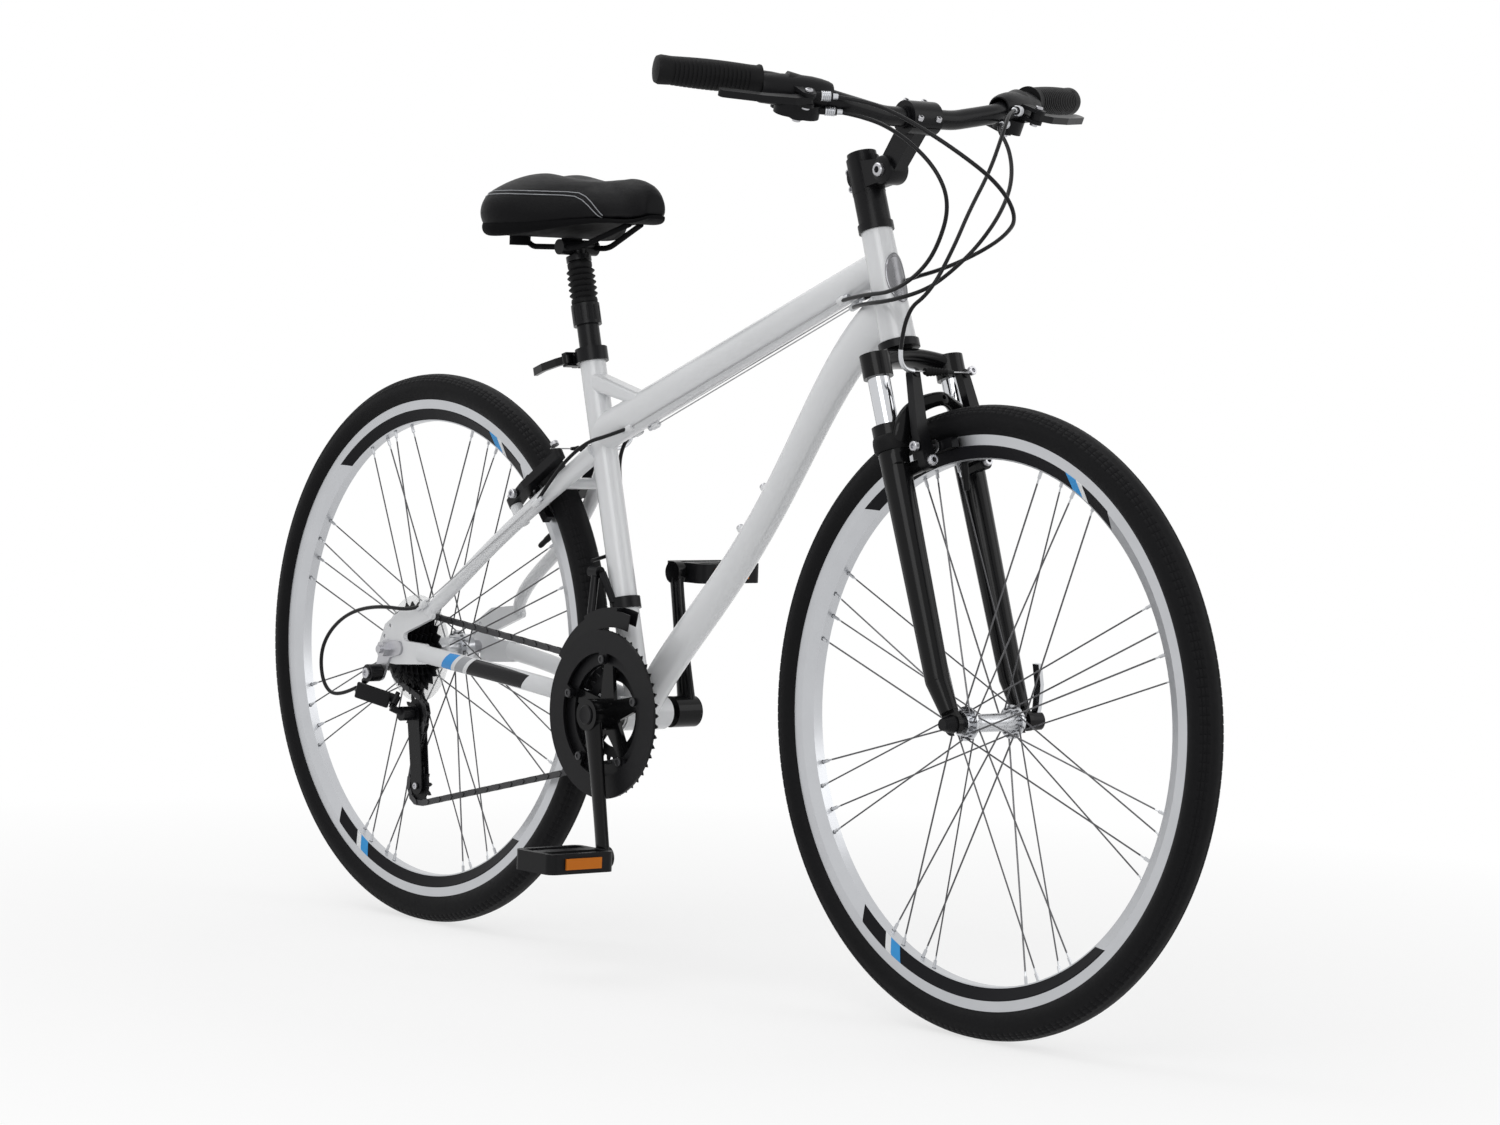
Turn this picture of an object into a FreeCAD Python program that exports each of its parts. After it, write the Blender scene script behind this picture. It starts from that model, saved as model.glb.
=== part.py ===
import FreeCAD, Part
import math
import os
from types import SimpleNamespace
import Sketcher

# Hybrid bicycle: aluminium frame, 700C wheels, suspension fork and seatpost, triple crank.
# Frame of the part: +X forwards, +Y to the rider's left, +Z up, millimetres.
# The origin lies on the ground, midway between the axles, in the centre plane.

Vector = FreeCAD.Vector
Placement = FreeCAD.Placement
Rotation = FreeCAD.Rotation

ALONG_X = Vector(1, 0, 0)
ALONG_Y = Vector(0, 1, 0)
ALONG_Z = Vector(0, 0, 1)
CENTRE = Vector(0, 0, 0)

# Driving dimensions: sheet alias, value, meaning. Lengths in mm, angles in degrees.
DRIVING_DIMENSIONS = (
    ("wheelbase", 1040, "between the two axles"),
    ("wheel_radius", 349, "outside of the tyre, 38-622"),
    ("tyre_section", 19, "radius of the tyre's round section"),
    ("tyre_wall", 3.4, "thickness of the tread and side wall"),
    ("tyre_bead", 3, "thickness of the bead in the rim"),
    ("rim_edge_radius", 317, "outer edge of the rim"),
    ("rim_depth", 28, "rim edge to the inner wall"),
    ("rim_half_width", 12, "centre plane to the brake track"),
    ("rim_inner_half_width", 6.5, "half width of the wall that holds the nipples"),
    ("rim_track_height", 14, "height of the brake track"),
    ("rim_lip", 2.2, "wall of the rim"),
    ("rim_hook_depth", 6.2, "rim edge to the bead seat"),
    ("bead_gap", 0.4, "tyre to rim"),
    ("bb_setback", 96, "crank axis behind the middle of the wheelbase"),
    ("bb_height", 304, "crank axis above the ground"),
    ("seat_angle", 74.5, "seat tube to the ground"),
    ("seat_tube_length", 446, "crank axis to the top of the tube"),
    ("seat_tube_radius", 15.9, "outside of the seat tube"),
    ("head_angle", 70.5, "steering axis to the ground"),
    ("head_top_x", 303, "top of the head tube, ahead of the middle"),
    ("head_top_z", 885, "top of the head tube, above the ground"),
    ("head_tube_length", 131, "head tube, end to end"),
    ("head_radius_top", 18, "outside of the head tube at its top"),
    ("head_radius_bottom", 20.5, "outside of the head tube at its bottom"),
    ("head_wall", 2.4, "wall of the head tube at its top"),
    ("tube_wall", 1.8, "wall of the frame tubes"),
    ("top_tube_drop_head", 39, "top of the head tube to the top tube's axis"),
    ("top_tube_drop_seat", 102, "top of the seat tube to the top tube's axis"),
    ("top_tube_depth_head", 19, "half depth of the top tube at the head tube"),
    ("top_tube_depth_seat", 23, "half depth of the top tube at the seat tube"),
    ("top_tube_half_width", 16.5, "half width of the top tube"),
    ("down_tube_half_width", 18, "half width of the down tube"),
    ("down_tube_depth_low", 17, "half depth of the down tube at the crank"),
    ("down_tube_depth_mid", 19.5, "half depth of the down tube along its run"),
    ("down_tube_depth_head", 29, "half depth of the down tube at the head tube"),
    ("down_tube_drop", 92, "top of the head tube to the down tube's axis"),
    ("down_tube_knee_x", 268, "upper bend of the down tube, ahead of the middle"),
    ("down_tube_knee_z", 746, "upper bend of the down tube, above the ground"),
    ("down_tube_upper_x", 183, "upper run of the down tube, ahead of the middle"),
    ("down_tube_upper_z", 632, "upper run of the down tube, above the ground"),
    ("down_tube_lower_x", 52, "lower run of the down tube, ahead of the middle"),
    ("down_tube_lower_z", 466, "lower run of the down tube, above the ground"),
    ("gusset_drop", 22, "top of the seat tube to the gusset's upper edge"),
    ("gusset_depth", 25, "depth of the gusset"),
    ("gusset_half_width", 13, "half width of the gusset"),
    ("gusset_reach", 92, "seat tube axis to the gusset's foot on the top tube"),
    ("boss_spacing", 64, "between the two bottle bosses"),
    ("boss_hole_radius", 2.5, "threaded hole for an M5 screw"),
    ("boss_radius", 5, "outside of a bottle boss"),
    ("boss_depth", 12, "depth of the threaded hole"),
    ("bb_shell_radius", 20.5, "outside of the bottom bracket shell"),
    ("bb_shell_half_width", 34, "half of the 68 mm shell"),
    ("bb_bore", 17.5, "inside of the bottom bracket shell"),
    ("crank_axle_radius", 8.5, "crank axle in its bearings"),
    ("running_gap", 0.05, "radial clearance of a running fit"),
    ("weld_gap", 0.02, "butt joint between two welded tubes"),
    ("rear_over_locknuts", 135, "width between the rear dropouts"),
    ("front_over_locknuts", 100, "width between the fork ends"),
    ("dropout_thickness", 6, "thickness of a dropout plate"),
    ("eyelet_radius", 2.5, "threaded eyelet for an M5 screw"),
    ("chainstay_offset", 26, "chainstay from the centre plane at the shell"),
    ("seatstay_offset", 16, "seatstay from the centre plane at its top"),
    ("seatstay_join", 322, "crank axis to the seatstays along the seat tube"),
    ("steerer_radius", 14.3, "28.6 mm steerer"),
    ("steerer_bore", 12, "inside of the steerer"),
    ("crown_offset", 16, "legs ahead of the steering axis"),
    ("leg_spacing", 55, "fork leg from the centre plane"),
    ("crown_height", 22, "height of the crown at its middle"),
    ("crown_lug_radius", 17, "lug round a stanchion"),
    ("crown_lug_drop", 48, "lug's lower end below the head tube"),
    ("crown_thickness", 30, "crown from front to back"),
    ("stanchion_radius", 12.7, "25.4 mm stanchion"),
    ("stanchion_wall", 2.2, "wall of the stanchion"),
    ("stanchion_reach", 300, "stanchion's lower end below the head tube"),
    ("leg_top_drop", 116, "top of the lower legs below the head tube"),
    ("leg_radius_top", 17.2, "outside of a lower leg at its top"),
    ("leg_radius_low", 14, "outside of a lower leg near the axle"),
    ("leg_straight_drop", 395, "where the lower leg starts to lean forwards"),
    ("seal_height", 12, "dust seal on a lower leg"),
    ("arch_reach", 50, "brake arch ahead of the steering axis"),
    ("arch_drop", 82, "brake arch below the head tube"),
    ("arch_half_height", 8, "half height of the arch bar"),
    ("arch_half_thickness", 6, "half thickness of the arch bar"),
    ("arch_hole_radius", 2.6, "hole in the middle of the arch"),
    ("brake_pivot_radius", 290, "brake pivots from the axle"),
    ("brake_pivot_offset", 41, "brake pivots from the centre plane"),
    ("brake_plane", 27, "brake arms ahead of the axle's radial line"),
    ("brake_boss_radius", 4, "brake pivot stud"),
    ("brake_arm_length", 102, "pivot to cable end of a brake arm"),
    ("brake_arm_thickness", 11, "brake arm from front to back"),
    ("pad_length", 66, "brake block along the rim"),
    ("pad_height", 11, "brake block across the rim"),
    ("pad_gap", 2.1, "brake block to rim when released"),
    ("spoke_radius", 1.0, "14 gauge spoke"),
    ("nipple_radius", 2.0, "spoke nipple"),
    ("nipple_length", 13, "spoke nipple"),
    ("nipple_hole_gap", 0.7, "nipple to its hole in the rim"),
    ("spoke_spread", 5.5, "angle between neighbouring spokes of a group"),
    ("spoke_lean", 56.25, "hub hole ahead of or behind its spoke group"),
    ("spoke_stagger", 3.0, "nipple holes either side of the rim's middle"),
    ("front_flange_radius", 19, "hub flange, front"),
    ("front_flange_offset", 34, "front hub flange from the centre plane"),
    ("rear_flange_radius", 22, "hub flange, rear"),
    ("rear_flange_drive", 21, "rear hub flange on the drive side"),
    ("rear_flange_plain", 35, "rear hub flange on the left"),
    ("flange_thickness", 3, "hub flange"),
    ("axle_radius", 5, "wheel axle"),
    ("chain_pitch", 12.7, "half inch chain"),
    ("chain_line", 38, "chain from the centre plane"),
    ("roller_radius", 3.9, "chain roller"),
    ("link_radius", 4.1, "rounded end of a link plate"),
    ("plate_thickness", 0.9, "link plate"),
    ("inner_plate_gap", 1.6, "chain middle to inner plate"),
    ("sprocket_thickness", 1.9, "sprocket and chainring plate"),
    ("tooth_height", 3.1, "tooth tip above the pitch circle"),
    ("cog_spacing", 5, "between neighbouring sprockets"),
    ("ring_spacing", 7, "between neighbouring chainrings"),
    ("small_ring_teeth", 28, "chainring teeth, inner"),
    ("middle_ring_teeth", 38, "chainring teeth, middle"),
    ("large_ring_teeth", 48, "chainring teeth, outer"),
    ("pulley_teeth", 11, "derailleur pulley teeth"),
    ("guide_pulley_x", 17, "guide pulley ahead of the rear axle"),
    ("guide_pulley_drop", 81, "guide pulley below the rear axle"),
    ("cage_length", 92, "between the two pulleys"),
    ("cage_lean", 8, "cage to the vertical before the chain is fitted"),
    ("crank_length", 171, "crank axis to pedal axis"),
    ("crank_turn", 13.5, "right crank ahead of straight down"),
    ("crank_eye_radius", 13.5, "crank arm round the pedal axle"),
    ("crank_boss_radius", 19, "crank arm round the crank axle"),
    ("crank_outside", 86, "outer face of the crank arm at the pedal"),
    ("guard_radius", 101, "outside of the chain guard ring"),
    ("guard_bore", 74, "inside of the chain guard ring"),
    ("pedal_width", 96, "pedal along its axle"),
    ("pedal_depth", 72, "pedal from front to back"),
    ("pedal_height", 24, "pedal thickness"),
    ("pedal_axle_radius", 4.5, "pedal axle"),
    ("pedal_gap", 4, "pedal to crank arm"),
    ("post_radius", 13.6, "27.2 mm seatpost"),
    ("post_bottom", 250, "seatpost's lower end above the crank axis"),
    ("post_collar_bottom", 480, "fluted collar above the crank axis"),
    ("post_collar_top", 506, "top of the fluted collar"),
    ("post_collar_radius", 17.5, "outside of the fluted collar"),
    ("piston_radius", 11, "sprung part of the seatpost"),
    ("boot_top", 560, "top of the rubber boot above the crank axis"),
    ("boot_radius", 17.5, "outside of the boot's ribs"),
    ("boot_ribs", 5, "ribs of the boot"),
    ("saddle_clamp_height", 578, "rail clamp above the crank axis"),
    ("saddle_length", 246, "saddle from nose to back"),
    ("saddle_back_x", 344, "back of the saddle behind the middle"),
    ("saddle_half_width", 98, "half width at the back"),
    ("saddle_nose_half_width", 24, "half width of the nose"),
    ("saddle_top", 950, "highest point of the saddle"),
    ("rail_radius", 3.5, "saddle rail"),
    ("rail_spacing", 22, "rail from the centre plane"),
    ("stem_clamp_height", 42, "stem clamp on the steerer"),
    ("stem_clamp_radius", 19, "outside of the stem clamp"),
    ("spacer_stack", 36, "spacers under the stem"),
    ("headset_stack", 9, "height of a headset cup"),
    ("bar_clamp_x", 366, "handlebar clamp ahead of the middle"),
    ("bar_clamp_z", 1012, "handlebar clamp above the ground"),
    ("stem_pivot_x", 322, "stem's angle bolt ahead of the middle"),
    ("stem_pivot_z", 954, "stem's angle bolt above the ground"),
    ("bar_radius", 11.1, "22.2 mm handlebar"),
    ("bar_bulge_radius", 12.7, "25.4 mm handlebar clamp"),
    ("bar_wall", 1.8, "wall of the handlebar"),
    ("bar_flat", 52, "straight middle of the bar, each side"),
    ("bar_bend_y", 116, "where the rise ends, each side"),
    ("bar_bend_rise", 11, "rise at that bend"),
    ("bar_grip_y", 186, "inner end of the grip, each side"),
    ("bar_grip_rise", 30, "rise at the grip"),
    ("bar_grip_back", 32, "sweep back at the grip"),
    ("bar_end_y", 308, "end of the bar, each side"),
    ("bar_end_rise", 37, "rise at the end"),
    ("bar_end_back", 82, "sweep back at the end"),
    ("grip_radius", 15.8, "outside of a grip"),
    ("lever_reach", 44, "brake lever from the bar"),
    ("lever_length", 92, "brake lever from its pivot"),
    ("housing_radius", 2.4, "cable housing"),
)


class Size:
    """A number that carries the sheet formula it was worked out from."""

    def __init__(self, value, formula):
        self.value = float(value)
        self.formula = formula

    def __float__(self):
        return self.value

    def __neg__(self):
        return Size(-self.value, "(-" + self.formula + ")")

    def __add__(self, other):
        return joined(self, "+", other, self.value + float(other))

    def __radd__(self, other):
        return joined(other, "+", self, float(other) + self.value)

    def __sub__(self, other):
        return joined(self, "-", other, self.value - float(other))

    def __rsub__(self, other):
        return joined(other, "-", self, float(other) - self.value)

    def __mul__(self, other):
        return joined(self, "*", other, self.value * float(other))

    def __rmul__(self, other):
        return joined(other, "*", self, float(other) * self.value)

    def __truediv__(self, other):
        return joined(self, "/", other, self.value / float(other))


def formula(value):
    """The sheet formula of a Size, or the digits of a plain number."""
    return value.formula if isinstance(value, Size) else repr(float(value))


def joined(left, sign, right, value):
    return Size(value, "(" + formula(left) + sign + formula(right) + ")")


def root(value):
    """Square root of a Size."""
    return Size(math.sqrt(float(value)), "sqrt(" + formula(value) + ")")


def vector(x, y, z):
    return Vector(float(x), float(y), float(z))


# The document, its sheet and the named sizes.
doc = FreeCAD.newDocument("hybrid_bike")
sheet = doc.addObject("Spreadsheet::Sheet", "Sizes")
dim = SimpleNamespace()
for row, (alias, number, meaning) in enumerate(DRIVING_DIMENSIONS, start=1):
    sheet.set("A%d" % row, alias)
    sheet.set("B%d" % row, str(number))
    sheet.set("C%d" % row, meaning)
    sheet.setAlias("B%d" % row, alias)
    setattr(dim, alias, Size(number, "Sizes." + alias))
doc.recompute()

NODES = []


def as_node(thing):
    """Count an object as a sub-part that is written to its own file."""
    NODES.append(thing)
    return thing


# Sketch and body helpers.
def new_body(label):
    body = doc.addObject("PartDesign::Body", label)
    body.Label = label
    return body


def new_sketch(body, name, role, lift=None):
    """A sketch on one of the body's own origin planes, lifted along the plane's normal."""
    sketch = body.newObject("Sketcher::SketchObject", body.Name + "_" + name)
    plane = next(item for item in body.Origin.OriginFeatures if item.Role == role)
    sketch.AttachmentSupport = (plane, [""])
    sketch.MapMode = "FlatFace"
    if lift is not None:
        sketch.AttachmentOffset = Placement(vector(0, 0, lift), Rotation())
        sketch.setExpression("AttachmentOffset.Base.z", formula(lift))
    return sketch


def tie(sketch, kind, geometry, position, value):
    """Hold a point of the sketch at a signed distance from the sketch's origin."""
    index = sketch.addConstraint(Sketcher.Constraint(kind, -1, 1, geometry, position, float(value)))
    if isinstance(value, Size):
        sketch.setExpression("Constraints[%d]" % index, value.formula)


def add_outline(sketch, corners, arcs=None):
    """A closed outline through the corners; arcs maps an edge to its via point and radius."""
    arcs = arcs or {}
    first = sketch.GeometryCount
    count = len(corners)
    starts = []
    ends = []
    for index in range(count):
        here = vector(corners[index][0], corners[index][1], 0)
        there = vector(corners[(index + 1) % count][0], corners[(index + 1) % count][1], 0)
        if index in arcs:
            via_x, via_y, radius = arcs[index]
            edge = sketch.addGeometry(Part.Arc(here, vector(via_x, via_y, 0), there))
            begins_here = sketch.getPoint(edge, 1).distanceToPoint(here) < 0.001
            starts.append(1 if begins_here else 2)
            ends.append(2 if begins_here else 1)
            hold = sketch.addConstraint(Sketcher.Constraint("Radius", edge, float(radius)))
            if isinstance(radius, Size):
                sketch.setExpression("Constraints[%d]" % hold, radius.formula)
        else:
            sketch.addGeometry(Part.LineSegment(here, there))
            starts.append(1)
            ends.append(2)
    for index in range(count):
        after = (index + 1) % count
        joint = Sketcher.Constraint("Coincident", first + index, ends[index], first + after, starts[after])
        sketch.addConstraint(joint)
    for index in range(count):
        tie(sketch, "DistanceX", first + index, starts[index], corners[index][0])
        tie(sketch, "DistanceY", first + index, starts[index], corners[index][1])


def revolve(body, sketch, axis):
    feature = body.newObject("PartDesign::Revolution", sketch.Name + "_turned")
    feature.Profile = sketch
    feature.ReferenceAxis = (sketch, [axis])
    feature.Angle = 360
    return feature


def extrude(body, kind, sketch, length, both=False, reverse=False):
    """A Pad or Pocket of a sketch, along its normal or to both sides."""
    feature = body.newObject("PartDesign::" + kind, sketch.Name + "_" + kind.lower())
    feature.Profile = sketch
    feature.Length = float(length)
    if isinstance(length, Size):
        feature.setExpression("Length", length.formula)
    feature.Midplane = both
    feature.Reversed = reverse
    return feature


def turned(label, rings, hollows=()):
    """A body turned about its own Z axis; rings are (radius, height) corners."""
    body = new_body(label)
    sketch = new_sketch(body, "profile", "XZ_Plane")
    add_outline(sketch, rings)
    for hollow in hollows:
        add_outline(sketch, hollow)
    revolve(body, sketch, "V_Axis")
    return body


def tube_rings(inner, outer, low, high):
    """Corners of a plain tube's wall."""
    return ((inner, low), (outer, low), (outer, high), (inner, high))


def wheel_turned(label, corners, arcs=None, hollow=None):
    """A body turned about the wheel axis, its own Y axis; corners are (y, radius)."""
    body = new_body(label)
    sketch = new_sketch(body, "profile", "YZ_Plane")
    add_outline(sketch, corners, arcs)
    if hollow:
        add_outline(sketch, hollow)
    revolve(body, sketch, "H_Axis")
    return body


def formed(label, shape, placement=None):
    """A sub-part whose shape is set by code."""
    feature = doc.addObject("Part::Feature", label)
    feature.Label = label
    feature.Shape = shape
    if placement is not None:
        feature.Placement = placement
    return feature


def group(label, members):
    """Several solids that share one node."""
    compound = doc.addObject("Part::Compound", label)
    compound.Label = label
    compound.Links = members
    return compound


def cut(label, base, tool):
    feature = doc.addObject("Part::Cut", label)
    feature.Label = label
    feature.Base = base
    feature.Tool = tool
    return feature


def mirrored(label, source):
    """The same piece on the other side of the centre plane."""
    feature = doc.addObject("Part::Mirroring", label)
    feature.Label = label
    feature.Source = source
    feature.Normal = ALONG_Y
    feature.Base = CENTRE
    return feature


# Shape helpers for forms that sketches don't suit.
def rod(start, end, radius):
    """A plain cylinder between two points."""
    run = end - start
    return Part.makeCylinder(float(radius), run.Length, start, run)


def ellipse_wire(centre, across, up, half_across, half_up):
    """An oval section, its axes along two given directions."""
    half_across = float(half_across)
    half_up = float(half_up)
    if half_across >= half_up:
        curve = Part.Ellipse(centre + across * half_across, centre + up * half_up, centre)
    else:
        curve = Part.Ellipse(centre + up * half_up, centre - across * half_across, centre)
    return Part.Wire([curve.toShape()])


def oval_loft(stations, across):
    """A tube skinned through oval stations: centre, direction, half across, half up."""
    wires = []
    for centre, direction, half_across, half_up in stations:
        up = direction.cross(across).normalize()
        wires.append(ellipse_wire(centre, across, up, half_across, half_up))
    return Part.makeLoft(wires, True, False)


def bent_path(points, share=0.45):
    """Straight runs joined by tangent arcs; an arc uses this share of its shorter run."""
    edges = []
    start = points[0]
    for index in range(1, len(points) - 1):
        before = (points[index - 1] - points[index])
        after = (points[index + 1] - points[index])
        reach = share * min(before.Length, after.Length)
        before.normalize()
        after.normalize()
        turn_in = points[index] + before * reach
        turn_out = points[index] + after * reach
        half_turn = (math.pi - before.getAngle(after)) / 2
        bisector = (before + after).normalize()
        radius = reach / math.tan(half_turn)
        depth = radius / math.cos(half_turn) - radius
        middle = points[index] + bisector * depth
        edges.append(Part.LineSegment(start, turn_in).toShape())
        edges.append(Part.Arc(turn_in, middle, turn_out).toShape())
        start = turn_out
    edges.append(Part.LineSegment(start, points[-1]).toShape())
    return Part.Wire(edges)


def swept(points, radius, share=0.45):
    """A round rod along a bent path."""
    path = bent_path(points, share)
    direction = points[1] - points[0]
    section = Part.Wire([Part.Circle(points[0], direction, float(radius)).toShape()])
    return path.makePipeShell([section], True, True)


def rounded_plate(points, radii, thickness, placement):
    """A flat plate whose outline wraps circles of the given radii at the points."""
    shape = None
    for centre, radius in zip(points, radii):
        disc = Part.makeCylinder(radius, thickness, centre)
        shape = disc if shape is None else shape.fuse(disc)
    for index in range(len(points) - 1):
        here = points[index]
        there = points[index + 1]
        run = there - here
        side = Vector(-run.y, run.x, 0).normalize()
        corners = [
            here + side * radii[index],
            there + side * radii[index + 1],
            there - side * radii[index + 1],
            here - side * radii[index],
        ]
        web = Part.Face(Part.makePolygon(corners + corners[:1])).extrude(vector(0, 0, thickness))
        shape = shape.fuse(web)
    shape = shape.removeSplitter()
    shape.Placement = placement.multiply(shape.Placement)
    return shape


# Key places of the bicycle.
rear_axle = vector(-dim.wheelbase / 2, 0, dim.wheel_radius)
front_axle = vector(dim.wheelbase / 2, 0, dim.wheel_radius)
crank_axis = vector(-dim.bb_setback, 0, dim.bb_height)
seat_tilt = math.radians(float(dim.seat_angle))
seat_up = Vector(-math.cos(seat_tilt), 0, math.sin(seat_tilt))
seat_fore = Vector(math.sin(seat_tilt), 0, math.cos(seat_tilt))
head_tilt = math.radians(float(dim.head_angle))
steer_up = Vector(-math.cos(head_tilt), 0, math.sin(head_tilt))
steer_fore = Vector(math.sin(head_tilt), 0, math.cos(head_tilt))
head_top = vector(dim.head_top_x, 0, dim.head_top_z)
head_bottom = head_top - steer_up * float(dim.head_tube_length)
seat_frame = Placement(crank_axis, Rotation(ALONG_Z, seat_up))
steer_frame = Placement(head_bottom, Rotation(ALONG_Z, steer_up))


def on_seat_tube(distance):
    """A point of the seat tube's axis, that far above the crank axis."""
    return crank_axis + seat_up * float(distance)


def on_steerer(distance, ahead=0, side=0):
    """A point given by its height above the head tube's lower end, its reach ahead and its side."""
    return head_bottom + steer_up * float(distance) + steer_fore * float(ahead) + ALONG_Y * float(side)


# Frame.
def largest(shape):
    """The biggest solid of a shape, without the offcuts of a mitre."""
    return max(shape.Solids, key=lambda solid: solid.Volume)


def head_tube_core(margin):
    """The space that the head tube fills, with a margin all round."""
    low = float(dim.head_radius_bottom) + margin
    high = float(dim.head_radius_top) + margin
    return Part.makeCone(low, high, float(dim.head_tube_length), head_bottom, steer_up)


def seat_tube_core(margin):
    """The space that the seat tube fills, with a margin all round."""
    return rod(crank_axis, on_seat_tube(dim.seat_tube_length), float(dim.seat_tube_radius) + margin)


def bb_shell_core(margin):
    """The space that the bottom bracket shell fills, with a margin all round."""
    half = ALONG_Y * float(dim.bb_shell_half_width)
    return rod(crank_axis - half, crank_axis + half, float(dim.bb_shell_radius) + margin)


WELD = float(dim.weld_gap)

head_inner = dim.head_radius_top - dim.head_wall
head_tube = turned("head_tube", (
    (head_inner, 0),
    (dim.head_radius_bottom, 0),
    (dim.head_radius_top, dim.head_tube_length),
    (head_inner, dim.head_tube_length),
))
head_tube.Placement = steer_frame
as_node(head_tube)

bb_shell = wheel_turned("bb_shell", (
    (-dim.bb_shell_half_width, dim.bb_bore),
    (-dim.bb_shell_half_width, dim.bb_shell_radius),
    (dim.bb_shell_half_width, dim.bb_shell_radius),
    (dim.bb_shell_half_width, dim.bb_bore),
))
bb_shell.Placement = Placement(crank_axis, Rotation())
CUP_FLANGE = 3.0
CUP_RIM = 1.5
bb_cartridge = wheel_turned("bb_cartridge", (
    (-dim.bb_shell_half_width - CUP_FLANGE, dim.crank_axle_radius + dim.running_gap),
    (-dim.bb_shell_half_width - CUP_FLANGE, dim.bb_bore + CUP_RIM),
    (-dim.bb_shell_half_width, dim.bb_bore + CUP_RIM),
    (-dim.bb_shell_half_width, dim.bb_bore - dim.weld_gap),
    (dim.bb_shell_half_width, dim.bb_bore - dim.weld_gap),
    (dim.bb_shell_half_width, dim.bb_bore + CUP_RIM),
    (dim.bb_shell_half_width + CUP_FLANGE, dim.bb_bore + CUP_RIM),
    (dim.bb_shell_half_width + CUP_FLANGE, dim.crank_axle_radius + dim.running_gap),
))
bb_cartridge.Placement = Placement(crank_axis, Rotation())
as_node(group("bottom_bracket", [bb_shell, bb_cartridge]))

# The seat tube is bored for the seatpost and slotted at the back of its top.
seat_tube_body = turned("seat_tube_body", tube_rings(
    dim.post_radius + dim.running_gap, dim.seat_tube_radius, 0, dim.seat_tube_length))
SLOT_HEIGHT = 40.0
SLOT_WIDTH = 2.5
slot_sketch = new_sketch(seat_tube_body, "slot", "YZ_Plane")
add_outline(slot_sketch, (
    (-SLOT_WIDTH / 2, dim.seat_tube_length - SLOT_HEIGHT),
    (SLOT_WIDTH / 2, dim.seat_tube_length - SLOT_HEIGHT),
    (SLOT_WIDTH / 2, dim.seat_tube_length + SLOT_WIDTH),
    (-SLOT_WIDTH / 2, dim.seat_tube_length + SLOT_WIDTH),
))
extrude(seat_tube_body, "Pocket", slot_sketch, dim.seat_tube_radius * 2)
seat_tube_body.Placement = seat_frame
doc.recompute()
shell_tool = formed("seat_tube_mitre", bb_shell_core(WELD))
as_node(cut("seat_tube", seat_tube_body, shell_tool))


def main_tube(stations, shrink):
    """A main tube through its stations, its half axes made smaller by shrink."""
    ovals = []
    for centre, direction, half_across, half_up in stations:
        ovals.append((centre, direction, float(half_across) - shrink, float(half_up) - shrink))
    return oval_loft(ovals, ALONG_Y)


def hollow_tube(stations):
    """A main tube with its wall."""
    return main_tube(stations, 0.0).cut(main_tube(stations, float(dim.tube_wall)))


top_tube_front = head_top - steer_up * float(dim.top_tube_drop_head)
top_tube_rear = on_seat_tube(dim.seat_tube_length - dim.top_tube_drop_seat)
top_run = (top_tube_rear - top_tube_front).normalize()
top_middle = (top_tube_front + top_tube_rear) * 0.5
top_stations = (
    (top_tube_front, top_run, dim.top_tube_half_width, dim.top_tube_depth_head),
    (top_middle, top_run, dim.top_tube_half_width,
     (dim.top_tube_depth_head + dim.top_tube_depth_seat) / 2),
    (top_tube_rear, top_run, dim.top_tube_half_width, dim.top_tube_depth_seat),
)

down_points = (
    head_top - steer_up * float(dim.down_tube_drop),
    vector(dim.down_tube_knee_x, 0, dim.down_tube_knee_z),
    vector(dim.down_tube_upper_x, 0, dim.down_tube_upper_z),
    vector(dim.down_tube_lower_x, 0, dim.down_tube_lower_z),
    crank_axis + (crank_axis - rear_axle).normalize() * 4,
)
down_depths = (
    dim.down_tube_depth_head,
    (dim.down_tube_depth_head + dim.down_tube_depth_mid) / 2,
    dim.down_tube_depth_mid,
    dim.down_tube_depth_mid,
    dim.down_tube_depth_low,
)
down_stations = []
for index, point in enumerate(down_points):
    before = down_points[max(index - 1, 0)]
    after = down_points[min(index + 1, len(down_points) - 1)]
    down_stations.append(
        (point, (after - before).normalize(), dim.down_tube_half_width, down_depths[index])
    )

down_shape = hollow_tube(down_stations)
down_shape = largest(
    down_shape.cut(head_tube_core(WELD)).cut(bb_shell_core(WELD)).cut(seat_tube_core(WELD))
)
boss_run = (down_points[2] - down_points[3]).normalize()
boss_axis = ALONG_Y.cross(boss_run) * -1
boss_middle = (down_points[2] + down_points[3]) * 0.5
BOSS_STAND = 1.5
boss_mouth_height = float(dim.down_tube_depth_mid) + BOSS_STAND
for side in (-0.5, 0.5):
    boss_foot = boss_middle + boss_run * (float(dim.boss_spacing) * side)
    boss_mouth = boss_foot + boss_axis * boss_mouth_height
    boss_floor = boss_mouth - boss_axis * float(dim.boss_depth)
    down_shape = down_shape.fuse(rod(boss_floor, boss_mouth, dim.boss_radius))
    down_shape = down_shape.cut(rod(boss_floor, boss_mouth, dim.boss_hole_radius))
as_node(formed("down_tube", largest(down_shape)))

down_core = main_tube(down_stations, -WELD)
top_shape = hollow_tube(top_stations)
top_shape = largest(top_shape.cut(head_tube_core(WELD)).cut(seat_tube_core(WELD)).cut(down_core))
top_core = main_tube(top_stations, -WELD)

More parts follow.
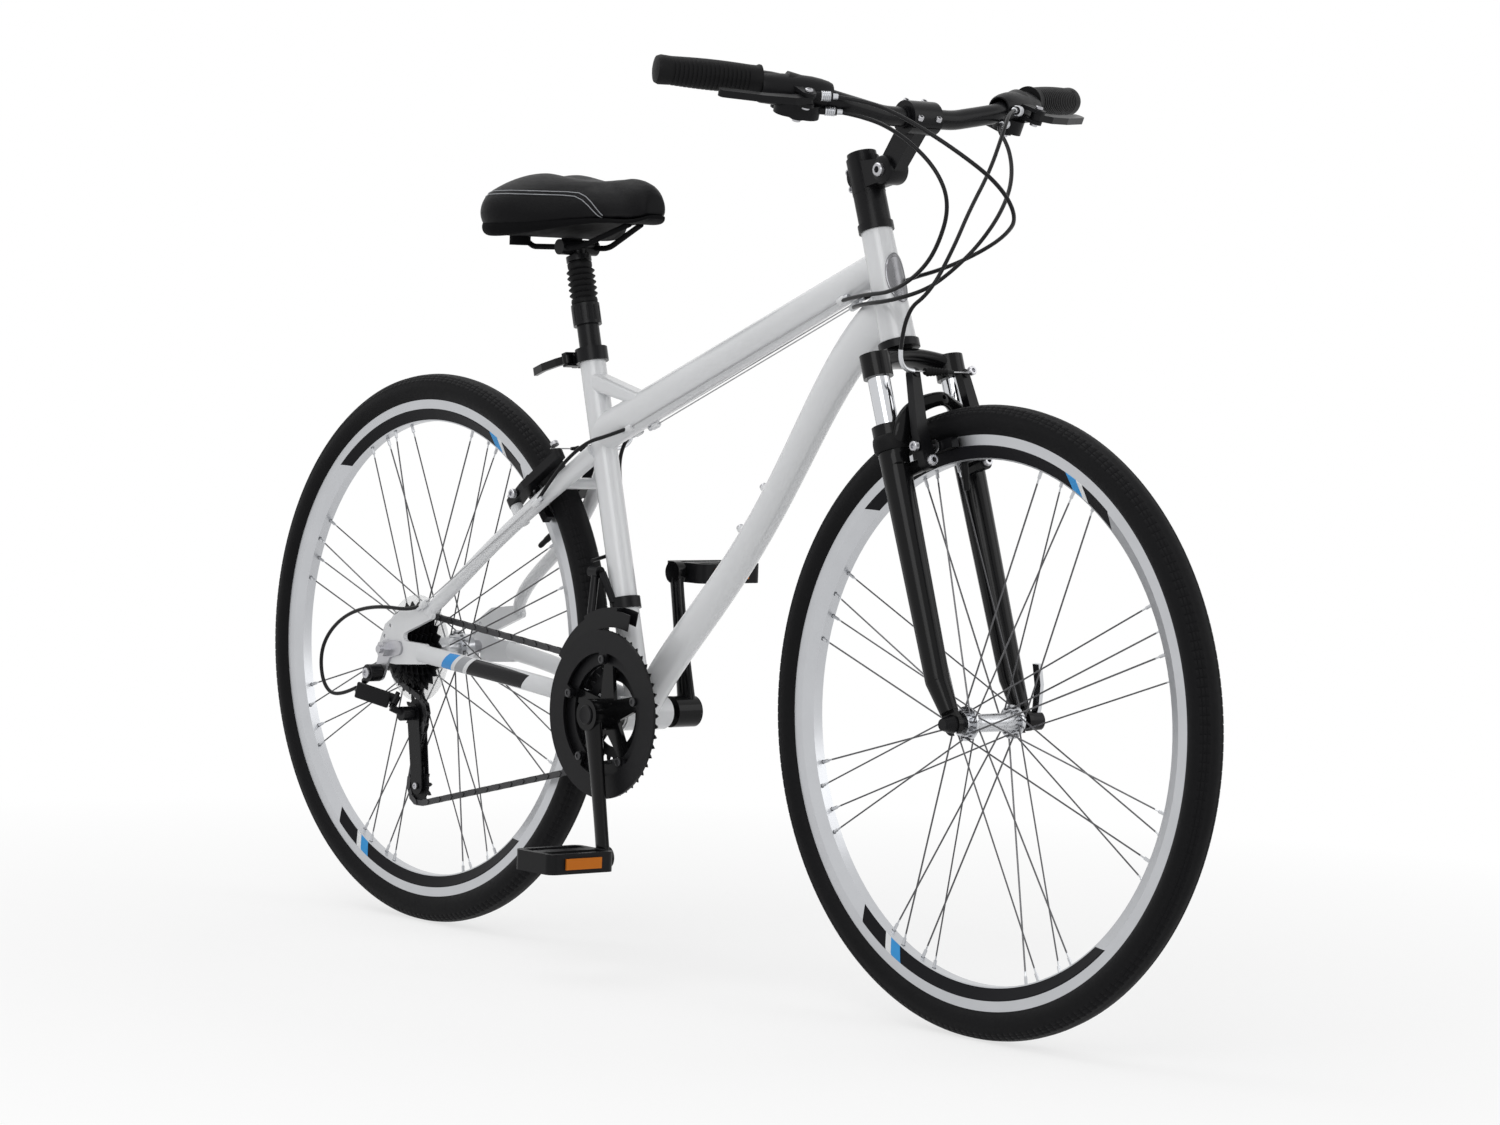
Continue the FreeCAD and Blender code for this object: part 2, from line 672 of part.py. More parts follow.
gusset_high = on_seat_tube(dim.seat_tube_length - dim.gusset_drop)
gusset_low = gusset_high - seat_up * float(dim.gusset_depth)
gusset_foot = top_tube_rear - top_run * (float(dim.gusset_reach) + float(dim.gusset_depth))
gusset_foot_low = top_tube_rear - top_run * float(dim.gusset_reach)
gusset_corners = [gusset_high, gusset_low, gusset_foot_low, gusset_foot]
gusset_face = Part.Face(Part.makePolygon(gusset_corners + gusset_corners[:1]))
gusset_shape = gusset_face.extrude(ALONG_Y * (2 * float(dim.gusset_half_width)))
gusset_shape.translate(ALONG_Y * -float(dim.gusset_half_width))
GUSSET_ROUND = 6.0
long_edges = [
    edge for edge in gusset_shape.Edges
    if abs(edge.tangentAt(edge.FirstParameter).y) < 0.5 and edge.Length > float(dim.gusset_reach) / 2
]
gusset_shape = gusset_shape.makeFillet(GUSSET_ROUND, long_edges)
gusset_shape = largest(gusset_shape.cut(seat_tube_core(WELD)).cut(top_core))

# Dropouts: hooded plates with an axle slot and two threaded eyelets.
dropout_inner = float(dim.rear_over_locknuts) / 2
dropout_outer = dropout_inner + float(dim.dropout_thickness)
DROPOUT_CORNERS = (
    (88, 60), (26, 52), (-8, 31), (-21, 4), (-17, -17), (18, -18), (82, -13),
    (82, 12), (34, 13), (32, 22), (94, 46),
)
EYELETS = ((3, 30), (-9, 16))
AXLE_SLOT = float(dim.axle_radius) + 0.2


def dropout_plate():
    """The right dropout plate, about the rear axle."""
    corners = [Vector(x, -dropout_outer, z) for x, z in DROPOUT_CORNERS]
    plate = Part.Face(
        Part.makePolygon(corners + corners[:1])
    ).extrude(ALONG_Y * float(dim.dropout_thickness))
    upright = [edge for edge in plate.Edges if abs(edge.tangentAt(edge.FirstParameter).y) > 0.9]
    plate = plate.makeFillet(5.0, upright)
    low = Vector(0, -dropout_outer - 1, 0)
    high = Vector(0, -dropout_inner + 1, 0)
    plate = plate.cut(rod(low, high, AXLE_SLOT))
    slot = Part.makeBox(2 * AXLE_SLOT, float(dim.dropout_thickness) + 2, 30, Vector(-AXLE_SLOT, low.y, -30))
    plate = plate.cut(slot)
    for x, z in EYELETS:
        across = Vector(x, 0, z)
        plate = plate.cut(rod(low + across, high + across, dim.eyelet_radius))
    return largest(plate)


dropout_right = formed("dropout_right", dropout_plate(), Placement(rear_axle, Rotation()))
doc.recompute()
dropout_left = mirrored("dropout_left", dropout_right)
as_node(group("dropouts", [dropout_right, dropout_left]))

stay_end_y = -(dropout_inner + float(dim.dropout_thickness) / 2)
chainstay_places = (
    (vector(crank_axis.x - 12, -float(dim.chainstay_offset), crank_axis.z + 3), 7.0, 12.0),
    (vector(crank_axis.x - 84, -float(dim.chainstay_offset) - 6.5, crank_axis.z + 14), 7.0, 12.0),
    (vector(crank_axis.x - 204, -float(dim.chainstay_offset) - 27, crank_axis.z + 30), 8.5, 11.5),
    (vector(rear_axle.x + 66, stay_end_y, rear_axle.z), 7.5, 11.5),
)


def stay_shape(places):
    """A stay skinned through its oval places, on the right side."""
    stations = []
    for index, (point, half_across, half_up) in enumerate(places):
        before = places[max(index - 1, 0)][0]
        after = places[min(index + 1, len(places) - 1)][0]
        stations.append((point, (after - before).normalize(), half_across, half_up))
    wires = []
    for point, direction, half_across, half_up in stations:
        across = Vector(-direction.y, direction.x, 0).normalize()
        up = direction.cross(across).normalize()
        wires.append(ellipse_wire(point, across, up, half_across, half_up))
    return Part.makeLoft(wires, True, False)


dropout_space = dropout_right.Shape
chainstay_right = stay_shape(chainstay_places).cut(bb_shell_core(WELD)).cut(dropout_space)
chainstay_right = formed("chainstay_right", largest(chainstay_right))

seatstay_root = on_seat_tube(dim.seatstay_join)
seatstay_places = (
    (seatstay_root + Vector(-6, -float(dim.seatstay_offset) + 4, -2), 10.0, 12.0),
    (seatstay_root + Vector(-44, -27, -36), 9.5, 11.0),
    (vector(rear_axle.x + 258, -41, rear_axle.z + 197), 8.5, 10.0),
    (vector(rear_axle.x + 160, -55, rear_axle.z + 121), 8.0, 9.0),
    (vector(rear_axle.x + 80, stay_end_y, rear_axle.z + 52), 7.5, 8.5),
)
seatstay_shape = stay_shape(seatstay_places).cut(seat_tube_core(WELD)).cut(dropout_space).cut(top_core)
seatstay_shape = largest(seatstay_shape)
doc.recompute()
chainstay_left = mirrored("chainstay_left", chainstay_right)
as_node(group("chainstays", [chainstay_right, chainstay_left]))
as_node(formed("top_tube", Part.makeCompound([top_shape, gusset_shape])))


# Wheels.
def prism(start, end, radius, sides=6):
    """A slim rod of few faces between two points."""
    run = end - start
    turn = Placement(start, Rotation(ALONG_Z, run))
    corners = []
    for index in range(sides):
        angle = 2 * math.pi * index / sides
        corners.append(turn.multVec(Vector(radius * math.cos(angle), radius * math.sin(angle), 0)))
    return Part.Face(Part.makePolygon(corners + corners[:1])).extrude(run)


def polar(angle, radius, y):
    """A point about the wheel axis; the angle runs from ahead towards the top."""
    turn = math.radians(angle)
    return Vector(radius * math.cos(turn), y, radius * math.sin(turn))


bead_outer = dim.rim_half_width - dim.rim_lip - dim.bead_gap
bead_inner = bead_outer - dim.tyre_bead
bead_floor = dim.rim_edge_radius - dim.rim_hook_depth + dim.bead_gap
side_foot = dim.rim_edge_radius + dim.bead_gap * 2
section_middle = dim.wheel_radius - dim.tyre_section
side_half = root(dim.tyre_section * dim.tyre_section
                 - (section_middle - side_foot) * (section_middle - side_foot))
inside_radius = dim.tyre_section - dim.tyre_wall - 1
inside_middle = section_middle + 1
inside_foot = inside_middle - root(inside_radius * inside_radius - bead_inner * bead_inner)
rim_floor = dim.rim_edge_radius - dim.rim_depth
track_foot = dim.rim_edge_radius - dim.rim_track_height
rim_bed = dim.rim_edge_radius - dim.rim_hook_depth
well_half = dim.rim_half_width - dim.rim_lip
floor_half = dim.rim_inner_half_width - dim.rim_lip / 2

# The flange holes lie on a circle inside the flange's edge.
HOLE_MARGIN = 3.5
SPOKES = 32
SPOKES_IN_GROUP = 4
ELBOW_STAND = 2.2
NIPPLE_HEAD = 1.7


def spoke_lines(left, right):
    """Each spoke as its head, elbow and rim point; a flange is (y, radius)."""
    lines = []
    groups = SPOKES // SPOKES_IN_GROUP
    half_flange = float(dim.flange_thickness) / 2
    for number in range(SPOKES):
        place = number % SPOKES_IN_GROUP
        middle = (number // SPOKES_IN_GROUP + 0.5) * 360.0 / groups
        rim_angle = middle + (place - 1.5) * float(dim.spoke_spread)
        flange_y, flange_radius = left if place % 2 == 0 else right
        side = 1 if place % 2 == 0 else -1
        leading = place < 2
        hub_angle = middle - float(dim.spoke_lean) if leading else middle + float(dim.spoke_lean)
        face = side if leading else -side
        hole_radius = float(flange_radius) - HOLE_MARGIN
        elbow = polar(hub_angle, hole_radius, float(flange_y) + face * (half_flange + ELBOW_STAND))
        head = polar(hub_angle, hole_radius, float(flange_y) - face * (half_flange + ELBOW_STAND))
        rim_point = polar(
            rim_angle, float(rim_floor + dim.rim_lip) + NIPPLE_HEAD, side * float(dim.spoke_stagger)
        )
        lines.append((head, elbow, rim_point))
    return lines


def projected(points, direction, through, normal):
    """Points slid along a direction onto a plane."""
    moved = []
    for point in points:
        distance = (through - point).dot(normal) / direction.dot(normal)
        moved.append(point + direction * distance)
    return moved


def skinned(rings):
    """A solid of flat faces through rings that have equal numbers of corners."""
    faces = [Part.Face(Part.makePolygon(ring + ring[:1])) for ring in (rings[0], rings[-1])]
    for lower, upper in zip(rings, rings[1:]):
        for index in range(len(lower)):
            after = (index + 1) % len(lower)
            corners = [lower[index], lower[after], upper[after], upper[index]]
            faces.append(Part.Face(Part.makePolygon(corners + corners[:1])))
    solid = Part.makeSolid(Part.makeShell(faces))
    if solid.Volume < 0:
        solid.reverse()
    return solid


def spoke_shape(head, elbow, rim_point):
    """A spoke of six sides, bent at the flange, with its nipple."""
    first = (elbow - head).normalize()
    second = (rim_point - elbow).normalize()
    mitre = (first + second).normalize()
    turn = Placement(head, Rotation(ALONG_Z, first))
    radius = float(dim.spoke_radius)
    hexagon = []
    for index in range(6):
        angle = math.pi * index / 3
        hexagon.append(turn.multVec(Vector(radius * math.cos(angle), radius * math.sin(angle), 0)))
    nipple_foot = rim_point - second * float(dim.nipple_length)
    corner = projected(hexagon, first, elbow, mitre)
    finish = projected(corner, second, nipple_foot, second)
    wire = skinned([hexagon, corner, finish])
    return wire.fuse(prism(nipple_foot, rim_point, float(dim.nipple_radius)))


def laced_wheel(end, axle, left, right, hub):
    """The tyre, rim, spokes and drilled hub of one wheel."""
    place = Placement(axle, Rotation())
    tyre = wheel_turned(end + "_tyre", (
        (-bead_inner, bead_floor),
        (-bead_outer, bead_floor),
        (-bead_outer, side_foot),
        (-side_half, side_foot),
        (side_half, side_foot),
        (bead_outer, side_foot),
        (bead_outer, bead_floor),
        (bead_inner, bead_floor),
        (bead_inner, inside_foot),
        (-bead_inner, inside_foot),
    ), {
        3: (0, dim.wheel_radius, dim.tyre_section),
        8: (0, inside_middle + inside_radius, inside_radius),
    })
    tyre.Placement = place
    as_node(tyre)
    rim_body = wheel_turned(end + "_rim_body", (
        (dim.rim_half_width, dim.rim_edge_radius),
        (dim.rim_half_width, track_foot),
        (dim.rim_inner_half_width, rim_floor),
        (-dim.rim_inner_half_width, rim_floor),
        (-dim.rim_half_width, track_foot),
        (-dim.rim_half_width, dim.rim_edge_radius),
        (-well_half, dim.rim_edge_radius),
        (-well_half, rim_bed),
        (well_half, rim_bed),
        (well_half, dim.rim_edge_radius),
    ), hollow=(
        (well_half, rim_bed - dim.rim_lip),
        (well_half, track_foot + 0.6),
        (floor_half, rim_floor + dim.rim_lip),
        (-floor_half, rim_floor + dim.rim_lip),
        (-well_half, track_foot + 0.6),
        (-well_half, rim_bed - dim.rim_lip),
    ))
    rim_body.Placement = place
    lines = spoke_lines(left, right)
    rim_holes = []
    flange_holes = []
    for head, elbow, rim_point in lines:
        inward = (elbow - rim_point).normalize()
        bore = float(dim.nipple_radius + dim.nipple_hole_gap)
        rim_holes.append(prism(rim_point + inward * 9, rim_point - inward * 2, bore))
        stand = (elbow - head) * 0.3
        flange_holes.append(prism(head - stand, elbow + stand, float(dim.spoke_radius) + 0.4))
    rim_tool = formed(end + "_rim_holes", Part.makeCompound(rim_holes), place)
    as_node(cut(end + "_rim", rim_body, rim_tool))
    spokes = [spoke_shape(*line) for line in lines]
    as_node(formed(end + "_spokes", Part.makeCompound(spokes), place))
    hub.Placement = place
    hub_tool = formed(end + "_hub_holes", Part.makeCompound(flange_holes), place)
    return cut(end + "_hub_drilled", hub, hub_tool)


def flange_steps(y, radius, near, far):
    """Corners of one hub flange, from the lower to the higher y, with the barrel radii beside it."""
    half = dim.flange_thickness / 2
    return ((y - half, near), (y - half, radius), (y + half, radius), (y + half, far))


hub_bore = dim.axle_radius + dim.running_gap
HUB_BARREL = 10.0
HUB_SHOULDER = 13.0
FRONT_HUB_END = 43.0
front_hub_profile = (
    ((-FRONT_HUB_END, hub_bore), (-FRONT_HUB_END, HUB_SHOULDER))
    + flange_steps(-dim.front_flange_offset, dim.front_flange_radius, HUB_SHOULDER, HUB_SHOULDER)
    + ((-HUB_SHOULDER * 1.5, HUB_BARREL), (HUB_SHOULDER * 1.5, HUB_BARREL))
    + flange_steps(dim.front_flange_offset, dim.front_flange_radius, HUB_SHOULDER, HUB_SHOULDER)
    + ((FRONT_HUB_END, HUB_SHOULDER), (FRONT_HUB_END, hub_bore))
)
front_hub_body = wheel_turned("front_hub_body", front_hub_profile)
front_hub = laced_wheel(
    "front", front_axle,
    (dim.front_flange_offset, dim.front_flange_radius),
    (-dim.front_flange_offset, dim.front_flange_radius),
    front_hub_body,
)
front_hub.Label = "front_hub"
as_node(front_hub)

FREEWHEEL_NECK = 15.0
NECK_SHOULDER = 17.0
NECK_END = 62.0
NECK_START = 28.2
REAR_HUB_END = 51.0
rear_hub_profile = (
    (
        (-NECK_END, hub_bore), (-NECK_END, FREEWHEEL_NECK), (-NECK_START, FREEWHEEL_NECK),
        (-NECK_START, NECK_SHOULDER)
    )
    + flange_steps(-dim.rear_flange_drive, dim.rear_flange_radius, NECK_SHOULDER, HUB_SHOULDER)
    + flange_steps(dim.rear_flange_plain, dim.rear_flange_radius, HUB_SHOULDER, NECK_SHOULDER)
    + ((REAR_HUB_END, NECK_SHOULDER), (REAR_HUB_END, hub_bore))
)
rear_hub_body = wheel_turned("rear_hub_body", rear_hub_profile)
rear_hub_drilled = laced_wheel(
    "rear", rear_axle,
    (dim.rear_flange_plain, dim.rear_flange_radius),
    (-dim.rear_flange_drive, dim.rear_flange_radius),
    rear_hub_body,
)
PROTECTOR_RADIUS = 68.0
PROTECTOR_Y = -26.5
spoke_protector = wheel_turned("spoke_protector", (
    (PROTECTOR_Y, NECK_SHOULDER + dim.running_gap),
    (PROTECTOR_Y, PROTECTOR_RADIUS),
    (PROTECTOR_Y - 1.3, PROTECTOR_RADIUS),
    (PROTECTOR_Y - 1.3, NECK_SHOULDER + dim.running_gap),
))
spoke_protector.Placement = Placement(rear_axle, Rotation())
as_node(group("rear_hub", [rear_hub_drilled, spoke_protector]))


# Axles.
LOCKNUT_RADIUS = 8.5
NUT_RADIUS = 10.0
NUT_HEIGHT = 8.0
HANGER_THICKNESS = 3.5
rear_face = float(dim.rear_over_locknuts) / 2
nut_face_left = rear_face + float(dim.dropout_thickness) + WELD
nut_face_right = nut_face_left + HANGER_THICKNESS + WELD


def on_axle(axle, y):
    return axle + ALONG_Y * float(y)


def nut(axle, inner, outer):
    """A hexagon nut on an axle between two y values."""
    return prism(on_axle(axle, inner), on_axle(axle, outer), NUT_RADIUS)


rear_axle_shape = rod(
    on_axle(rear_axle, -nut_face_right - 12), on_axle(rear_axle, nut_face_left + 11), dim.axle_radius
)
rear_axle_solids = (
    rod(on_axle(rear_axle, REAR_HUB_END + 0.3), on_axle(rear_axle, rear_face - WELD), LOCKNUT_RADIUS),
    rod(on_axle(rear_axle, -NECK_END - 0.3), on_axle(rear_axle, -rear_face + WELD), LOCKNUT_RADIUS),
    nut(rear_axle, nut_face_left, nut_face_left + NUT_HEIGHT),
    nut(rear_axle, -nut_face_right, -nut_face_right - NUT_HEIGHT),
)
for piece in rear_axle_solids:
    rear_axle_shape = rear_axle_shape.fuse(piece)
rear_axle_shape = rear_axle_shape.removeSplitter()

# The claw hanger is held under the right axle nut and carries the rear derailleur.
HANGER_BOLT_DROP = 31.0
HANGER_BOLT_BACK = 13.0
DERAILLEUR_BOLT_RADIUS = 4.5
hanger_bolt = rear_axle + Vector(-HANGER_BOLT_BACK, 0, -HANGER_BOLT_DROP)


def side_plate(points, radii, y_low, thickness):
    """A plate in a plane of constant y; points are (x, z) in the part's frame."""
    flat = [Vector(x, z, 0) for x, z in points]
    place = Placement(Vector(0, y_low + thickness, 0), Rotation(ALONG_X, 90))
    return rounded_plate(flat, radii, thickness, place)


hanger = side_plate(
    ((rear_axle.x + 24, rear_axle.z + 3), (rear_axle.x, rear_axle.z), (hanger_bolt.x, hanger_bolt.z)),
    (9.0, 12.0, 10.0), -nut_face_right + WELD, HANGER_THICKNESS)
hanger = hanger.cut(rod(on_axle(rear_axle, -100), on_axle(rear_axle, 0), float(dim.axle_radius) + 0.2))
hanger = hanger.cut(
    rod(
        on_axle(hanger_bolt, -100), on_axle(hanger_bolt, 0), DERAILLEUR_BOLT_RADIUS + float(dim.running_gap)
    )
)
as_node(formed("rear_axle", Part.makeCompound([rear_axle_shape, hanger])))

# Drivetrain: sprockets, chainrings and a chain that seats on them.
chain_y = -float(dim.chain_line)
PITCH = float(dim.chain_pitch)


def pitch_radius(teeth):
    return PITCH / (2 * math.sin(math.pi / float(teeth)))


def wrap_radius(teeth):
    """Radius at which the chain's length equals its pitches."""
    return float(teeth) * PITCH / (2 * math.pi)


def toothed_disc(teeth, bore, phase, thickness, slim):
    """A sprocket about its own Y axis; phase is the angle of one gap, slim gives pointed teeth."""
    count = int(round(float(teeth)))
    pitch_circle = wrap_radius(teeth)
    valley = pitch_circle - float(dim.roller_radius) - 0.3
    tip = pitch_circle + float(dim.tooth_height)
    step = 2 * math.pi / count
    valley_half = (float(dim.roller_radius) + 0.35) / pitch_circle
    flank = valley_half if not slim else 0.0
    corners = []
    for index in range(count):
        gap = phase + index * step
        if slim:
            corners.append((valley, gap))
            corners.append((tip, gap + step / 2))
        else:
            corners.append((valley, gap - flank * 0.62))
            corners.append((valley, gap + flank * 0.62))
            corners.append((pitch_circle, gap + flank))
            corners.append((tip, gap + step / 2))
            corners.append((pitch_circle, gap + step - flank))
    ring = [Vector(r * math.cos(a), -thickness / 2, r * math.sin(a)) for r, a in corners]
    disc = Part.Face(Part.makePolygon(ring + ring[:1])).extrude(ALONG_Y * thickness)
    return disc.cut(
        Part.makeCylinder(float(bore), thickness + 2, Vector(0, -thickness / 2 - 1, 0), ALONG_Y)
    )


def tangent(first, second):
    """The chain's straight run between two circles: leaving point, arriving point, direction."""
    (centre_a, radius_a, sense_a), (centre_b, radius_b, sense_b) = first, second
    across = centre_b - centre_a
    lean = math.asin((sense_a * radius_a - sense_b * radius_b) / across.Length)
    heading = math.atan2(across.z, across.x) - lean
    normal = Vector(-math.sin(heading), 0, math.cos(heading))
    leave = centre_a + normal * (sense_a * radius_a)
    arrive = centre_b + normal * (sense_b * radius_b)
    return leave, arrive, heading


COG_IN_USE = 24
guide_axis = rear_axle + vector(dim.guide_pulley_x, 0, -dim.guide_pulley_drop)


def chain_circles(cage_angle):
    """The four circles that the chain wraps, in running order, for one cage angle."""
    lean = math.radians(cage_angle)
    tension_axis = guide_axis + Vector(math.sin(lean), 0, -math.cos(lean)) * float(dim.cage_length)
    return (
        (rear_axle, wrap_radius(COG_IN_USE), 1),
        (crank_axis, wrap_radius(dim.small_ring_teeth), 1),
        (tension_axis, wrap_radius(dim.pulley_teeth), 1),
        (guide_axis, wrap_radius(dim.pulley_teeth), -1),
    )


def chain_runs(circles):
    """Straight runs and wraps in running order, each with its length."""
    count = len(circles)
    straights = [tangent(circles[index], circles[(index + 1) % count]) for index in range(count)]
    runs = []
    for index in range(count):
        leave, arrive, heading = straights[index]
        runs.append(("straight", (arrive - leave).Length, leave, heading, None))
        centre, radius, sense = circles[(index + 1) % count]
        next_heading = straights[(index + 1) % count][2]
        turn = (heading - next_heading) * sense % (2 * math.pi)
        runs.append(("wrap", turn * radius, arrive, heading, (centre, radius, sense)))
    return runs


def chain_length(cage_angle):
    return sum(run[1] for run in chain_runs(chain_circles(cage_angle)))


def fitted_cage_angle(start):
    """The cage angle nearest to start at which the chain has an even number of links."""
    best = None
    steps = 240
    reach = 30.0
    links = 2 * round(chain_length(start) / (2 * PITCH))
    target = links * PITCH
    for index in range(steps):
        low = start - reach + 2 * reach * index / steps
        high = low + 2 * reach / steps
        if (chain_length(low) - target) * (chain_length(high) - target) > 0:
            continue
        for _ in range(40):
            middle = (low + high) / 2
            if (chain_length(low) - target) * (chain_length(middle) - target) <= 0:
                high = middle
            else:
                low = middle
        if best is None or abs(low - start) < abs(best - start):
            best = low
    return best, links


cage_angle, link_count = fitted_cage_angle(float(dim.cage_lean))
chain_wraps = chain_circles(cage_angle)
tension_axis = chain_wraps[2][0]
route = chain_runs(chain_wraps)


def on_chain(distance):
    """A roller's place along the chain and the circle that it lies on, if any."""
    for kind, length, begin, heading, wrap in route:
        if distance <= length:
            if kind == "straight":
                return begin + Vector(math.cos(heading), 0, math.sin(heading)) * distance, None
            centre, radius, sense = wrap
            turned_by = heading - sense * distance / radius
            normal = Vector(-math.sin(turned_by), 0, math.cos(turned_by))
            return centre + normal * (sense * radius), centre
        distance -= length
    return on_chain(distance)


rollers = [on_chain((index + 0.5) * PITCH) for index in range(link_count)]


def tooth_phase(centre):
    """Angle, about a sprocket's axis, of a roller that sits in one of its gaps."""
    seated = [place for place, wrap in rollers if wrap is not None and (wrap - centre).Length < 0.01]
    middle = seated[len(seated) // 2]
    return math.atan2(middle.z - centre.z, middle.x - centre.x)


def link_plate(start, end, y_low, half_height):
    """One link plate of six sides."""
    along = (end - start).normalize()
    up = Vector(-along.z, 0, along.x)
    reach = float(dim.link_radius)
    outline = [
        start - along * reach, start + up * half_height, end + up * half_height,
        end + along * reach, end - up * half_height, start - up * half_height,
    ]
    lifted = [Vector(point.x, y_low, point.z) for point in outline]
    return Part.Face(Part.makePolygon(lifted + lifted[:1])).extrude(ALONG_Y * float(dim.plate_thickness))


PLATE_HALF_HEIGHT = 3.6
PLATE_SLACK = 0.1
chain_solids = []
for index in range(link_count):
    here = rollers[index][0]
    there = rollers[(index + 1) % link_count][0]
    offset = float(dim.inner_plate_gap)
    if index % 2:
        offset += float(dim.plate_thickness) + PLATE_SLACK
    chain_solids.append(link_plate(here, there, chain_y + offset, PLATE_HALF_HEIGHT))
    chain_solids.append(
        link_plate(here, there, chain_y - offset - float(dim.plate_thickness), PLATE_HALF_HEIGHT)
    )
    half = float(dim.inner_plate_gap) - PLATE_SLACK
    chain_solids.append(
        prism(on_axle(here, chain_y - half), on_axle(here, chain_y + half), float(dim.roller_radius), 4)
    )
as_node(formed("chain", Part.makeCompound(chain_solids)))

COG_TEETH = (28, COG_IN_USE, 22, 20, 18, 16, 14)
FREEWHEEL_WALL = 20.0
freewheel_bore = FREEWHEEL_NECK + float(dim.running_gap)
cog_width = float(dim.sprocket_thickness)
first_cog_y = chain_y + float(dim.cog_spacing)
last_cog_y = first_cog_y - float(dim.cog_spacing) * (len(COG_TEETH) - 1)
freewheel_shape = rod(on_axle(CENTRE, first_cog_y + 2.5), on_axle(CENTRE, last_cog_y - 2), FREEWHEEL_WALL)
for index, teeth in enumerate(COG_TEETH):
    in_use = teeth == COG_IN_USE
    phase = tooth_phase(rear_axle) if in_use else 0.0
    cog = toothed_disc(teeth, FREEWHEEL_WALL - 1, phase, cog_width, not in_use)
    cog.translate(ALONG_Y * (first_cog_y - float(dim.cog_spacing) * index))
    freewheel_shape = freewheel_shape.fuse(cog)
freewheel_shape = freewheel_shape.cut(rod(on_axle(CENTRE, -90), on_axle(CENTRE, -10), freewheel_bore))
as_node(formed("freewheel", freewheel_shape, Placement(rear_axle, Rotation())))

# Crankset: the arms with the axle, and three rings with a guard.
crank_swing = math.radians(float(dim.crank_turn))
crank_down = Vector(math.sin(crank_swing), 0, -math.cos(crank_swing))
SPIDER_INNER = 46.0
SPIDER_OUTER = 51.0
BOSS_OUTER = 82.0
EYE_INNER = 74.0
ARM_HALF = 6.0
SPIDER_ARMS = 5
OUTER_BOLT_CIRCLE = 66.0
INNER_BOLT_CIRCLE = 46.0
RING_BOLT_RADIUS = 4.0


def crank_arm(side, away):
    """A crank arm with its boss and eye; side is -1 on the right, away points to the pedal."""
    boss_low = on_axle(crank_axis, side * SPIDER_INNER)
    boss_high = on_axle(crank_axis, side * BOSS_OUTER)
    shape = rod(boss_low, boss_high, dim.crank_boss_radius)
    eye = crank_axis + away * float(dim.crank_length)
    shape = shape.fuse(
        rod(
            on_axle(eye, side * EYE_INNER), on_axle(eye, side * float(dim.crank_outside)),
            dim.crank_eye_radius
        )
    )
    eye_middle = (EYE_INNER + float(dim.crank_outside)) / 2
    places = (
        (0.03, BOSS_OUTER - 9, 8.0, 15.5), (0.5, BOSS_OUTER - 6, 6.5, 11.5),
        (0.97, eye_middle, ARM_HALF, 11.0)
    )
    stations = []
    for share, y, half_across, half_up in places:
        centre = on_axle(crank_axis + away * (float(dim.crank_length) * share), side * y)
        stations.append((centre, away, half_across, half_up))
    return shape.fuse(oval_loft(stations, ALONG_Y))


def pedal_spindle(side, away):
    """The pedal's axle, screwed into the eye of its crank arm."""
    eye = crank_axis + away * float(dim.crank_length)
    inner = on_axle(eye, side * (EYE_INNER + 2))
    outer = on_axle(eye, side * float(dim.crank_outside + dim.pedal_gap + dim.pedal_width - 10))
    return rod(inner, outer, dim.pedal_axle_radius)


crank_axle = rod(
    on_axle(crank_axis, -BOSS_OUTER + 4), on_axle(crank_axis, BOSS_OUTER - 4), dim.crank_axle_radius
)
left_arm = crank_arm(1, crank_down * -1).fuse(crank_axle).fuse(pedal_spindle(1, crank_down * -1))
as_node(formed("crank_arm_left", left_arm.removeSplitter()))

ring_bolts = []
for index in range(SPIDER_ARMS):
    angle = 90.0 + 360.0 * index / SPIDER_ARMS
    ring_bolts.append(
        (crank_axis + polar(angle, OUTER_BOLT_CIRCLE, 0), crank_axis + polar(angle, INNER_BOLT_CIRCLE, 0))
    )
right_arm = crank_arm(-1, crank_down)
for outer_bolt, inner_bolt in ring_bolts:
    leg = side_plate(
        ((crank_axis.x, crank_axis.z), (outer_bolt.x, outer_bolt.z)), (15.0, 7.5),
        -SPIDER_OUTER, SPIDER_OUTER - SPIDER_INNER)
    right_arm = right_arm.fuse(leg)
for outer_bolt, inner_bolt in ring_bolts:
    right_arm = right_arm.cut(
        rod(
            on_axle(outer_bolt, -SPIDER_OUTER - 1), on_axle(outer_bolt, -SPIDER_INNER + 1),
            RING_BOLT_RADIUS + WELD
        )
    )
right_arm = right_arm.cut(
    rod(on_axle(crank_axis, -BOSS_OUTER + 3.9), on_axle(crank_axis, 0), float(dim.crank_axle_radius) + WELD)
)
right_arm = right_arm.fuse(pedal_spindle(-1, crank_down))
as_node(formed("crank_arm_right", right_arm.removeSplitter()))

ring_width = float(dim.sprocket_thickness)
middle_ring_y = chain_y - float(dim.ring_spacing)
large_ring_y = middle_ring_y - float(dim.ring_spacing)
GUARD_INNER = 56.5
GUARD_OUTER = 60.0


def chainring(teeth, bore, phase, y):
    ring = toothed_disc(teeth, bore, phase, ring_width, False)
    ring.translate(crank_axis + ALONG_Y * y)
    return ring


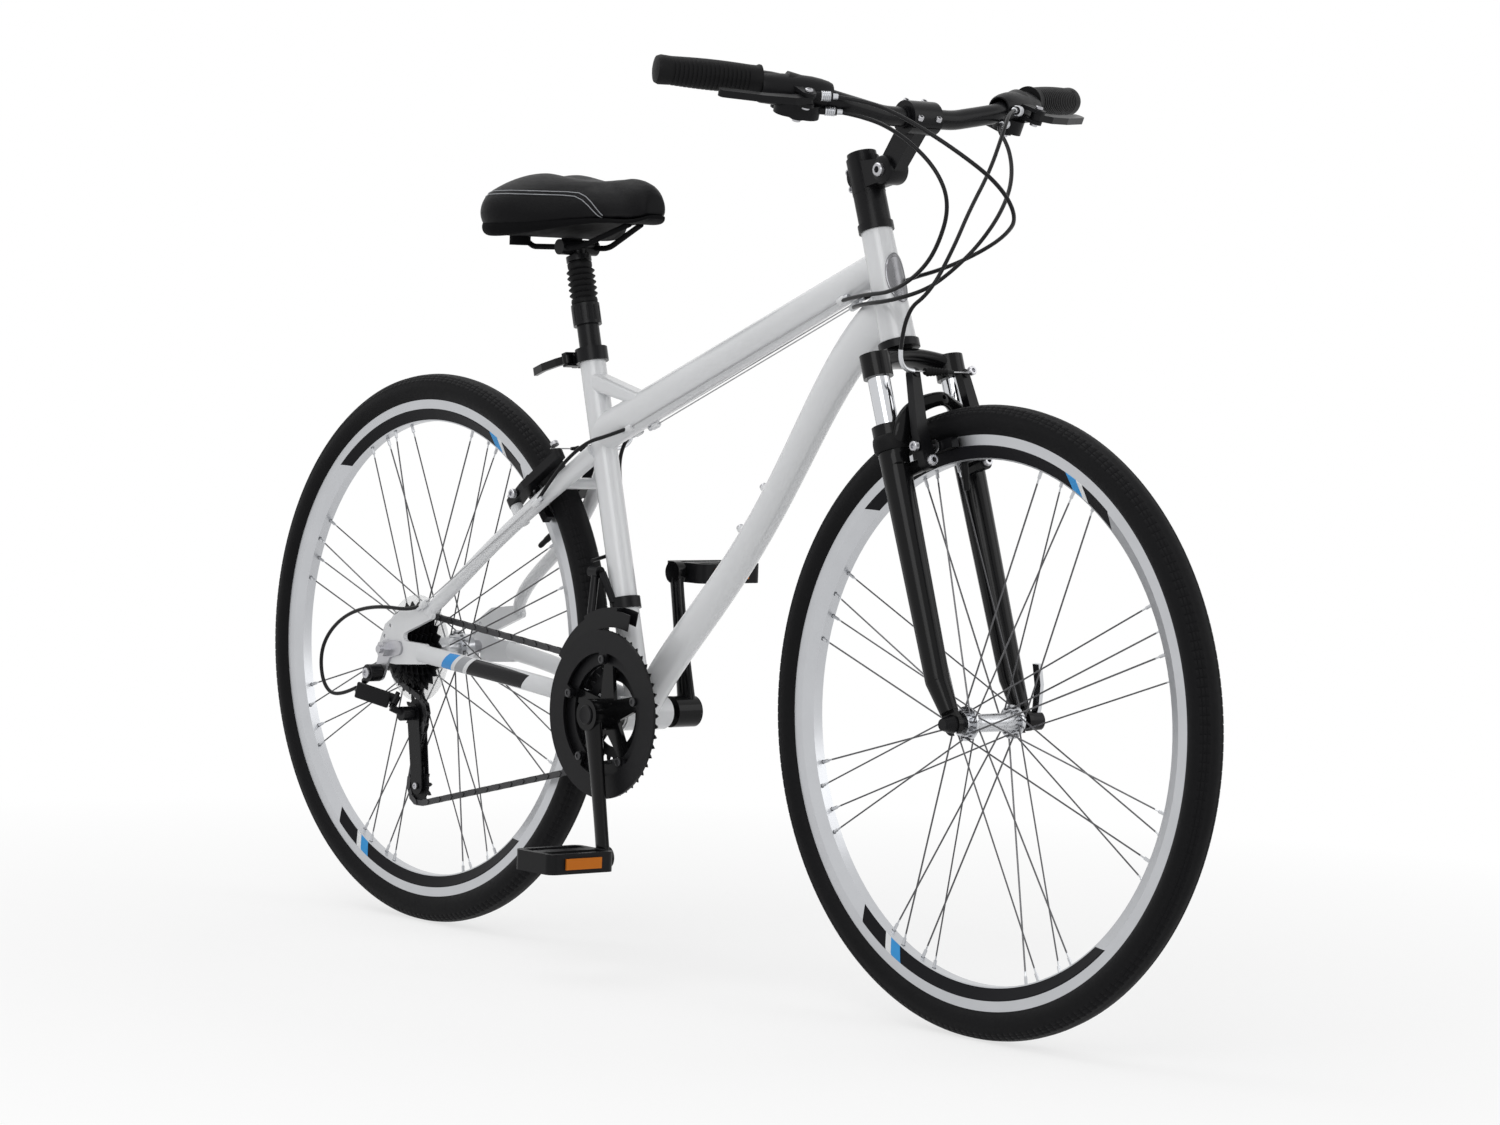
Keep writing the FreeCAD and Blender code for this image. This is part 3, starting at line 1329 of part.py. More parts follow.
outer_rings = chainring(dim.middle_ring_teeth, OUTER_BOLT_CIRCLE - 6, 0.0, middle_ring_y)
outer_rings = outer_rings.fuse(chainring(dim.large_ring_teeth, OUTER_BOLT_CIRCLE - 6, 0.0, large_ring_y))
guard = rod(on_axle(crank_axis, -GUARD_OUTER), on_axle(crank_axis, -GUARD_INNER), dim.guard_radius)
guard = guard.cut(
    rod(on_axle(crank_axis, -GUARD_OUTER - 1), on_axle(crank_axis, -GUARD_INNER + 1), dim.guard_bore)
)
small_ring = chainring(dim.small_ring_teeth, INNER_BOLT_CIRCLE - 6, tooth_phase(crank_axis), chain_y)
for outer_bolt, inner_bolt in ring_bolts:
    tab_root = crank_axis + (outer_bolt - crank_axis) * (float(dim.guard_bore + 5) / OUTER_BOLT_CIRCLE)
    tab = side_plate(
        (
            (outer_bolt.x, outer_bolt.z), (tab_root.x, tab_root.z)
        ), (6.0, 9.0), -GUARD_OUTER, GUARD_OUTER - GUARD_INNER)
    guard = guard.fuse(tab)
    guard = guard.fuse(
        rod(
            on_axle(outer_bolt, middle_ring_y + 2), on_axle(outer_bolt, -GUARD_OUTER - 1.5),
            RING_BOLT_RADIUS
        )
    )
    small_ring = small_ring.fuse(
        rod(on_axle(inner_bolt, chain_y + 2), on_axle(inner_bolt, -SPIDER_INNER + WELD), RING_BOLT_RADIUS)
    )
outer_rings = outer_rings.fuse(guard)
as_node(formed("chainrings", Part.makeCompound([largest(outer_rings), largest(small_ring)])))

# Pedals: an open cage round a barrel, with a reflector in front and behind.
PEDAL_BARREL = 10.0
PEDAL_WALL = 8.0
REFLECTOR = (2.5, 52.0, 13.0)


def pedal_shape(side, away):
    eye = crank_axis + away * float(dim.crank_length)
    inner = float(dim.crank_outside + dim.pedal_gap)
    width = float(dim.pedal_width)
    depth = float(dim.pedal_depth)
    height = float(dim.pedal_height)
    middle = on_axle(eye, side * (inner + width / 2))
    body = Part.makeBox(depth, width, height, middle - Vector(depth / 2, width / 2, height / 2))
    corners = [edge for edge in body.Edges if abs(edge.tangentAt(edge.FirstParameter).z) > 0.9]
    body = body.makeFillet(10.0, corners)
    window_depth = depth / 2 - PEDAL_WALL - PEDAL_BARREL
    for fore in (-1, 1):
        centre = middle + Vector(fore * (PEDAL_BARREL + window_depth / 2), 0, 0)
        size = Vector(window_depth, width - 2 * PEDAL_WALL, height + 2)
        body = body.cut(Part.makeBox(size.x, size.y, size.z, centre - size * 0.5))
    bore = rod(
        on_axle(eye, side * (inner - 1)), on_axle(eye, side * (inner + width - 9)),
        float(dim.pedal_axle_radius + dim.running_gap)
    )
    solids = [body.cut(bore)]
    for fore in (-1, 1):
        size = Vector(*REFLECTOR)
        centre = middle + Vector(fore * (depth / 2 + size.x / 2 + WELD), 0, 0)
        solids.append(Part.makeBox(size.x, size.y, size.z, centre - size * 0.5))
    return Part.makeCompound(solids)


as_node(formed("pedal_right", pedal_shape(-1, crank_down)))
as_node(formed("pedal_left", pedal_shape(1, crank_down * -1)))

# Rear derailleur: a slanted link carries the cage that holds the chain tight.
BODY_BARREL_INNER = 77.6
BODY_BARREL_OUTER = 95.0
BODY_BARREL_RADIUS = 11.0
LINK_EYE = 6.0
LINK_HALF = 6.0
LINK_PIN = 3.0
STRUT_LIFT = 11.0
STRUT_RADIUS = 4.5
KNUCKLE_RADIUS = 9.0
KNUCKLE_INNER = 46.5
KNUCKLE_OUTER = 63.0
CAGE_SHAFT = 5.0
link_root = hanger_bolt + Vector(-23, -88, -22)
link_tip = guide_axis + Vector(-7, -68, 17)
link_run = (link_tip - link_root).normalize()
SLANT = Vector(0, 0.857, -0.514)
slant_run = (SLANT - link_run * SLANT.dot(link_run)).normalize()
link_axis = link_run.cross(slant_run).normalize()


def pinned(centre, radius):
    """A pin along the link's hinge direction."""
    return rod(centre - link_axis * STRUT_LIFT, centre + link_axis * STRUT_LIFT, radius)


body_shape = rod(
    on_axle(hanger_bolt, -BODY_BARREL_INNER), on_axle(hanger_bolt, -BODY_BARREL_OUTER), BODY_BARREL_RADIUS
)
body_shape = body_shape.fuse(
    rod(
        on_axle(hanger_bolt, -BODY_BARREL_INNER + 5), on_axle(hanger_bolt, -BODY_BARREL_INNER),
        DERAILLEUR_BOLT_RADIUS
    )
)
body_foot = on_axle(hanger_bolt, -(BODY_BARREL_INNER + BODY_BARREL_OUTER) / 2)
body_shape = body_shape.fuse(rod(body_foot, link_root + link_axis * STRUT_LIFT, STRUT_RADIUS))
body_shape = body_shape.fuse(pinned(link_root, LINK_PIN))
as_node(formed("rd_body", body_shape.removeSplitter()))

link_place = Placement(link_root - link_axis * LINK_HALF, Rotation(link_run, slant_run, link_axis, "XYZ"))
link_reach = (link_tip - link_root).Length
link_shape = rounded_plate(
    (CENTRE, Vector(link_reach, 0, 0)), (LINK_EYE, LINK_EYE), 2 * LINK_HALF, link_place
)
for pivot in (link_root, link_tip):
    link_shape = link_shape.cut(pinned(pivot, LINK_PIN + float(dim.running_gap)))
as_node(formed("rd_link", largest(link_shape)))

knuckle_low = on_axle(guide_axis, -KNUCKLE_INNER)
knuckle_high = on_axle(guide_axis, -KNUCKLE_OUTER)
knuckle_shape = rod(knuckle_low, knuckle_high, KNUCKLE_RADIUS)
knuckle_shape = knuckle_shape.fuse(
    rod(knuckle_high + ALONG_Y * 5, link_tip - link_axis * STRUT_LIFT, STRUT_RADIUS)
)
knuckle_shape = knuckle_shape.fuse(pinned(link_tip, LINK_PIN))
knuckle_shape = knuckle_shape.cut(
    rod(knuckle_low + ALONG_Y, knuckle_high + ALONG_Y * 3, CAGE_SHAFT + float(dim.running_gap))
)
as_node(formed("rd_knuckle", largest(knuckle_shape)))

CAGE_PLATE = 1.5
CAGE_CLEAR = 4.7
CAGE_RADII = (12.5, 11.0)
PULLEY_BOLT = 2.5
cage_line = ((guide_axis.x, guide_axis.z), (tension_axis.x, tension_axis.z))
cage_shape = side_plate(cage_line, CAGE_RADII, chain_y - CAGE_CLEAR - CAGE_PLATE, CAGE_PLATE)
cage_shape = cage_shape.fuse(side_plate(cage_line, CAGE_RADII, chain_y + CAGE_CLEAR, CAGE_PLATE))
for axis in (guide_axis, tension_axis):
    cage_shape = cage_shape.fuse(rod(
        on_axle(axis, chain_y - CAGE_CLEAR - CAGE_PLATE), on_axle(
            axis, chain_y + CAGE_CLEAR + CAGE_PLATE + 1
        ), PULLEY_BOLT))
cage_shape = cage_shape.fuse(
    rod(on_axle(guide_axis, chain_y - CAGE_CLEAR - 1), on_axle(guide_axis, -KNUCKLE_OUTER + 4), CAGE_SHAFT)
)
as_node(formed("rd_cage", cage_shape.removeSplitter()))


def pulley_shape(axis):
    """A pulley with a boss that keeps it between the cage plates."""
    shape = toothed_disc(
        dim.pulley_teeth, PULLEY_BOLT + float(dim.running_gap), tooth_phase(axis), 2.0, False
    )
    boss = rod(Vector(0, -CAGE_CLEAR + 0.3, 0), Vector(0, CAGE_CLEAR - 0.3, 0), 7.0)
    shape = shape.fuse(boss).cut(
        rod(Vector(0, -9, 0), Vector(0, 9, 0), PULLEY_BOLT + float(dim.running_gap))
    )
    shape.translate(on_axle(axis, chain_y))
    return shape


as_node(formed("guide_pulley", pulley_shape(guide_axis)))
as_node(formed("tension_pulley", pulley_shape(tension_axis)))

# Front derailleur: a band on the seat tube and a cage that swings out over the rings.
FD_BAND = 134.0
FD_BAND_HEIGHT = 14.0
FD_BAND_WALL = 3.0
FD_PIVOT_BACK = 28.0
FD_PIVOT_LIFT = 37.0
FD_PIVOT_SIDE = 25.0
FD_PIN = 3.0
FD_EYE = 7.0
FD_EYE_HALF = 9.0
CAGE_LOW = 3.4
CAGE_BAND = 20.0
fd_band_middle = on_seat_tube(FD_BAND)
band = rod(
    fd_band_middle - seat_up * (FD_BAND_HEIGHT / 2), fd_band_middle + seat_up * (FD_BAND_HEIGHT / 2),
    float(dim.seat_tube_radius) + FD_BAND_WALL
)
band_bore = rod(on_seat_tube(0), on_seat_tube(dim.seat_tube_length), float(dim.seat_tube_radius) + WELD)
fd_pivot = fd_band_middle + Vector(-FD_PIVOT_BACK, -FD_PIVOT_SIDE, FD_PIVOT_LIFT)
fd_pin_front = fd_pivot + ALONG_X * (FD_EYE_HALF + 4)
band = band.fuse(rod(fd_band_middle + Vector(-2, -float(dim.seat_tube_radius) - 1, 2), fd_pin_front, 4.5))
band = band.fuse(rod(fd_pivot - ALONG_X * FD_EYE_HALF, fd_pin_front, FD_PIN))
as_node(formed("front_derailleur_clamp", largest(band.cut(band_bore))))

cage_inner_radius = pitch_radius(dim.large_ring_teeth) + float(dim.tooth_height) + CAGE_LOW
cage_outer_radius = cage_inner_radius + CAGE_BAND


def ring_sector(inner, outer, y_low, thickness, begin, end):
    """Part of a flat ring about the crank axis."""
    ring = Part.makeCylinder(outer, thickness, Vector(0, 0, 0), ALONG_Z, end - begin)
    ring = ring.cut(Part.makeCylinder(inner, thickness, Vector(0, 0, 0), ALONG_Z, 360))
    place = Placement(crank_axis + ALONG_Y * (y_low + thickness), Rotation(ALONG_X, 90))
    ring.Placement = place.multiply(Placement(CENTRE, Rotation(ALONG_Z, begin)))
    return ring


FD_GAP = 4.8
fd_cage = ring_sector(cage_inner_radius, cage_outer_radius, chain_y - FD_GAP - 1.4, 1.4, 76, 150)
fd_cage = fd_cage.fuse(
    ring_sector(cage_inner_radius + 6, cage_outer_radius + 4, chain_y + FD_GAP, 1.4, 76, 150)
)
fd_cage = fd_cage.fuse(
    ring_sector(
        cage_outer_radius - 2, cage_outer_radius + 4, chain_y - FD_GAP - 1.4, 2 * FD_GAP + 2.8, 88, 118
    )
)
tail_pin = crank_axis + polar(148.5, cage_inner_radius + 2.5, 0)
fd_cage = fd_cage.fuse(
    rod(on_axle(tail_pin, chain_y - FD_GAP - 1), on_axle(tail_pin, chain_y + FD_GAP + 1), 2.0)
)
fd_foot = crank_axis + polar(116, cage_outer_radius + 2, 0)
fd_link = rod(Vector(fd_foot.x, chain_y + FD_GAP - 4, fd_foot.z), fd_pivot, 5.0)
fd_link = fd_link.fuse(rod(fd_pivot - ALONG_X * FD_EYE_HALF, fd_pivot + ALONG_X * FD_EYE_HALF, FD_EYE))
fd_cage = fd_cage.fuse(fd_link)
fd_cage = fd_cage.cut(
    rod(fd_pivot - ALONG_X * 20, fd_pivot + ALONG_X * 20, FD_PIN + float(dim.running_gap))
)
as_node(formed("front_derailleur_cage", largest(fd_cage)))


# Fork: a steerer with its crown, two stanchions and sprung lower legs.
STEERER_FOOT = 18.0
SPACERS = 3
CUP_RADIUS_LOW = 23.5
CUP_RADIUS_HIGH = 20.5
CUP_GAP = 0.1
stack = float(dim.headset_stack)
head_length = float(dim.head_tube_length)
spacer_foot = head_length + stack + CUP_GAP
stem_foot = spacer_foot + float(dim.spacer_stack)
stem_head = stem_foot + float(dim.stem_clamp_height)
leg_ahead = float(dim.crown_offset)
leg_side = float(dim.leg_spacing)
steerer_fit = dim.steerer_radius + dim.running_gap

lower_cup = turned("headset_cup_low", tube_rings(steerer_fit, CUP_RADIUS_LOW, -dim.headset_stack, -0.02))
upper_cup = turned("headset_cup_high", tube_rings(
    steerer_fit, CUP_RADIUS_HIGH, dim.head_tube_length + 0.02, dim.head_tube_length + dim.headset_stack))
lower_cup.Placement = steer_frame
upper_cup.Placement = steer_frame
as_node(group("headset_cups", [lower_cup, upper_cup]))

spacers = []
spacer_height = dim.spacer_stack / SPACERS
for index in range(SPACERS):
    foot = dim.head_tube_length + dim.headset_stack + CUP_GAP + spacer_height * index
    spacer = turned("headset_spacer_%d" % (index + 1), tube_rings(
        dim.steerer_radius + dim.weld_gap, dim.head_radius_top + 0.6, foot, foot + spacer_height - 0.05))
    spacer.Placement = steer_frame
    spacers.append(spacer)
as_node(group("headset_spacers", spacers))

crown_stations = []
for side, ahead, drop, half_across, half_up in (
    (-leg_side, leg_ahead, 34, 14.5, 12.5),
    (
        0, 4, 9.6 + float(dim.crown_height) / 2, float(dim.crown_thickness) / 2 + 4,
        float(dim.crown_height) / 2
    ),
    (leg_side, leg_ahead, 34, 14.5, 12.5),
):
    crown_stations.append((on_steerer(-drop, ahead, side), ALONG_Y, half_across, half_up))
crown_shape = oval_loft(crown_stations, steer_fore)
crown_shape = crown_shape.fuse(
    rod(on_steerer(-STEERER_FOOT), on_steerer(stem_head - 2), dim.steerer_radius)
)
for side in (-leg_side, leg_side):
    lug = rod(
        on_steerer(-21, leg_ahead, side), on_steerer(-float(dim.crown_lug_drop), leg_ahead, side),
        dim.crown_lug_radius
    )
    crown_shape = crown_shape.fuse(lug)
    socket = rod(
        on_steerer(-24, leg_ahead, side), on_steerer(-90, leg_ahead, side),
        float(dim.stanchion_radius) + WELD
    )
    crown_shape = crown_shape.cut(socket)
crown_shape = crown_shape.cut(rod(on_steerer(-5), on_steerer(stem_head + 1), dim.steerer_bore))
as_node(formed("fork_crown", largest(crown_shape)))

stanchions = []
for name, side in (("stanchion_right", -leg_side), ("stanchion_left", leg_side)):
    stanchion = turned(name, tube_rings(
        dim.stanchion_radius - dim.stanchion_wall, dim.stanchion_radius, -dim.stanchion_reach, -24.1))
    stanchion.Placement = Placement(on_steerer(0, leg_ahead, side), steer_frame.Rotation)
    stanchions.append(stanchion)
as_node(group("stanchions", stanchions))

AXLE_AHEAD = (front_axle - head_bottom).dot(steer_fore)
AXLE_DROP = -(front_axle - head_bottom).dot(steer_up)
FORK_END_INNER = float(dim.front_over_locknuts) / 2
FORK_END_THICKNESS = 6.0
FOOT_RADIUS = 10.5


def lower_leg(side):
    """One lower leg with its fork end and brake boss; side is -1 on the right."""
    y = side * leg_side
    top = on_steerer(-float(dim.leg_top_drop), leg_ahead, y)
    straight_end = on_steerer(-float(dim.leg_straight_drop), leg_ahead, y)
    foot = on_steerer(-AXLE_DROP + 14, AXLE_AHEAD - 3, side * (FORK_END_INNER + FORK_END_THICKNESS / 2))
    leg = Part.makeCone(
        float(dim.leg_radius_top), float(dim.leg_radius_low), (straight_end - top).Length, top,
        steer_up * -1
    )
    lean = foot - straight_end
    leg = leg.fuse(Part.makeSphere(float(dim.leg_radius_low), straight_end))
    leg = leg.fuse(Part.makeCone(float(dim.leg_radius_low), FOOT_RADIUS, lean.Length, straight_end, lean))
    seal_top = on_steerer(-float(dim.leg_top_drop) + float(dim.seal_height), leg_ahead, y)
    leg = leg.fuse(rod(top, seal_top, float(dim.leg_radius_top) + 1.5))
    plate_low = FORK_END_INNER if side > 0 else -FORK_END_INNER - FORK_END_THICKNESS
    plate = side_plate(
        ((foot.x, foot.z), (front_axle.x, front_axle.z)), (10.0, 13.0), plate_low, FORK_END_THICKNESS)
    leg = leg.fuse(plate)
    slot_half = AXLE_SLOT
    slot = Part.makeBox(
        2 * slot_half, FORK_END_THICKNESS + 20, 40, Vector(-slot_half, -(FORK_END_THICKNESS + 20) / 2, -40)
    )
    slot = slot.fuse(
        Part.makeCylinder(
            slot_half, FORK_END_THICKNESS + 20, Vector(0, -(FORK_END_THICKNESS + 20) / 2, 0), ALONG_Y
        )
    )
    slot.Placement = Placement(
        on_axle(front_axle, side * (FORK_END_INNER + FORK_END_THICKNESS / 2)), steer_frame.Rotation
    )
    leg = leg.cut(slot)
    for end in (-1, 1):
        face = side * (FORK_END_INNER + FORK_END_THICKNESS / 2 + end * (FORK_END_THICKNESS / 2 + 10))
        leg = leg.cut(rod(on_axle(front_axle, face - 9.98), on_axle(front_axle, face + 9.98), 12.0))
    bore = rod(
        on_steerer(0, leg_ahead, y), on_steerer(-float(dim.stanchion_reach) - 60, leg_ahead, y),
        float(dim.stanchion_radius + dim.running_gap)
    )
    return leg, bore


# Half of the arch: side, reach ahead, drop, half thickness and half height.
arch_half = (
    (-leg_side, 26, 152, 8, 13),
    (-leg_side + 2, 32, 122, 7.5, 13),
    (-leg_side + 15, float(dim.arch_reach) - 13, float(dim.arch_drop) + 15, 6.5, 11),
    (-leg_side + 33, float(dim.arch_reach) - 8.5, float(dim.arch_drop) + 4, 6, 9),
    (
        0, float(dim.arch_reach), float(dim.arch_drop), float(dim.arch_half_thickness),
        float(dim.arch_half_height)
    ),
)
arch_full = list(arch_half) + [(-side, *rest) for side, *rest in reversed(arch_half[:-1])]
arch_points = [on_steerer(-drop, ahead, side) for side, ahead, drop, thick, high in arch_full]
arch_stations = []
for index, (side, ahead, drop, thick, high) in enumerate(arch_full):
    before = arch_points[max(index - 1, 0)]
    after = arch_points[min(index + 1, len(arch_points) - 1)]
    arch_stations.append((arch_points[index], (after - before).normalize(), thick, high))
lowers = oval_loft(arch_stations, steer_fore)
arch_middle = on_steerer(-float(dim.arch_drop), float(dim.arch_reach), 0)
lowers = lowers.cut(rod(arch_middle - steer_fore * 20, arch_middle + steer_fore * 20, dim.arch_hole_radius))

# Rim brakes: the same pair of arms on the fork legs and on the seatstays.
front_brake_frame = Placement(front_axle, steer_frame.Rotation)
rear_radial = (Vector(0.795, 0, 0.607)).normalize()
rear_brake_frame = Placement(rear_axle, Rotation(ALONG_Z, rear_radial))
BRAKE_BOSS = 8.0
BRAKE_EYE = 9.0
PAD_RADIUS = 308.5
PAD_FACE = float(dim.rim_half_width + dim.pad_gap)
PAD_BACK = PAD_FACE + 10.0
PAD_POST = 3.2
ANCHOR_GAP = 4.0


def brake_stud(frame, side, plane):
    """The brake stud with the boss that carries it; plane is the arm's reach, with its sign."""
    away = 1 if plane > 0 else -1
    half = float(dim.brake_arm_thickness) / 2
    y = side * float(dim.brake_pivot_offset)
    height = float(dim.brake_pivot_radius)
    boss_start = plane - away * 32
    boss_end = plane - away * (half + 0.3)
    stud_end = plane + away * (half + 2)
    boss = rod(Vector(boss_start, y, height), Vector(boss_end, y, height), BRAKE_BOSS)
    stud = rod(Vector(boss_end, y, height), Vector(stud_end, y, height), dim.brake_boss_radius)
    cap = rod(Vector(stud_end - away * 1.7, y, height), Vector(stud_end + away, y, height), 6.0)
    shape = boss.fuse(stud).fuse(cap)
    shape.Placement = frame
    return shape


def brake_arm(frame, side, plane):
    """A brake arm with its shoe; the cable end is at the top."""
    half = float(dim.brake_arm_thickness) / 2
    pivot = float(dim.brake_pivot_offset)
    low = float(dim.brake_pivot_radius)
    top = low + float(dim.brake_arm_length)
    points = (
        Vector(low, side * pivot, 0), Vector(low + 36, side * (pivot + 3), 0),
        Vector(top, side * (pivot - 4), 0)
    )
    flat = Placement(Vector(plane + half, 0, 0), Rotation(ALONG_Z, ALONG_Y, ALONG_X * -1, "XYZ"))
    arm = rounded_plate(points, (BRAKE_EYE, 8.0, 6.0), 2 * half, flat)
    post = rod(
        Vector(plane, side * (PAD_BACK + WELD), PAD_RADIUS), Vector(plane, side * (pivot + 13), PAD_RADIUS),
        PAD_POST
    )
    arm = arm.fuse(post)
    away = 1 if plane > 0 else -1
    anchor_face = plane + away * (half + ANCHOR_GAP - float(dim.housing_radius) - WELD)
    arm = arm.fuse(
        rod(Vector(plane, side * (pivot - 4), top), Vector(anchor_face, side * (pivot - 4), top), 4.5)
    )
    bore = rod(
        Vector(plane - half - 1, side * pivot, low), Vector(plane + half + 1, side * pivot, low),
        float(dim.brake_boss_radius + dim.running_gap)
    )
    arm = arm.cut(bore)
    width = PAD_BACK - PAD_FACE
    length = float(dim.pad_length)
    height = float(dim.pad_height)
    pad = Part.makeBox(
        length, width, height, Vector(-length / 2, min(side * PAD_FACE, side * PAD_BACK), -height / 2)
    )
    pad_turn = math.degrees(math.asin(plane * 0.75 / PAD_RADIUS))
    reach = Vector(plane * 0.75, 0, PAD_RADIUS * math.cos(math.radians(pad_turn)))
    pad.Placement = Placement(reach, Rotation(ALONG_Y, pad_turn))
    shape = Part.makeCompound([largest(arm), pad])
    shape.Placement = frame
    return shape


front_plane = float(dim.brake_plane)
rear_plane = -float(dim.brake_plane)
bores = []
for side in (-1, 1):
    leg, bore = lower_leg(side)
    lowers = lowers.fuse(leg)
    lowers = lowers.fuse(brake_stud(front_brake_frame, side, front_plane))
    bores.append(bore)
for bore in bores:
    lowers = lowers.cut(bore)
as_node(formed("fork_lowers", largest(lowers)))

# The seatstays with their studs and the bridge above the tyre.
BRIDGE_RADIUS = 7.0
bridge_middle = rear_axle + rear_radial * (float(dim.wheel_radius) + 14 + BRIDGE_RADIUS)
seatstay_shape = seatstay_shape.fuse(brake_stud(rear_brake_frame, -1, rear_plane))
seatstay_shape = seatstay_shape.fuse(
    rod(bridge_middle - ALONG_Y * 30, bridge_middle - ALONG_Y * WELD, BRIDGE_RADIUS)
)
seatstay_right = formed("seatstay_right", largest(seatstay_shape.cut(seat_tube_core(WELD))))
doc.recompute()
seatstay_left = mirrored("seatstay_left", seatstay_right)
as_node(group("seatstays", [seatstay_right, seatstay_left]))
for name, frame, plane in (
    ("front", front_brake_frame, front_plane), ("rear", rear_brake_frame, rear_plane)
):
    as_node(formed(name + "_brake_arm_right", brake_arm(frame, -1, plane)))
    as_node(formed(name + "_brake_arm_left", brake_arm(frame, 1, plane)))

# Front axle with its cap, cam housing and release lever.
CAM_Y = FORK_END_INNER + FORK_END_THICKNESS + 11
CAM_PIN = 3.0
CAM_EYE = 6.0
CAM_HALF = 5.0
fork_face = FORK_END_INNER + FORK_END_THICKNESS + WELD
front_axle_shape = rod(
    on_axle(front_axle, -fork_face - 4), on_axle(front_axle, fork_face + 3), dim.axle_radius
)
for side in (-1, 1):
    front_axle_shape = front_axle_shape.fuse(rod(
        on_axle(front_axle, side * (FRONT_HUB_END + 0.3)), on_axle(
            front_axle, side * (FORK_END_INNER - WELD)
        ), LOCKNUT_RADIUS))
front_axle_shape = front_axle_shape.fuse(Part.makeCone(
    10.5, 6.5, 14, on_axle(front_axle, -fork_face), ALONG_Y * -1))
cam_housing = rod(on_axle(front_axle, fork_face), on_axle(front_axle, CAM_Y + 7), 11.0)
slot = Part.makeBox(
    2 * CAM_HALF + 0.6, 30, 40, on_axle(front_axle, CAM_Y - 7) - Vector(CAM_HALF + 0.3, 0, 20)
)
cam_housing = cam_housing.cut(slot)
cam_middle = on_axle(front_axle, CAM_Y)
cam_housing = cam_housing.fuse(rod(cam_middle - ALONG_X * 9, cam_middle + ALONG_X * 9, CAM_PIN))
as_node(formed("front_axle", largest(front_axle_shape.fuse(cam_housing))))


def release_lever(middle, hinge, reach, outward):
    """A quick-release lever: an eye round its hinge and a curved blade."""
    eye = rod(middle - hinge * CAM_HALF, middle + hinge * CAM_HALF, CAM_EYE)
    blade_points = [
        middle, middle + reach * 14 + outward * 4, middle + reach * 40 + outward * 6,
        middle + reach * 62 + outward * 2
    ]
    blade = None
    for start, end in zip(blade_points, blade_points[1:]):
        run = (end - start).normalize()
        across = run.cross(hinge).normalize()
        wide = hinge * CAM_HALF
        thick = across * 2.5
        corners = [start + wide + thick, start - wide + thick, start - wide - thick, start + wide - thick]
        bar = Part.Face(Part.makePolygon(corners + corners[:1])).extrude((end - start) + run * 1.5)
        blade = bar if blade is None else blade.fuse(bar)
    lever = eye.fuse(blade)
    return lever.cut(rod(middle - hinge * 20, middle + hinge * 20, CAM_PIN + float(dim.running_gap)))


as_node(formed("front_qr_lever", largest(release_lever(cam_middle, ALONG_X, ALONG_Z, ALONG_Y))))


# Cockpit: stem, handlebar, grips, control pods, brake levers and shift paddles.
stem_pivot = vector(dim.stem_pivot_x, 0, dim.stem_pivot_z)
bar_middle = vector(dim.bar_clamp_x, 0, dim.bar_clamp_z)
STEM_EAR_INNER = 9.0
STEM_EAR_OUTER = 15.0
STEM_EYE = 13.0
STEM_BOLT = 4.0
BAR_CLAMP_HALF = 21.0
BAR_BEND = 0.15
stem_low = on_steerer(stem_foot)
stem_top = on_steerer(stem_head)
stem_base = rod(stem_low, stem_top, dim.stem_clamp_radius)
stem_middle = on_steerer((stem_foot + stem_head) / 2)
stem_line = ((stem_middle.x, stem_middle.z), (stem_pivot.x, stem_pivot.z))
stem_base = stem_base.fuse(side_plate(stem_line, (16.0, STEM_EYE), -STEM_EAR_OUTER, 2 * STEM_EAR_OUTER))
ear_gap = rod(on_axle(stem_pivot, -STEM_EAR_INNER), on_axle(stem_pivot, STEM_EAR_INNER), STEM_EYE + 1.5)
stem_base = stem_base.cut(ear_gap)
arm_line = ((stem_pivot.x, stem_pivot.z), (bar_middle.x, bar_middle.z))
arm_half = STEM_EAR_INNER - 0.3
stem_arm = side_plate(arm_line, (STEM_EYE, 15.0), -arm_half, 2 * arm_half)
stem_arm = stem_arm.fuse(
    rod(on_axle(bar_middle, -BAR_CLAMP_HALF), on_axle(bar_middle, BAR_CLAMP_HALF), dim.stem_clamp_radius)
)
stem_arm = stem_arm.cut(
    rod(on_axle(bar_middle, -40), on_axle(bar_middle, 40), float(dim.bar_bulge_radius) + WELD)
)
stem_arm = stem_arm.fuse(
    rod(on_axle(stem_pivot, -STEM_EAR_OUTER - 3), on_axle(stem_pivot, STEM_EAR_OUTER + 3), STEM_BOLT)
)
stem_base = stem_base.cut(rod(on_axle(stem_pivot, -40), on_axle(stem_pivot, 40), STEM_BOLT + WELD))
stem_base = stem_base.cut(rod(stem_low, stem_top, float(dim.steerer_radius) + WELD))
clamp_run = (bar_middle - stem_pivot).normalize()
split = Part.makeBox(1.0, 80, 80, Vector(-0.5, -40, -40))
split.Placement = Placement(bar_middle, Rotation(ALONG_X, clamp_run))
stem_pieces = stem_arm.cut(split).Solids
stem_cap = rod(stem_top + steer_up * WELD, stem_top + steer_up * 6, float(dim.stem_clamp_radius) - 2)
as_node(formed("stem", Part.makeCompound([largest(stem_base), stem_cap] + stem_pieces)))


def bar_point(side, y, rise, back):
    return vector(dim.bar_clamp_x - back, side * float(y), dim.bar_clamp_z + rise)


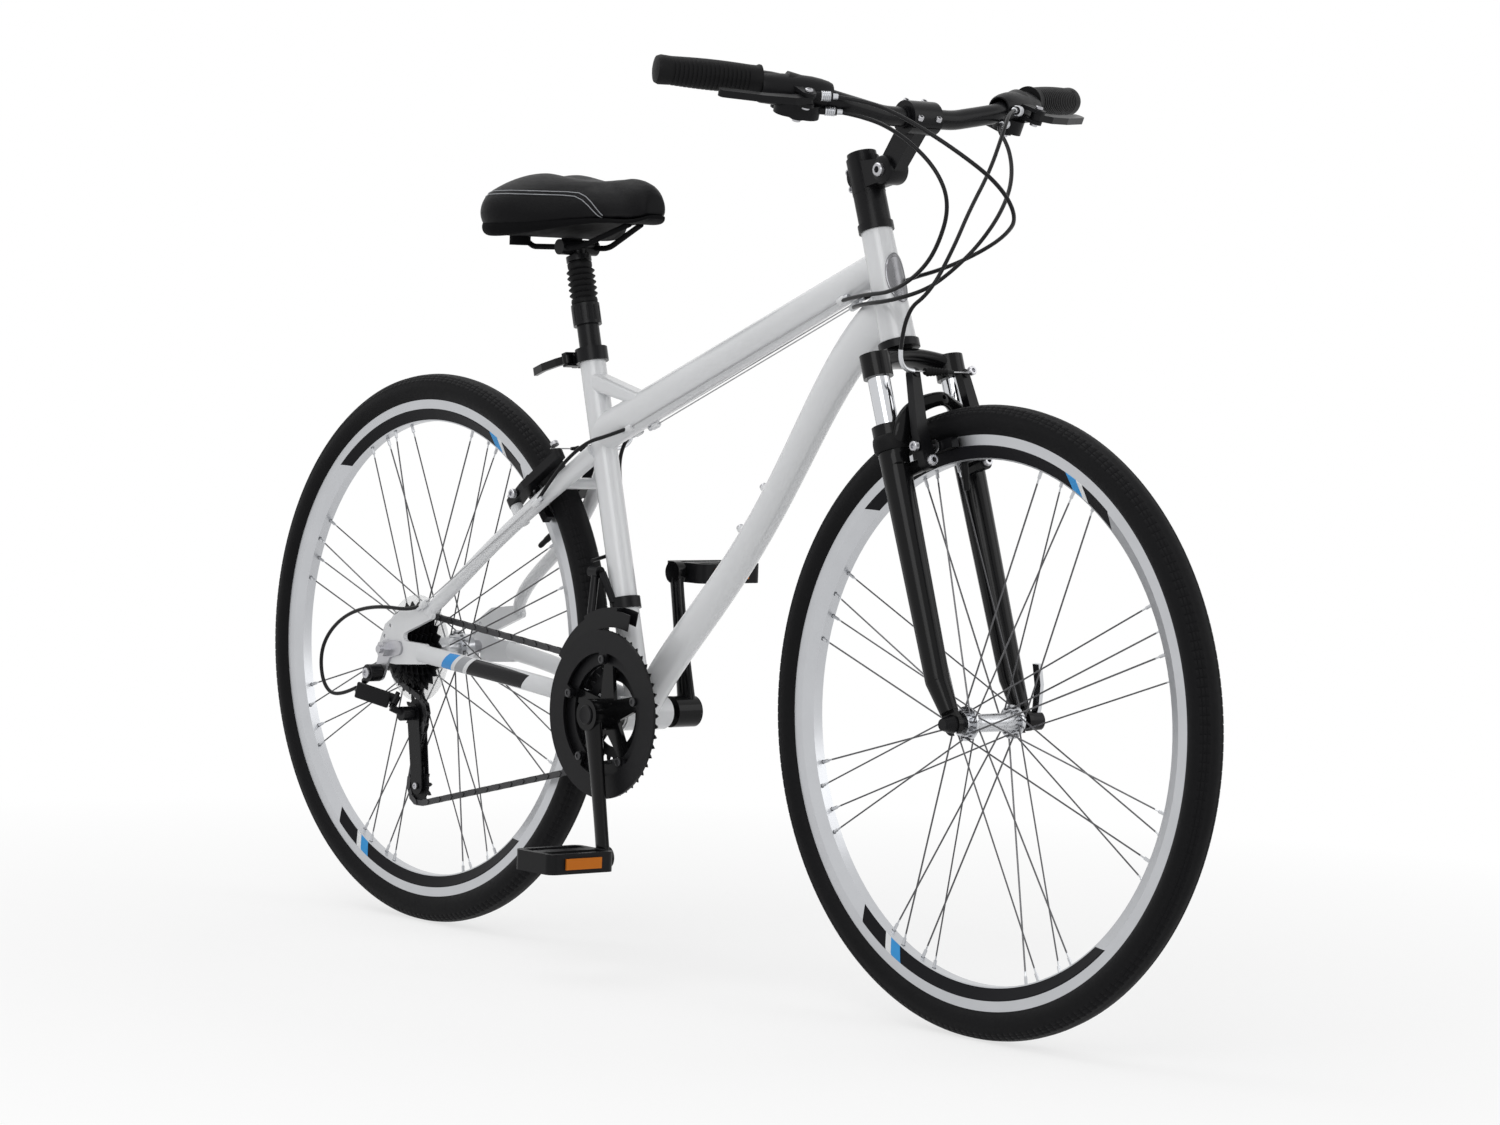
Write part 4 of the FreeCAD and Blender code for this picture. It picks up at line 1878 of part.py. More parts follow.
def bar_half(side):
    """Points of the handlebar from its middle to one end."""
    return [
        bar_point(side, dim.bar_flat, 0, 0),
        bar_point(side, dim.bar_bend_y, dim.bar_bend_rise, 0),
        bar_point(side, dim.bar_grip_y, dim.bar_grip_rise, dim.bar_grip_back),
        bar_point(side, dim.bar_end_y, dim.bar_end_rise, dim.bar_end_back),
    ]


bar_points = list(reversed(bar_half(-1))) + bar_half(1)
bar_shape = swept(bar_points, dim.bar_radius, BAR_BEND)
bulge = rod(on_axle(bar_middle, -26), on_axle(bar_middle, 26), dim.bar_bulge_radius)
bar_shape = bar_shape.fuse(bulge).cut(swept(bar_points, dim.bar_radius - dim.bar_wall, BAR_BEND))
as_node(formed("handlebar", largest(bar_shape)))

GRIP_LIP = 1.4
GRIP_INSET = 16.0
grips = []
for name, side in (("grip_right", -1), ("grip_left", 1)):
    grip_inner, grip_end = bar_half(side)[2:]
    run = (grip_end - grip_inner).normalize()
    grip_start = grip_inner + run * GRIP_INSET
    length = (grip_end - grip_start).Length
    bore = dim.bar_radius + dim.weld_gap
    grip = turned(name, (
        (bore, 0),
        (dim.grip_radius + GRIP_LIP, 0),
        (dim.grip_radius + GRIP_LIP, 4),
        (dim.grip_radius - 0.6, 6),
        (dim.grip_radius, length / 2),
        (dim.grip_radius - 0.6, length - 4),
        (dim.grip_radius + 0.6, length),
        (dim.grip_radius - 1, length + 4),
        (0, length + 4),
        (0, length + 0.3),
        (bore, length + 0.3),
    ))
    grip.Placement = Placement(grip_start, Rotation(ALONG_Z, run))
    grips.append(grip)
as_node(group("grips", grips))

PERCH_HALF = 8.5
LEVER_HALF = 4.0
LEVER_PIN = 2.5
POD_LENGTH = 32.0
PADDLE_DROP = 30.0
PADDLE_HALF = 2.0
FORWARD_DOWN = Vector(0.94, 0, -0.34)


class ControlPlace:
    """Directions at one end of the bar: along the grip, forwards and up."""

    def __init__(self, side):
        inner, grip_inner, grip_end = bar_half(side)[1:]
        self.side = side
        self.bar_run = (grip_inner - inner).normalize()
        self.along = (grip_end - grip_inner).normalize()
        self.fore = (FORWARD_DOWN - self.along * FORWARD_DOWN.dot(self.along)).normalize()
        self.up = self.along.cross(self.fore) * side * -1
        if self.up.z < 0:
            self.up = self.up * -1
        self.centre = grip_inner - self.bar_run * 29

    def at(self, along, fore, up):
        return self.centre + self.along * along + self.fore * fore + self.up * up

    def plate(self, points, radii, low, thickness):
        """A flat plate across the up direction; points are (along, fore)."""
        frame = Placement(self.at(0, 0, low), Rotation(self.along, self.fore, self.up, "XYZ"))
        flip = self.along.cross(self.fore).dot(self.up)
        flat = [Vector(a, f * flip, 0) for a, f in points]
        if flip < 0:
            frame = Placement(self.at(0, 0, low), Rotation(self.along, self.fore * -1, self.up, "XYZ"))
        return rounded_plate(flat, radii, thickness, frame)


places = (("right", ControlPlace(-1)), ("left", ControlPlace(1)))
pods = []
for name, place in places:
    reach = float(dim.lever_reach) - 10
    ring = rod(
        place.centre - place.bar_run * (POD_LENGTH / 2), place.centre + place.bar_run * (POD_LENGTH / 2),
        float(dim.bar_radius) + 5
    )
    perch = place.plate(((0, 0), (-2, reach)), (14.0, 8.5), -PERCH_HALF, 2 * PERCH_HALF)
    jaw = place.plate(
        ((-30, reach - 2), (40, reach - 2)), (12.0, 12.0), -LEVER_HALF - 0.3, 2 * LEVER_HALF + 0.6
    )
    body = place.plate(((-10, 8), (8, 2)), (17.0, 15.0), -PADDLE_DROP + 2.4, 16.0)
    pod = ring.fuse(perch).fuse(body)
    pod = pod.cut(jaw)
    pod = pod.fuse(
        rod(place.at(-2, reach, -PERCH_HALF - 1), place.at(-2, reach, PERCH_HALF + 1), LEVER_PIN)
    )
    adjuster = rod(place.at(-10, 19, 0), place.at(-34, 21, 2), 5.0)
    shift_stop = rod(place.at(-18, 12, -18), place.at(-44, 16, -16), 4.5)
    pod = pod.fuse(adjuster).fuse(shift_stop)
    pod = pod.fuse(
        rod(place.at(-4, 4, -PADDLE_DROP - PADDLE_HALF - 1), place.at(-4, 4, -PADDLE_DROP + 4), 3.0)
    )
    pod = pod.cut(swept(bar_points, dim.bar_radius + dim.weld_gap, BAR_BEND))
    pods.append(largest(pod))
as_node(formed("control_pods", Part.makeCompound(pods)))

for name, place in places:
    reach = float(dim.lever_reach) - 10
    length = float(dim.lever_length)
    blade = place.plate(
        ((-2, reach), (16, reach + 8), (50, reach + 12), (length + 4, reach + 9)), (7.0, 6.0, 5.0, 6.0),
        -LEVER_HALF, 2 * LEVER_HALF)
    blade = blade.cut(
        rod(place.at(-2, reach, -20), place.at(-2, reach, 20), LEVER_PIN + float(dim.running_gap))
    )
    as_node(formed("brake_lever_" + name, largest(blade)))
    paddle = place.plate(
        ((-4, 4), (2, -14), (8, -30)), (8.0, 6.5, 9.0), -PADDLE_DROP - PADDLE_HALF, 2 * PADDLE_HALF)
    paddle = paddle.cut(
        rod(
            place.at(-4, 4, -PADDLE_DROP - 9), place.at(-4, 4, -PADDLE_DROP + 9),
            3.0 + float(dim.running_gap)
        )
    )
    as_node(formed("shift_paddle_" + name, largest(paddle)))

# Seat: collar with release lever, sprung seatpost, boot and saddle.
COLLAR_LOW = 434.0
COLLAR_WALL = 4.0
COLLAR_HEIGHT = 17.0
COLLAR_EAR = 24.0
collar_low = on_seat_tube(COLLAR_LOW)
collar_high = on_seat_tube(COLLAR_LOW + COLLAR_HEIGHT)
collar_outer = float(dim.seat_tube_radius) + COLLAR_WALL
collar = rod(collar_low, collar_high, collar_outer)
ear_box = Part.makeBox(22, 16, COLLAR_HEIGHT, Vector(-COLLAR_EAR - 8, -8, 0))
ear_box.Placement = Placement(collar_low, seat_frame.Rotation)
collar = collar.fuse(ear_box)
collar = collar.cut(
    rod(
        on_seat_tube(COLLAR_LOW - 1), on_seat_tube(dim.seat_tube_length), float(dim.seat_tube_radius) + WELD
    )
)
collar = collar.cut(
    rod(on_seat_tube(COLLAR_LOW), on_seat_tube(COLLAR_LOW + 40), float(dim.post_radius) + 0.5)
)
ear_gap = Part.makeBox(40, 2.4, 60, Vector(-50, -1.2, -10))
ear_gap.Placement = Placement(collar_low, seat_frame.Rotation)
collar = collar.cut(ear_gap)
collar_bolt = on_seat_tube(COLLAR_LOW + COLLAR_HEIGHT / 2) - seat_fore * COLLAR_EAR
collar = collar.fuse(rod(on_axle(collar_bolt, -14), on_axle(collar_bolt, 16), 3.0))
collar = collar.fuse(rod(on_axle(collar_bolt, 8), on_axle(collar_bolt, 16), 6.5))
seat_cam = on_axle(collar_bolt, -20)
collar = collar.fuse(rod(seat_cam - seat_up * 8.5, seat_cam + seat_up * 8.5, CAM_PIN))
collar = collar.fuse(rod(on_axle(collar_bolt, -14), on_axle(collar_bolt, -8), 7.5))
for end in (-1, 1):
    cheek = Part.makeBox(9, 16, 3, Vector(-4.5, -16, -1.5))
    cheek.Placement = Placement(on_axle(collar_bolt, -8) + seat_up * (7.0 * end), seat_frame.Rotation)
    collar = collar.fuse(cheek)
as_node(formed("seat_collar", largest(collar)))
as_node(formed("seat_qr_lever", largest(release_lever(seat_cam, seat_up, seat_fore * -1, ALONG_Y * -1))))

piston_bore = dim.piston_radius + dim.running_gap
POST_FLOOR = 380.0
post_body = turned("seatpost_body", (
    (0, dim.post_bottom),
    (dim.post_radius, dim.post_bottom),
    (dim.post_radius, dim.post_collar_bottom),
    (dim.post_collar_radius, dim.post_collar_bottom),
    (dim.post_collar_radius, dim.post_collar_top),
    (piston_bore, dim.post_collar_top),
    (piston_bore, POST_FLOOR),
    (0, POST_FLOOR),
))
post_body.Placement = seat_frame
flutes = []
FLUTES = 12
for index in range(FLUTES):
    turn = 2 * math.pi * index / FLUTES
    across = seat_fore * math.cos(turn) + ALONG_Y * math.sin(turn)
    ridge = across * (float(dim.post_collar_radius) + 1.2)
    flutes.append(
        prism(
            on_seat_tube(dim.post_collar_bottom + 4) + ridge, on_seat_tube(dim.post_collar_top - 4) + ridge,
            2.2
        )
    )
flute_tool = formed("seatpost_flutes", Part.makeCompound(flutes))
as_node(cut("seatpost", post_body, flute_tool))

HEAD_FLANGE = 15.5
clamp_height = float(dim.saddle_clamp_height)
piston = rod(on_seat_tube(430), on_seat_tube(clamp_height - 4), dim.piston_radius)
piston = piston.fuse(rod(on_seat_tube(dim.boot_top + 0.3), on_seat_tube(dim.boot_top + 7), HEAD_FLANGE))
clamp_middle = on_seat_tube(clamp_height)
rail_side = float(dim.rail_spacing)
clamp = rod(on_axle(clamp_middle, -rail_side - 6), on_axle(clamp_middle, rail_side + 6), 9.5)
rail_hole_radius = float(dim.rail_radius) + WELD
piston = piston.fuse(clamp)
for side in (-1, 1):
    middle = on_axle(clamp_middle, side * rail_side)
    piston = piston.cut(rod(middle - ALONG_X * 40, middle + ALONG_X * 40, rail_hole_radius))
as_node(formed("seatpost_piston", largest(piston)))

BOOT_WAIST = 14.5
boot_length = dim.boot_top - dim.post_collar_top - 0.6
rib = boot_length / dim.boot_ribs
boot_foot = dim.post_collar_top + 0.3
boot_rings = [(dim.piston_radius + 0.4, boot_foot)]
for index in range(int(float(dim.boot_ribs))):
    low = boot_foot + rib * index
    boot_rings.append((BOOT_WAIST, low))
    boot_rings.append((dim.boot_radius, low + rib * 0.3))
    boot_rings.append((dim.boot_radius, low + rib * 0.7))
boot_rings.append((BOOT_WAIST, boot_foot + boot_length))
boot_rings.append((dim.piston_radius + 0.4, boot_foot + boot_length))
boot = turned("seatpost_boot", boot_rings)
boot.Placement = seat_frame
as_node(boot)

saddle_back = -float(dim.saddle_back_x)
saddle_top = float(dim.saddle_top)
saddle_span = float(dim.saddle_length)
half_back = float(dim.saddle_half_width)
half_nose = float(dim.saddle_nose_half_width)
# Stations of the saddle: share of the length, half width, top and bottom below the highest point.
SADDLE_STATIONS = (
    (0.0, half_back * 0.62, 26, 62),
    (0.045, half_back * 0.9, 8, 70),
    (0.18, half_back, 0, 72),
    (0.34, half_back * 0.86, 3, 68),
    (0.54, half_nose + (half_back - half_nose) * 0.36, 9, 58),
    (0.76, half_nose + (half_back - half_nose) * 0.1, 10, 54),
    (0.94, half_nose, 12, 53),
    (1.0, half_nose * 0.62, 24, 48),
)


def saddle_section(x, half, top, bottom):
    """One section: flat underneath, round sides, crowned top."""
    height = top - bottom
    left_low = Vector(x, half * 0.86, bottom)
    left_high = Vector(x, half * 0.82, bottom + height * 0.72)
    right_low = Vector(x, -half * 0.86, bottom)
    right_high = Vector(x, -half * 0.82, bottom + height * 0.72)
    edges = [
        Part.LineSegment(right_low, left_low).toShape(),
        Part.Arc(left_low, Vector(x, half, bottom + height * 0.34), left_high).toShape(),
        Part.Arc(left_high, Vector(x, 0, top), right_high).toShape(),
        Part.Arc(right_high, Vector(x, -half, bottom + height * 0.34), right_low).toShape(),
    ]
    return Part.Wire(edges)


cushion_wires = []
shell_wires = []
for share, half, top_drop, bottom_drop in SADDLE_STATIONS:
    x = saddle_back + saddle_span * share
    cushion_wires.append(saddle_section(x, half, saddle_top - top_drop, saddle_top - bottom_drop))
    shell_wires.append(
        saddle_section(x, half * 0.93, saddle_top - bottom_drop - 0.3, saddle_top - bottom_drop - 5)
    )
as_node(formed("saddle_cushion", Part.makeLoft(cushion_wires, True, False)))
shell = Part.makeLoft(shell_wires, True, False)

rail_z = clamp_middle.z
RAIL_BEND = 0.2
saddle_solids = [shell]
for side in (-1, 1):
    y = side * rail_side
    rail_points = [
        Vector(saddle_back + 24, y * 1.5, saddle_top - 78),
        Vector(saddle_back + 40, y * 1.2, rail_z),
        Vector(clamp_middle.x - 28, y, rail_z),
        Vector(clamp_middle.x + 34, y, rail_z),
        Vector(saddle_back + saddle_span * 0.84, y * 0.4, saddle_top - 60),
    ]
    saddle_solids[0] = saddle_solids[0].fuse(swept(rail_points, dim.rail_radius, RAIL_BEND))
    saddle_solids[0] = saddle_solids[0].fuse(
        rod(
            Vector(saddle_back + 30, side * 40, saddle_top - 88),
            Vector(saddle_back + 30, side * 40, saddle_top - 73), 13.0
        )
    )
as_node(formed("saddle_base", Part.makeCompound(saddle_solids[0].Solids)))


# Cables: each housing follows its route in straight runs and tangent arcs.
right_place = places[0][1]
left_place = places[1][1]
brake_line = float(dim.brake_arm_thickness) / 2 + ANCHOR_GAP
arm_top_radius = float(dim.brake_pivot_radius + dim.brake_arm_length)
arm_top_side = float(dim.brake_pivot_offset) - 4


def brake_point(frame, plane, side):
    """A point of the cable across the tops of a pair of brake arms."""
    away = 1 if plane > 0 else -1
    return frame.multVec(Vector(plane + away * brake_line, side, arm_top_radius))


def beside_top_tube(share, side, drop):
    """A point beside the top tube; share runs from the head tube to the seat tube."""
    along = top_tube_front + (top_tube_rear - top_tube_front) * share
    return along + ALONG_Y * side + top_run.cross(ALONG_Y).normalize() * drop


CABLE_SIDE = float(dim.top_tube_half_width + dim.housing_radius) + 0.6
rear_brake_route = [
    right_place.at(-35.4, 21, 2),
    right_place.at(-70, 30, 4),
    Vector(424, -46, 1000),
    Vector(430, 10, 955),
    Vector(392, 31, 905),
    beside_top_tube(0.1, CABLE_SIDE, -2),
    beside_top_tube(0.9, CABLE_SIDE, -2),
    Vector(-214, 34, 668),
    brake_point(rear_brake_frame, rear_plane, 76),
    brake_point(rear_brake_frame, rear_plane, -arm_top_side - 6),
]
front_brake_route = [
    left_place.at(-35.4, 21, 2),
    left_place.at(-70, 30, 4),
    Vector(450, 40, 990),
    Vector(452, -24, 880),
    brake_point(front_brake_frame, front_plane, -80) + Vector(4, 0, 70),
    brake_point(front_brake_frame, front_plane, -80),
    brake_point(front_brake_frame, front_plane, arm_top_side + 6),
]
rear_shift_route = [
    right_place.at(-45.4, 16, -16),
    right_place.at(-78, 24, -16),
    Vector(408, -58, 955),
    Vector(376, -36, 890),
    beside_top_tube(0.12, -CABLE_SIDE, 8),
    beside_top_tube(0.86, -CABLE_SIDE, 8),
    Vector(-205, -36, 606),
    Vector(-262, -57, 548),
    Vector(-360, -69, 474),
    Vector(-446, -81.5, 408),
    Vector(-545, -90, 392),
    Vector(-592, -93, 345),
    Vector(-570, -90, 306),
]
front_shift_route = [
    left_place.at(-45.4, 16, -16),
    left_place.at(-78, 24, -16),
    Vector(402, 66, 950),
    Vector(372, 46, 880),
    beside_top_tube(0.12, CABLE_SIDE, 10),
    beside_top_tube(0.84, CABLE_SIDE, 10),
    Vector(-163, 24, 590),
    Vector(-165, 24, 525),
    Vector(-187, 4, 500),
    Vector(-180, -22, 489),
    Vector(-168, -25, 483),
]


def housing(name, points):
    """A cable housing, its volume compared with section times length."""
    path = bent_path(points)
    solid = swept(points, dim.housing_radius)
    expected = math.pi * float(dim.housing_radius) ** 2 * path.Length
    radii = [edge.Curve.Radius for edge in path.Edges if hasattr(edge.Curve, "Radius")]
    print(
        "%s length %.0f mm, volume ratio %.3f, least bend %.1f mm" % (
            name, path.Length, solid.Volume / expected, min(radii)
        )
    )
    return solid


brake_housings = [
    housing("rear brake cable", rear_brake_route), housing("front brake cable", front_brake_route)
]
shift_housings = [
    housing("rear shift cable", rear_shift_route), housing("front shift cable", front_shift_route)
]
as_node(formed("brake_cables", Part.makeCompound(brake_housings)))
as_node(formed("shift_cables", Part.makeCompound(shift_housings)))


# Every object has to be sound before anything is written.
doc.recompute()
for thing in doc.Objects:
    if "Invalid" in thing.State or "Error" in thing.State:
        raise RuntimeError("failed object: " + thing.Label)
os.makedirs("parts", exist_ok=True)
for thing in NODES:
    shape = thing.Shape
    if shape.isNull() or not shape.isValid() or not shape.Solids:
        raise RuntimeError("unsound shape: " + thing.Label)
    shape.exportStep(os.path.join("parts", thing.Label + ".step"))
    print("%-28s solids %3d  volume %10.0f" % (thing.Label, len(shape.Solids), shape.Volume))
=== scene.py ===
"""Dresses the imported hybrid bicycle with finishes, a padded saddle, cords, tread and small fittings."""

from __future__ import annotations

import logging
import math
from dataclasses import dataclass, field, replace
from enum import Enum
from typing import Any, Sequence

import bmesh
import bpy
from mathutils import Matrix, Vector
from mathutils.bvhtree import BVHTree

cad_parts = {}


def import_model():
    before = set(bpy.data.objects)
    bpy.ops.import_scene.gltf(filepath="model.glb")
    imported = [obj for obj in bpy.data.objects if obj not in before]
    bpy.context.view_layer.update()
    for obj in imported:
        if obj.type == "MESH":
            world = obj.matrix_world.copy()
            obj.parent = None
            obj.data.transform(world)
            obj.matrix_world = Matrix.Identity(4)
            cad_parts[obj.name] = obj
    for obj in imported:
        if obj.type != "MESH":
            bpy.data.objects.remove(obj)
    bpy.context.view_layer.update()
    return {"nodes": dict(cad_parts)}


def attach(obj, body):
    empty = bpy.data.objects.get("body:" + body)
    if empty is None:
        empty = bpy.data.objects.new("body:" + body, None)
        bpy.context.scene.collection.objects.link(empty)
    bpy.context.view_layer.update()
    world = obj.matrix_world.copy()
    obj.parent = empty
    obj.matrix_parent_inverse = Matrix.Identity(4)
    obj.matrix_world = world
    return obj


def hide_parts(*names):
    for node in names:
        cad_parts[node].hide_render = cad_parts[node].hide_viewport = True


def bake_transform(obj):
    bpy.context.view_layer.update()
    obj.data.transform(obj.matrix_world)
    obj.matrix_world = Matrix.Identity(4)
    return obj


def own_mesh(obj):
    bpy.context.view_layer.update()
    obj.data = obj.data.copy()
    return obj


LOG = logging.getLogger("bicycle")
Point = tuple[float, float, float]
Colour = tuple[float, float, float]
Profile = tuple[tuple[float, float], ...]
Head = tuple[float, float]

REAR_AXLE = Vector((-0.520, 0.0, 0.349))
FRONT_AXLE = Vector((0.520, 0.0, 0.349))
CRANK_AXIS = Vector((-0.096, 0.0, 0.304))
STEER_UP = Vector((-0.33381, 0.0, 0.94264))
STEER_FORE = Vector((0.94264, 0.0, 0.33381))
SEAT_UP = Vector((-0.26724, 0.0, 0.96363))
STAY_UP = Vector((0.79481, 0.0, 0.60686))
STAY_FORE = Vector((0.60686, 0.0, -0.79481))
HEAD_BOTTOM = Vector((0.34673, 0.0, 0.76151))
SIDE = Vector((0.0, 1.0, 0.0))
FORWARDS = Vector((1.0, 0.0, 0.0))
UPWARDS = Vector((0.0, 0.0, 1.0))
BRAKE_PLANE = 0.027
CURVE_ORDER = 3
CURVE_STEPS = 10
BOLT_STEPS = 12
BOLT_HEAD: Profile = ((0.0, 0.0), (1.0, 0.0), (1.0, 0.8), (0.86, 1.0), (0.5, 1.0), (0.49, 0.45), (0.0, 0.4))


class Side(Enum):
    """The rider's two sides, each with its sign along Y."""

    RIGHT = -1
    LEFT = 1

    @property
    def label(self) -> str:
        """The side's name in piece and body names."""
        return self.name.lower()


class Grain(Enum):
    """The kinds of fine relief that a finish can have."""

    SPECKLE = "speckle"
    LEATHER = "leather"
    RINGS = "rings"


@dataclass(frozen=True)
class Finish:
    """A surface finish with its own colour, gloss and fine relief.

    The variation is how far colour and roughness wander over the surface.
    """

    name: str
    colour: Colour
    roughness: float
    metallic: float = 0.0
    coat: float = 0.0
    coat_roughness: float = 0.06
    specular: float = 0.5
    variation: float = 0.06
    variation_scale: float = 14.0
    grain: Grain = Grain.SPECKLE
    grain_scale: float = 900.0
    grain_depth: float = 0.05
    grain_distance: float = 0.001
    centre: Point = (0.0, 0.0, 0.0)


class Finishes:
    """Every plain finish of the bicycle."""

    WHITE = Finish("white_enamel", (0.74, 0.75, 0.765), 0.26, coat=0.4, variation=0.02, variation_scale=6.0,
                   grain_scale=140.0, grain_depth=0.004)
    BLACK_GLOSS = Finish("black_enamel", (0.0045, 0.0045, 0.005), 0.16, specular=0.16, variation=0.12,
                         grain_scale=300.0, grain_depth=0.012)
    BLACK_SATIN = Finish("black_satin_alloy", (0.006, 0.006, 0.007), 0.30, specular=0.15, variation=0.2,
                         grain_scale=1400.0, grain_depth=0.04)
    BLACK_PLASTIC = Finish("black_moulded_plastic", (0.006, 0.006, 0.007), 0.42, specular=0.14, variation=0.2,
                           grain_scale=1800.0, grain_depth=0.08)
    CHROME = Finish("polished_chrome", (0.58, 0.59, 0.61), 0.09, metallic=1.0, variation=0.04,
                    variation_scale=40.0, grain_scale=600.0, grain_depth=0.006)
    SILVER = Finish("satin_silver", (0.56, 0.57, 0.59), 0.30, metallic=1.0, variation=0.08,
                    variation_scale=60.0, grain_scale=1500.0, grain_depth=0.03)
    STEEL = Finish("zinc_steel", (0.46, 0.46, 0.48), 0.34, metallic=1.0, variation=0.12,
                   variation_scale=70.0, grain_scale=1500.0, grain_depth=0.05)
    DARK_STEEL = Finish("oiled_dark_steel", (0.045, 0.045, 0.048), 0.38, metallic=0.6, variation=0.3,
                        variation_scale=50.0, grain_scale=1200.0, grain_depth=0.06)
    SPOKE = Finish("dark_drawn_wire", (0.10, 0.10, 0.105), 0.32, metallic=0.8, variation=0.15,
                   variation_scale=50.0, grain_scale=2000.0, grain_depth=0.02)
    BARE_WIRE = Finish("bare_wire", (0.40, 0.40, 0.41), 0.35, metallic=1.0, variation=0.12,
                       variation_scale=90.0, grain_scale=3000.0, grain_depth=0.08)
    TYRE = Finish("tyre_rubber", (0.0048, 0.0048, 0.0055), 0.60, specular=0.10, variation=0.25,
                  variation_scale=30.0, grain_scale=1500.0, grain_depth=0.14)
    RUBBER = Finish("soft_rubber", (0.0055, 0.0055, 0.006), 0.55, specular=0.12, variation=0.2,
                    variation_scale=40.0, grain_scale=1700.0, grain_depth=0.12)
    HOUSING = Finish("cable_sheath", (0.006, 0.006, 0.007), 0.35, specular=0.18, variation=0.12,
                     variation_scale=60.0, grain_scale=1500.0, grain_depth=0.03)
    COVER = Finish("saddle_cover", (0.0045, 0.0045, 0.0052), 0.46, specular=0.09, variation=0.22,
                   variation_scale=22.0, grain=Grain.LEATHER, grain_scale=520.0, grain_depth=0.2)
    BADGE = Finish("badge_metal", (0.20, 0.20, 0.21), 0.26, metallic=1.0, variation=0.12,
                   variation_scale=90.0, grain_scale=1600.0, grain_depth=0.05)
    SHELL = Finish("saddle_shell", (0.004, 0.004, 0.0045), 0.75, specular=0.06, variation=0.2,
                   grain_scale=1800.0, grain_depth=0.08)
    PIPING = Finish("grey_piping", (0.30, 0.31, 0.33), 0.45, variation=0.1, grain_scale=2600.0,
                    grain_depth=0.12)


class Paints:
    """Colours laid over a finish in stripes, panels and small parts."""

    RIM_PANEL: Colour = (0.009, 0.009, 0.011)
    RIM_BLUE: Colour = (0.06, 0.33, 0.72)
    RIM_WHITE: Colour = (0.82, 0.83, 0.84)
    NIPPLE: Colour = (0.55, 0.56, 0.58)
    AMBER: Colour = (0.60, 0.17, 0.015)
    STAY_BLUE: Colour = (0.05, 0.30, 0.70)
    STAY_GREY: Colour = (0.36, 0.37, 0.39)
    STAY_PANEL: Colour = (0.008, 0.008, 0.009)
    PROTECTOR: Colour = (0.85, 0.86, 0.87)


def computed(tree: Any, kind: str, operation: str, *inputs: Any) -> Any:
    """Adds a Math or Vector Math node and fills its inputs.

    Args:
        tree: The node tree.
        kind: Math or VectorMath.
        operation: The node's operation.
        inputs: Sockets, numbers or vectors, in the order of the node's inputs.

    Returns:
        The node.
    """
    node = tree.nodes.new("ShaderNode" + kind)
    node.operation = operation
    for socket, value in zip(node.inputs, inputs):
        if isinstance(value, bpy.types.NodeSocket):
            tree.links.new(value, socket)
        else:
            socket.default_value = value
    return node


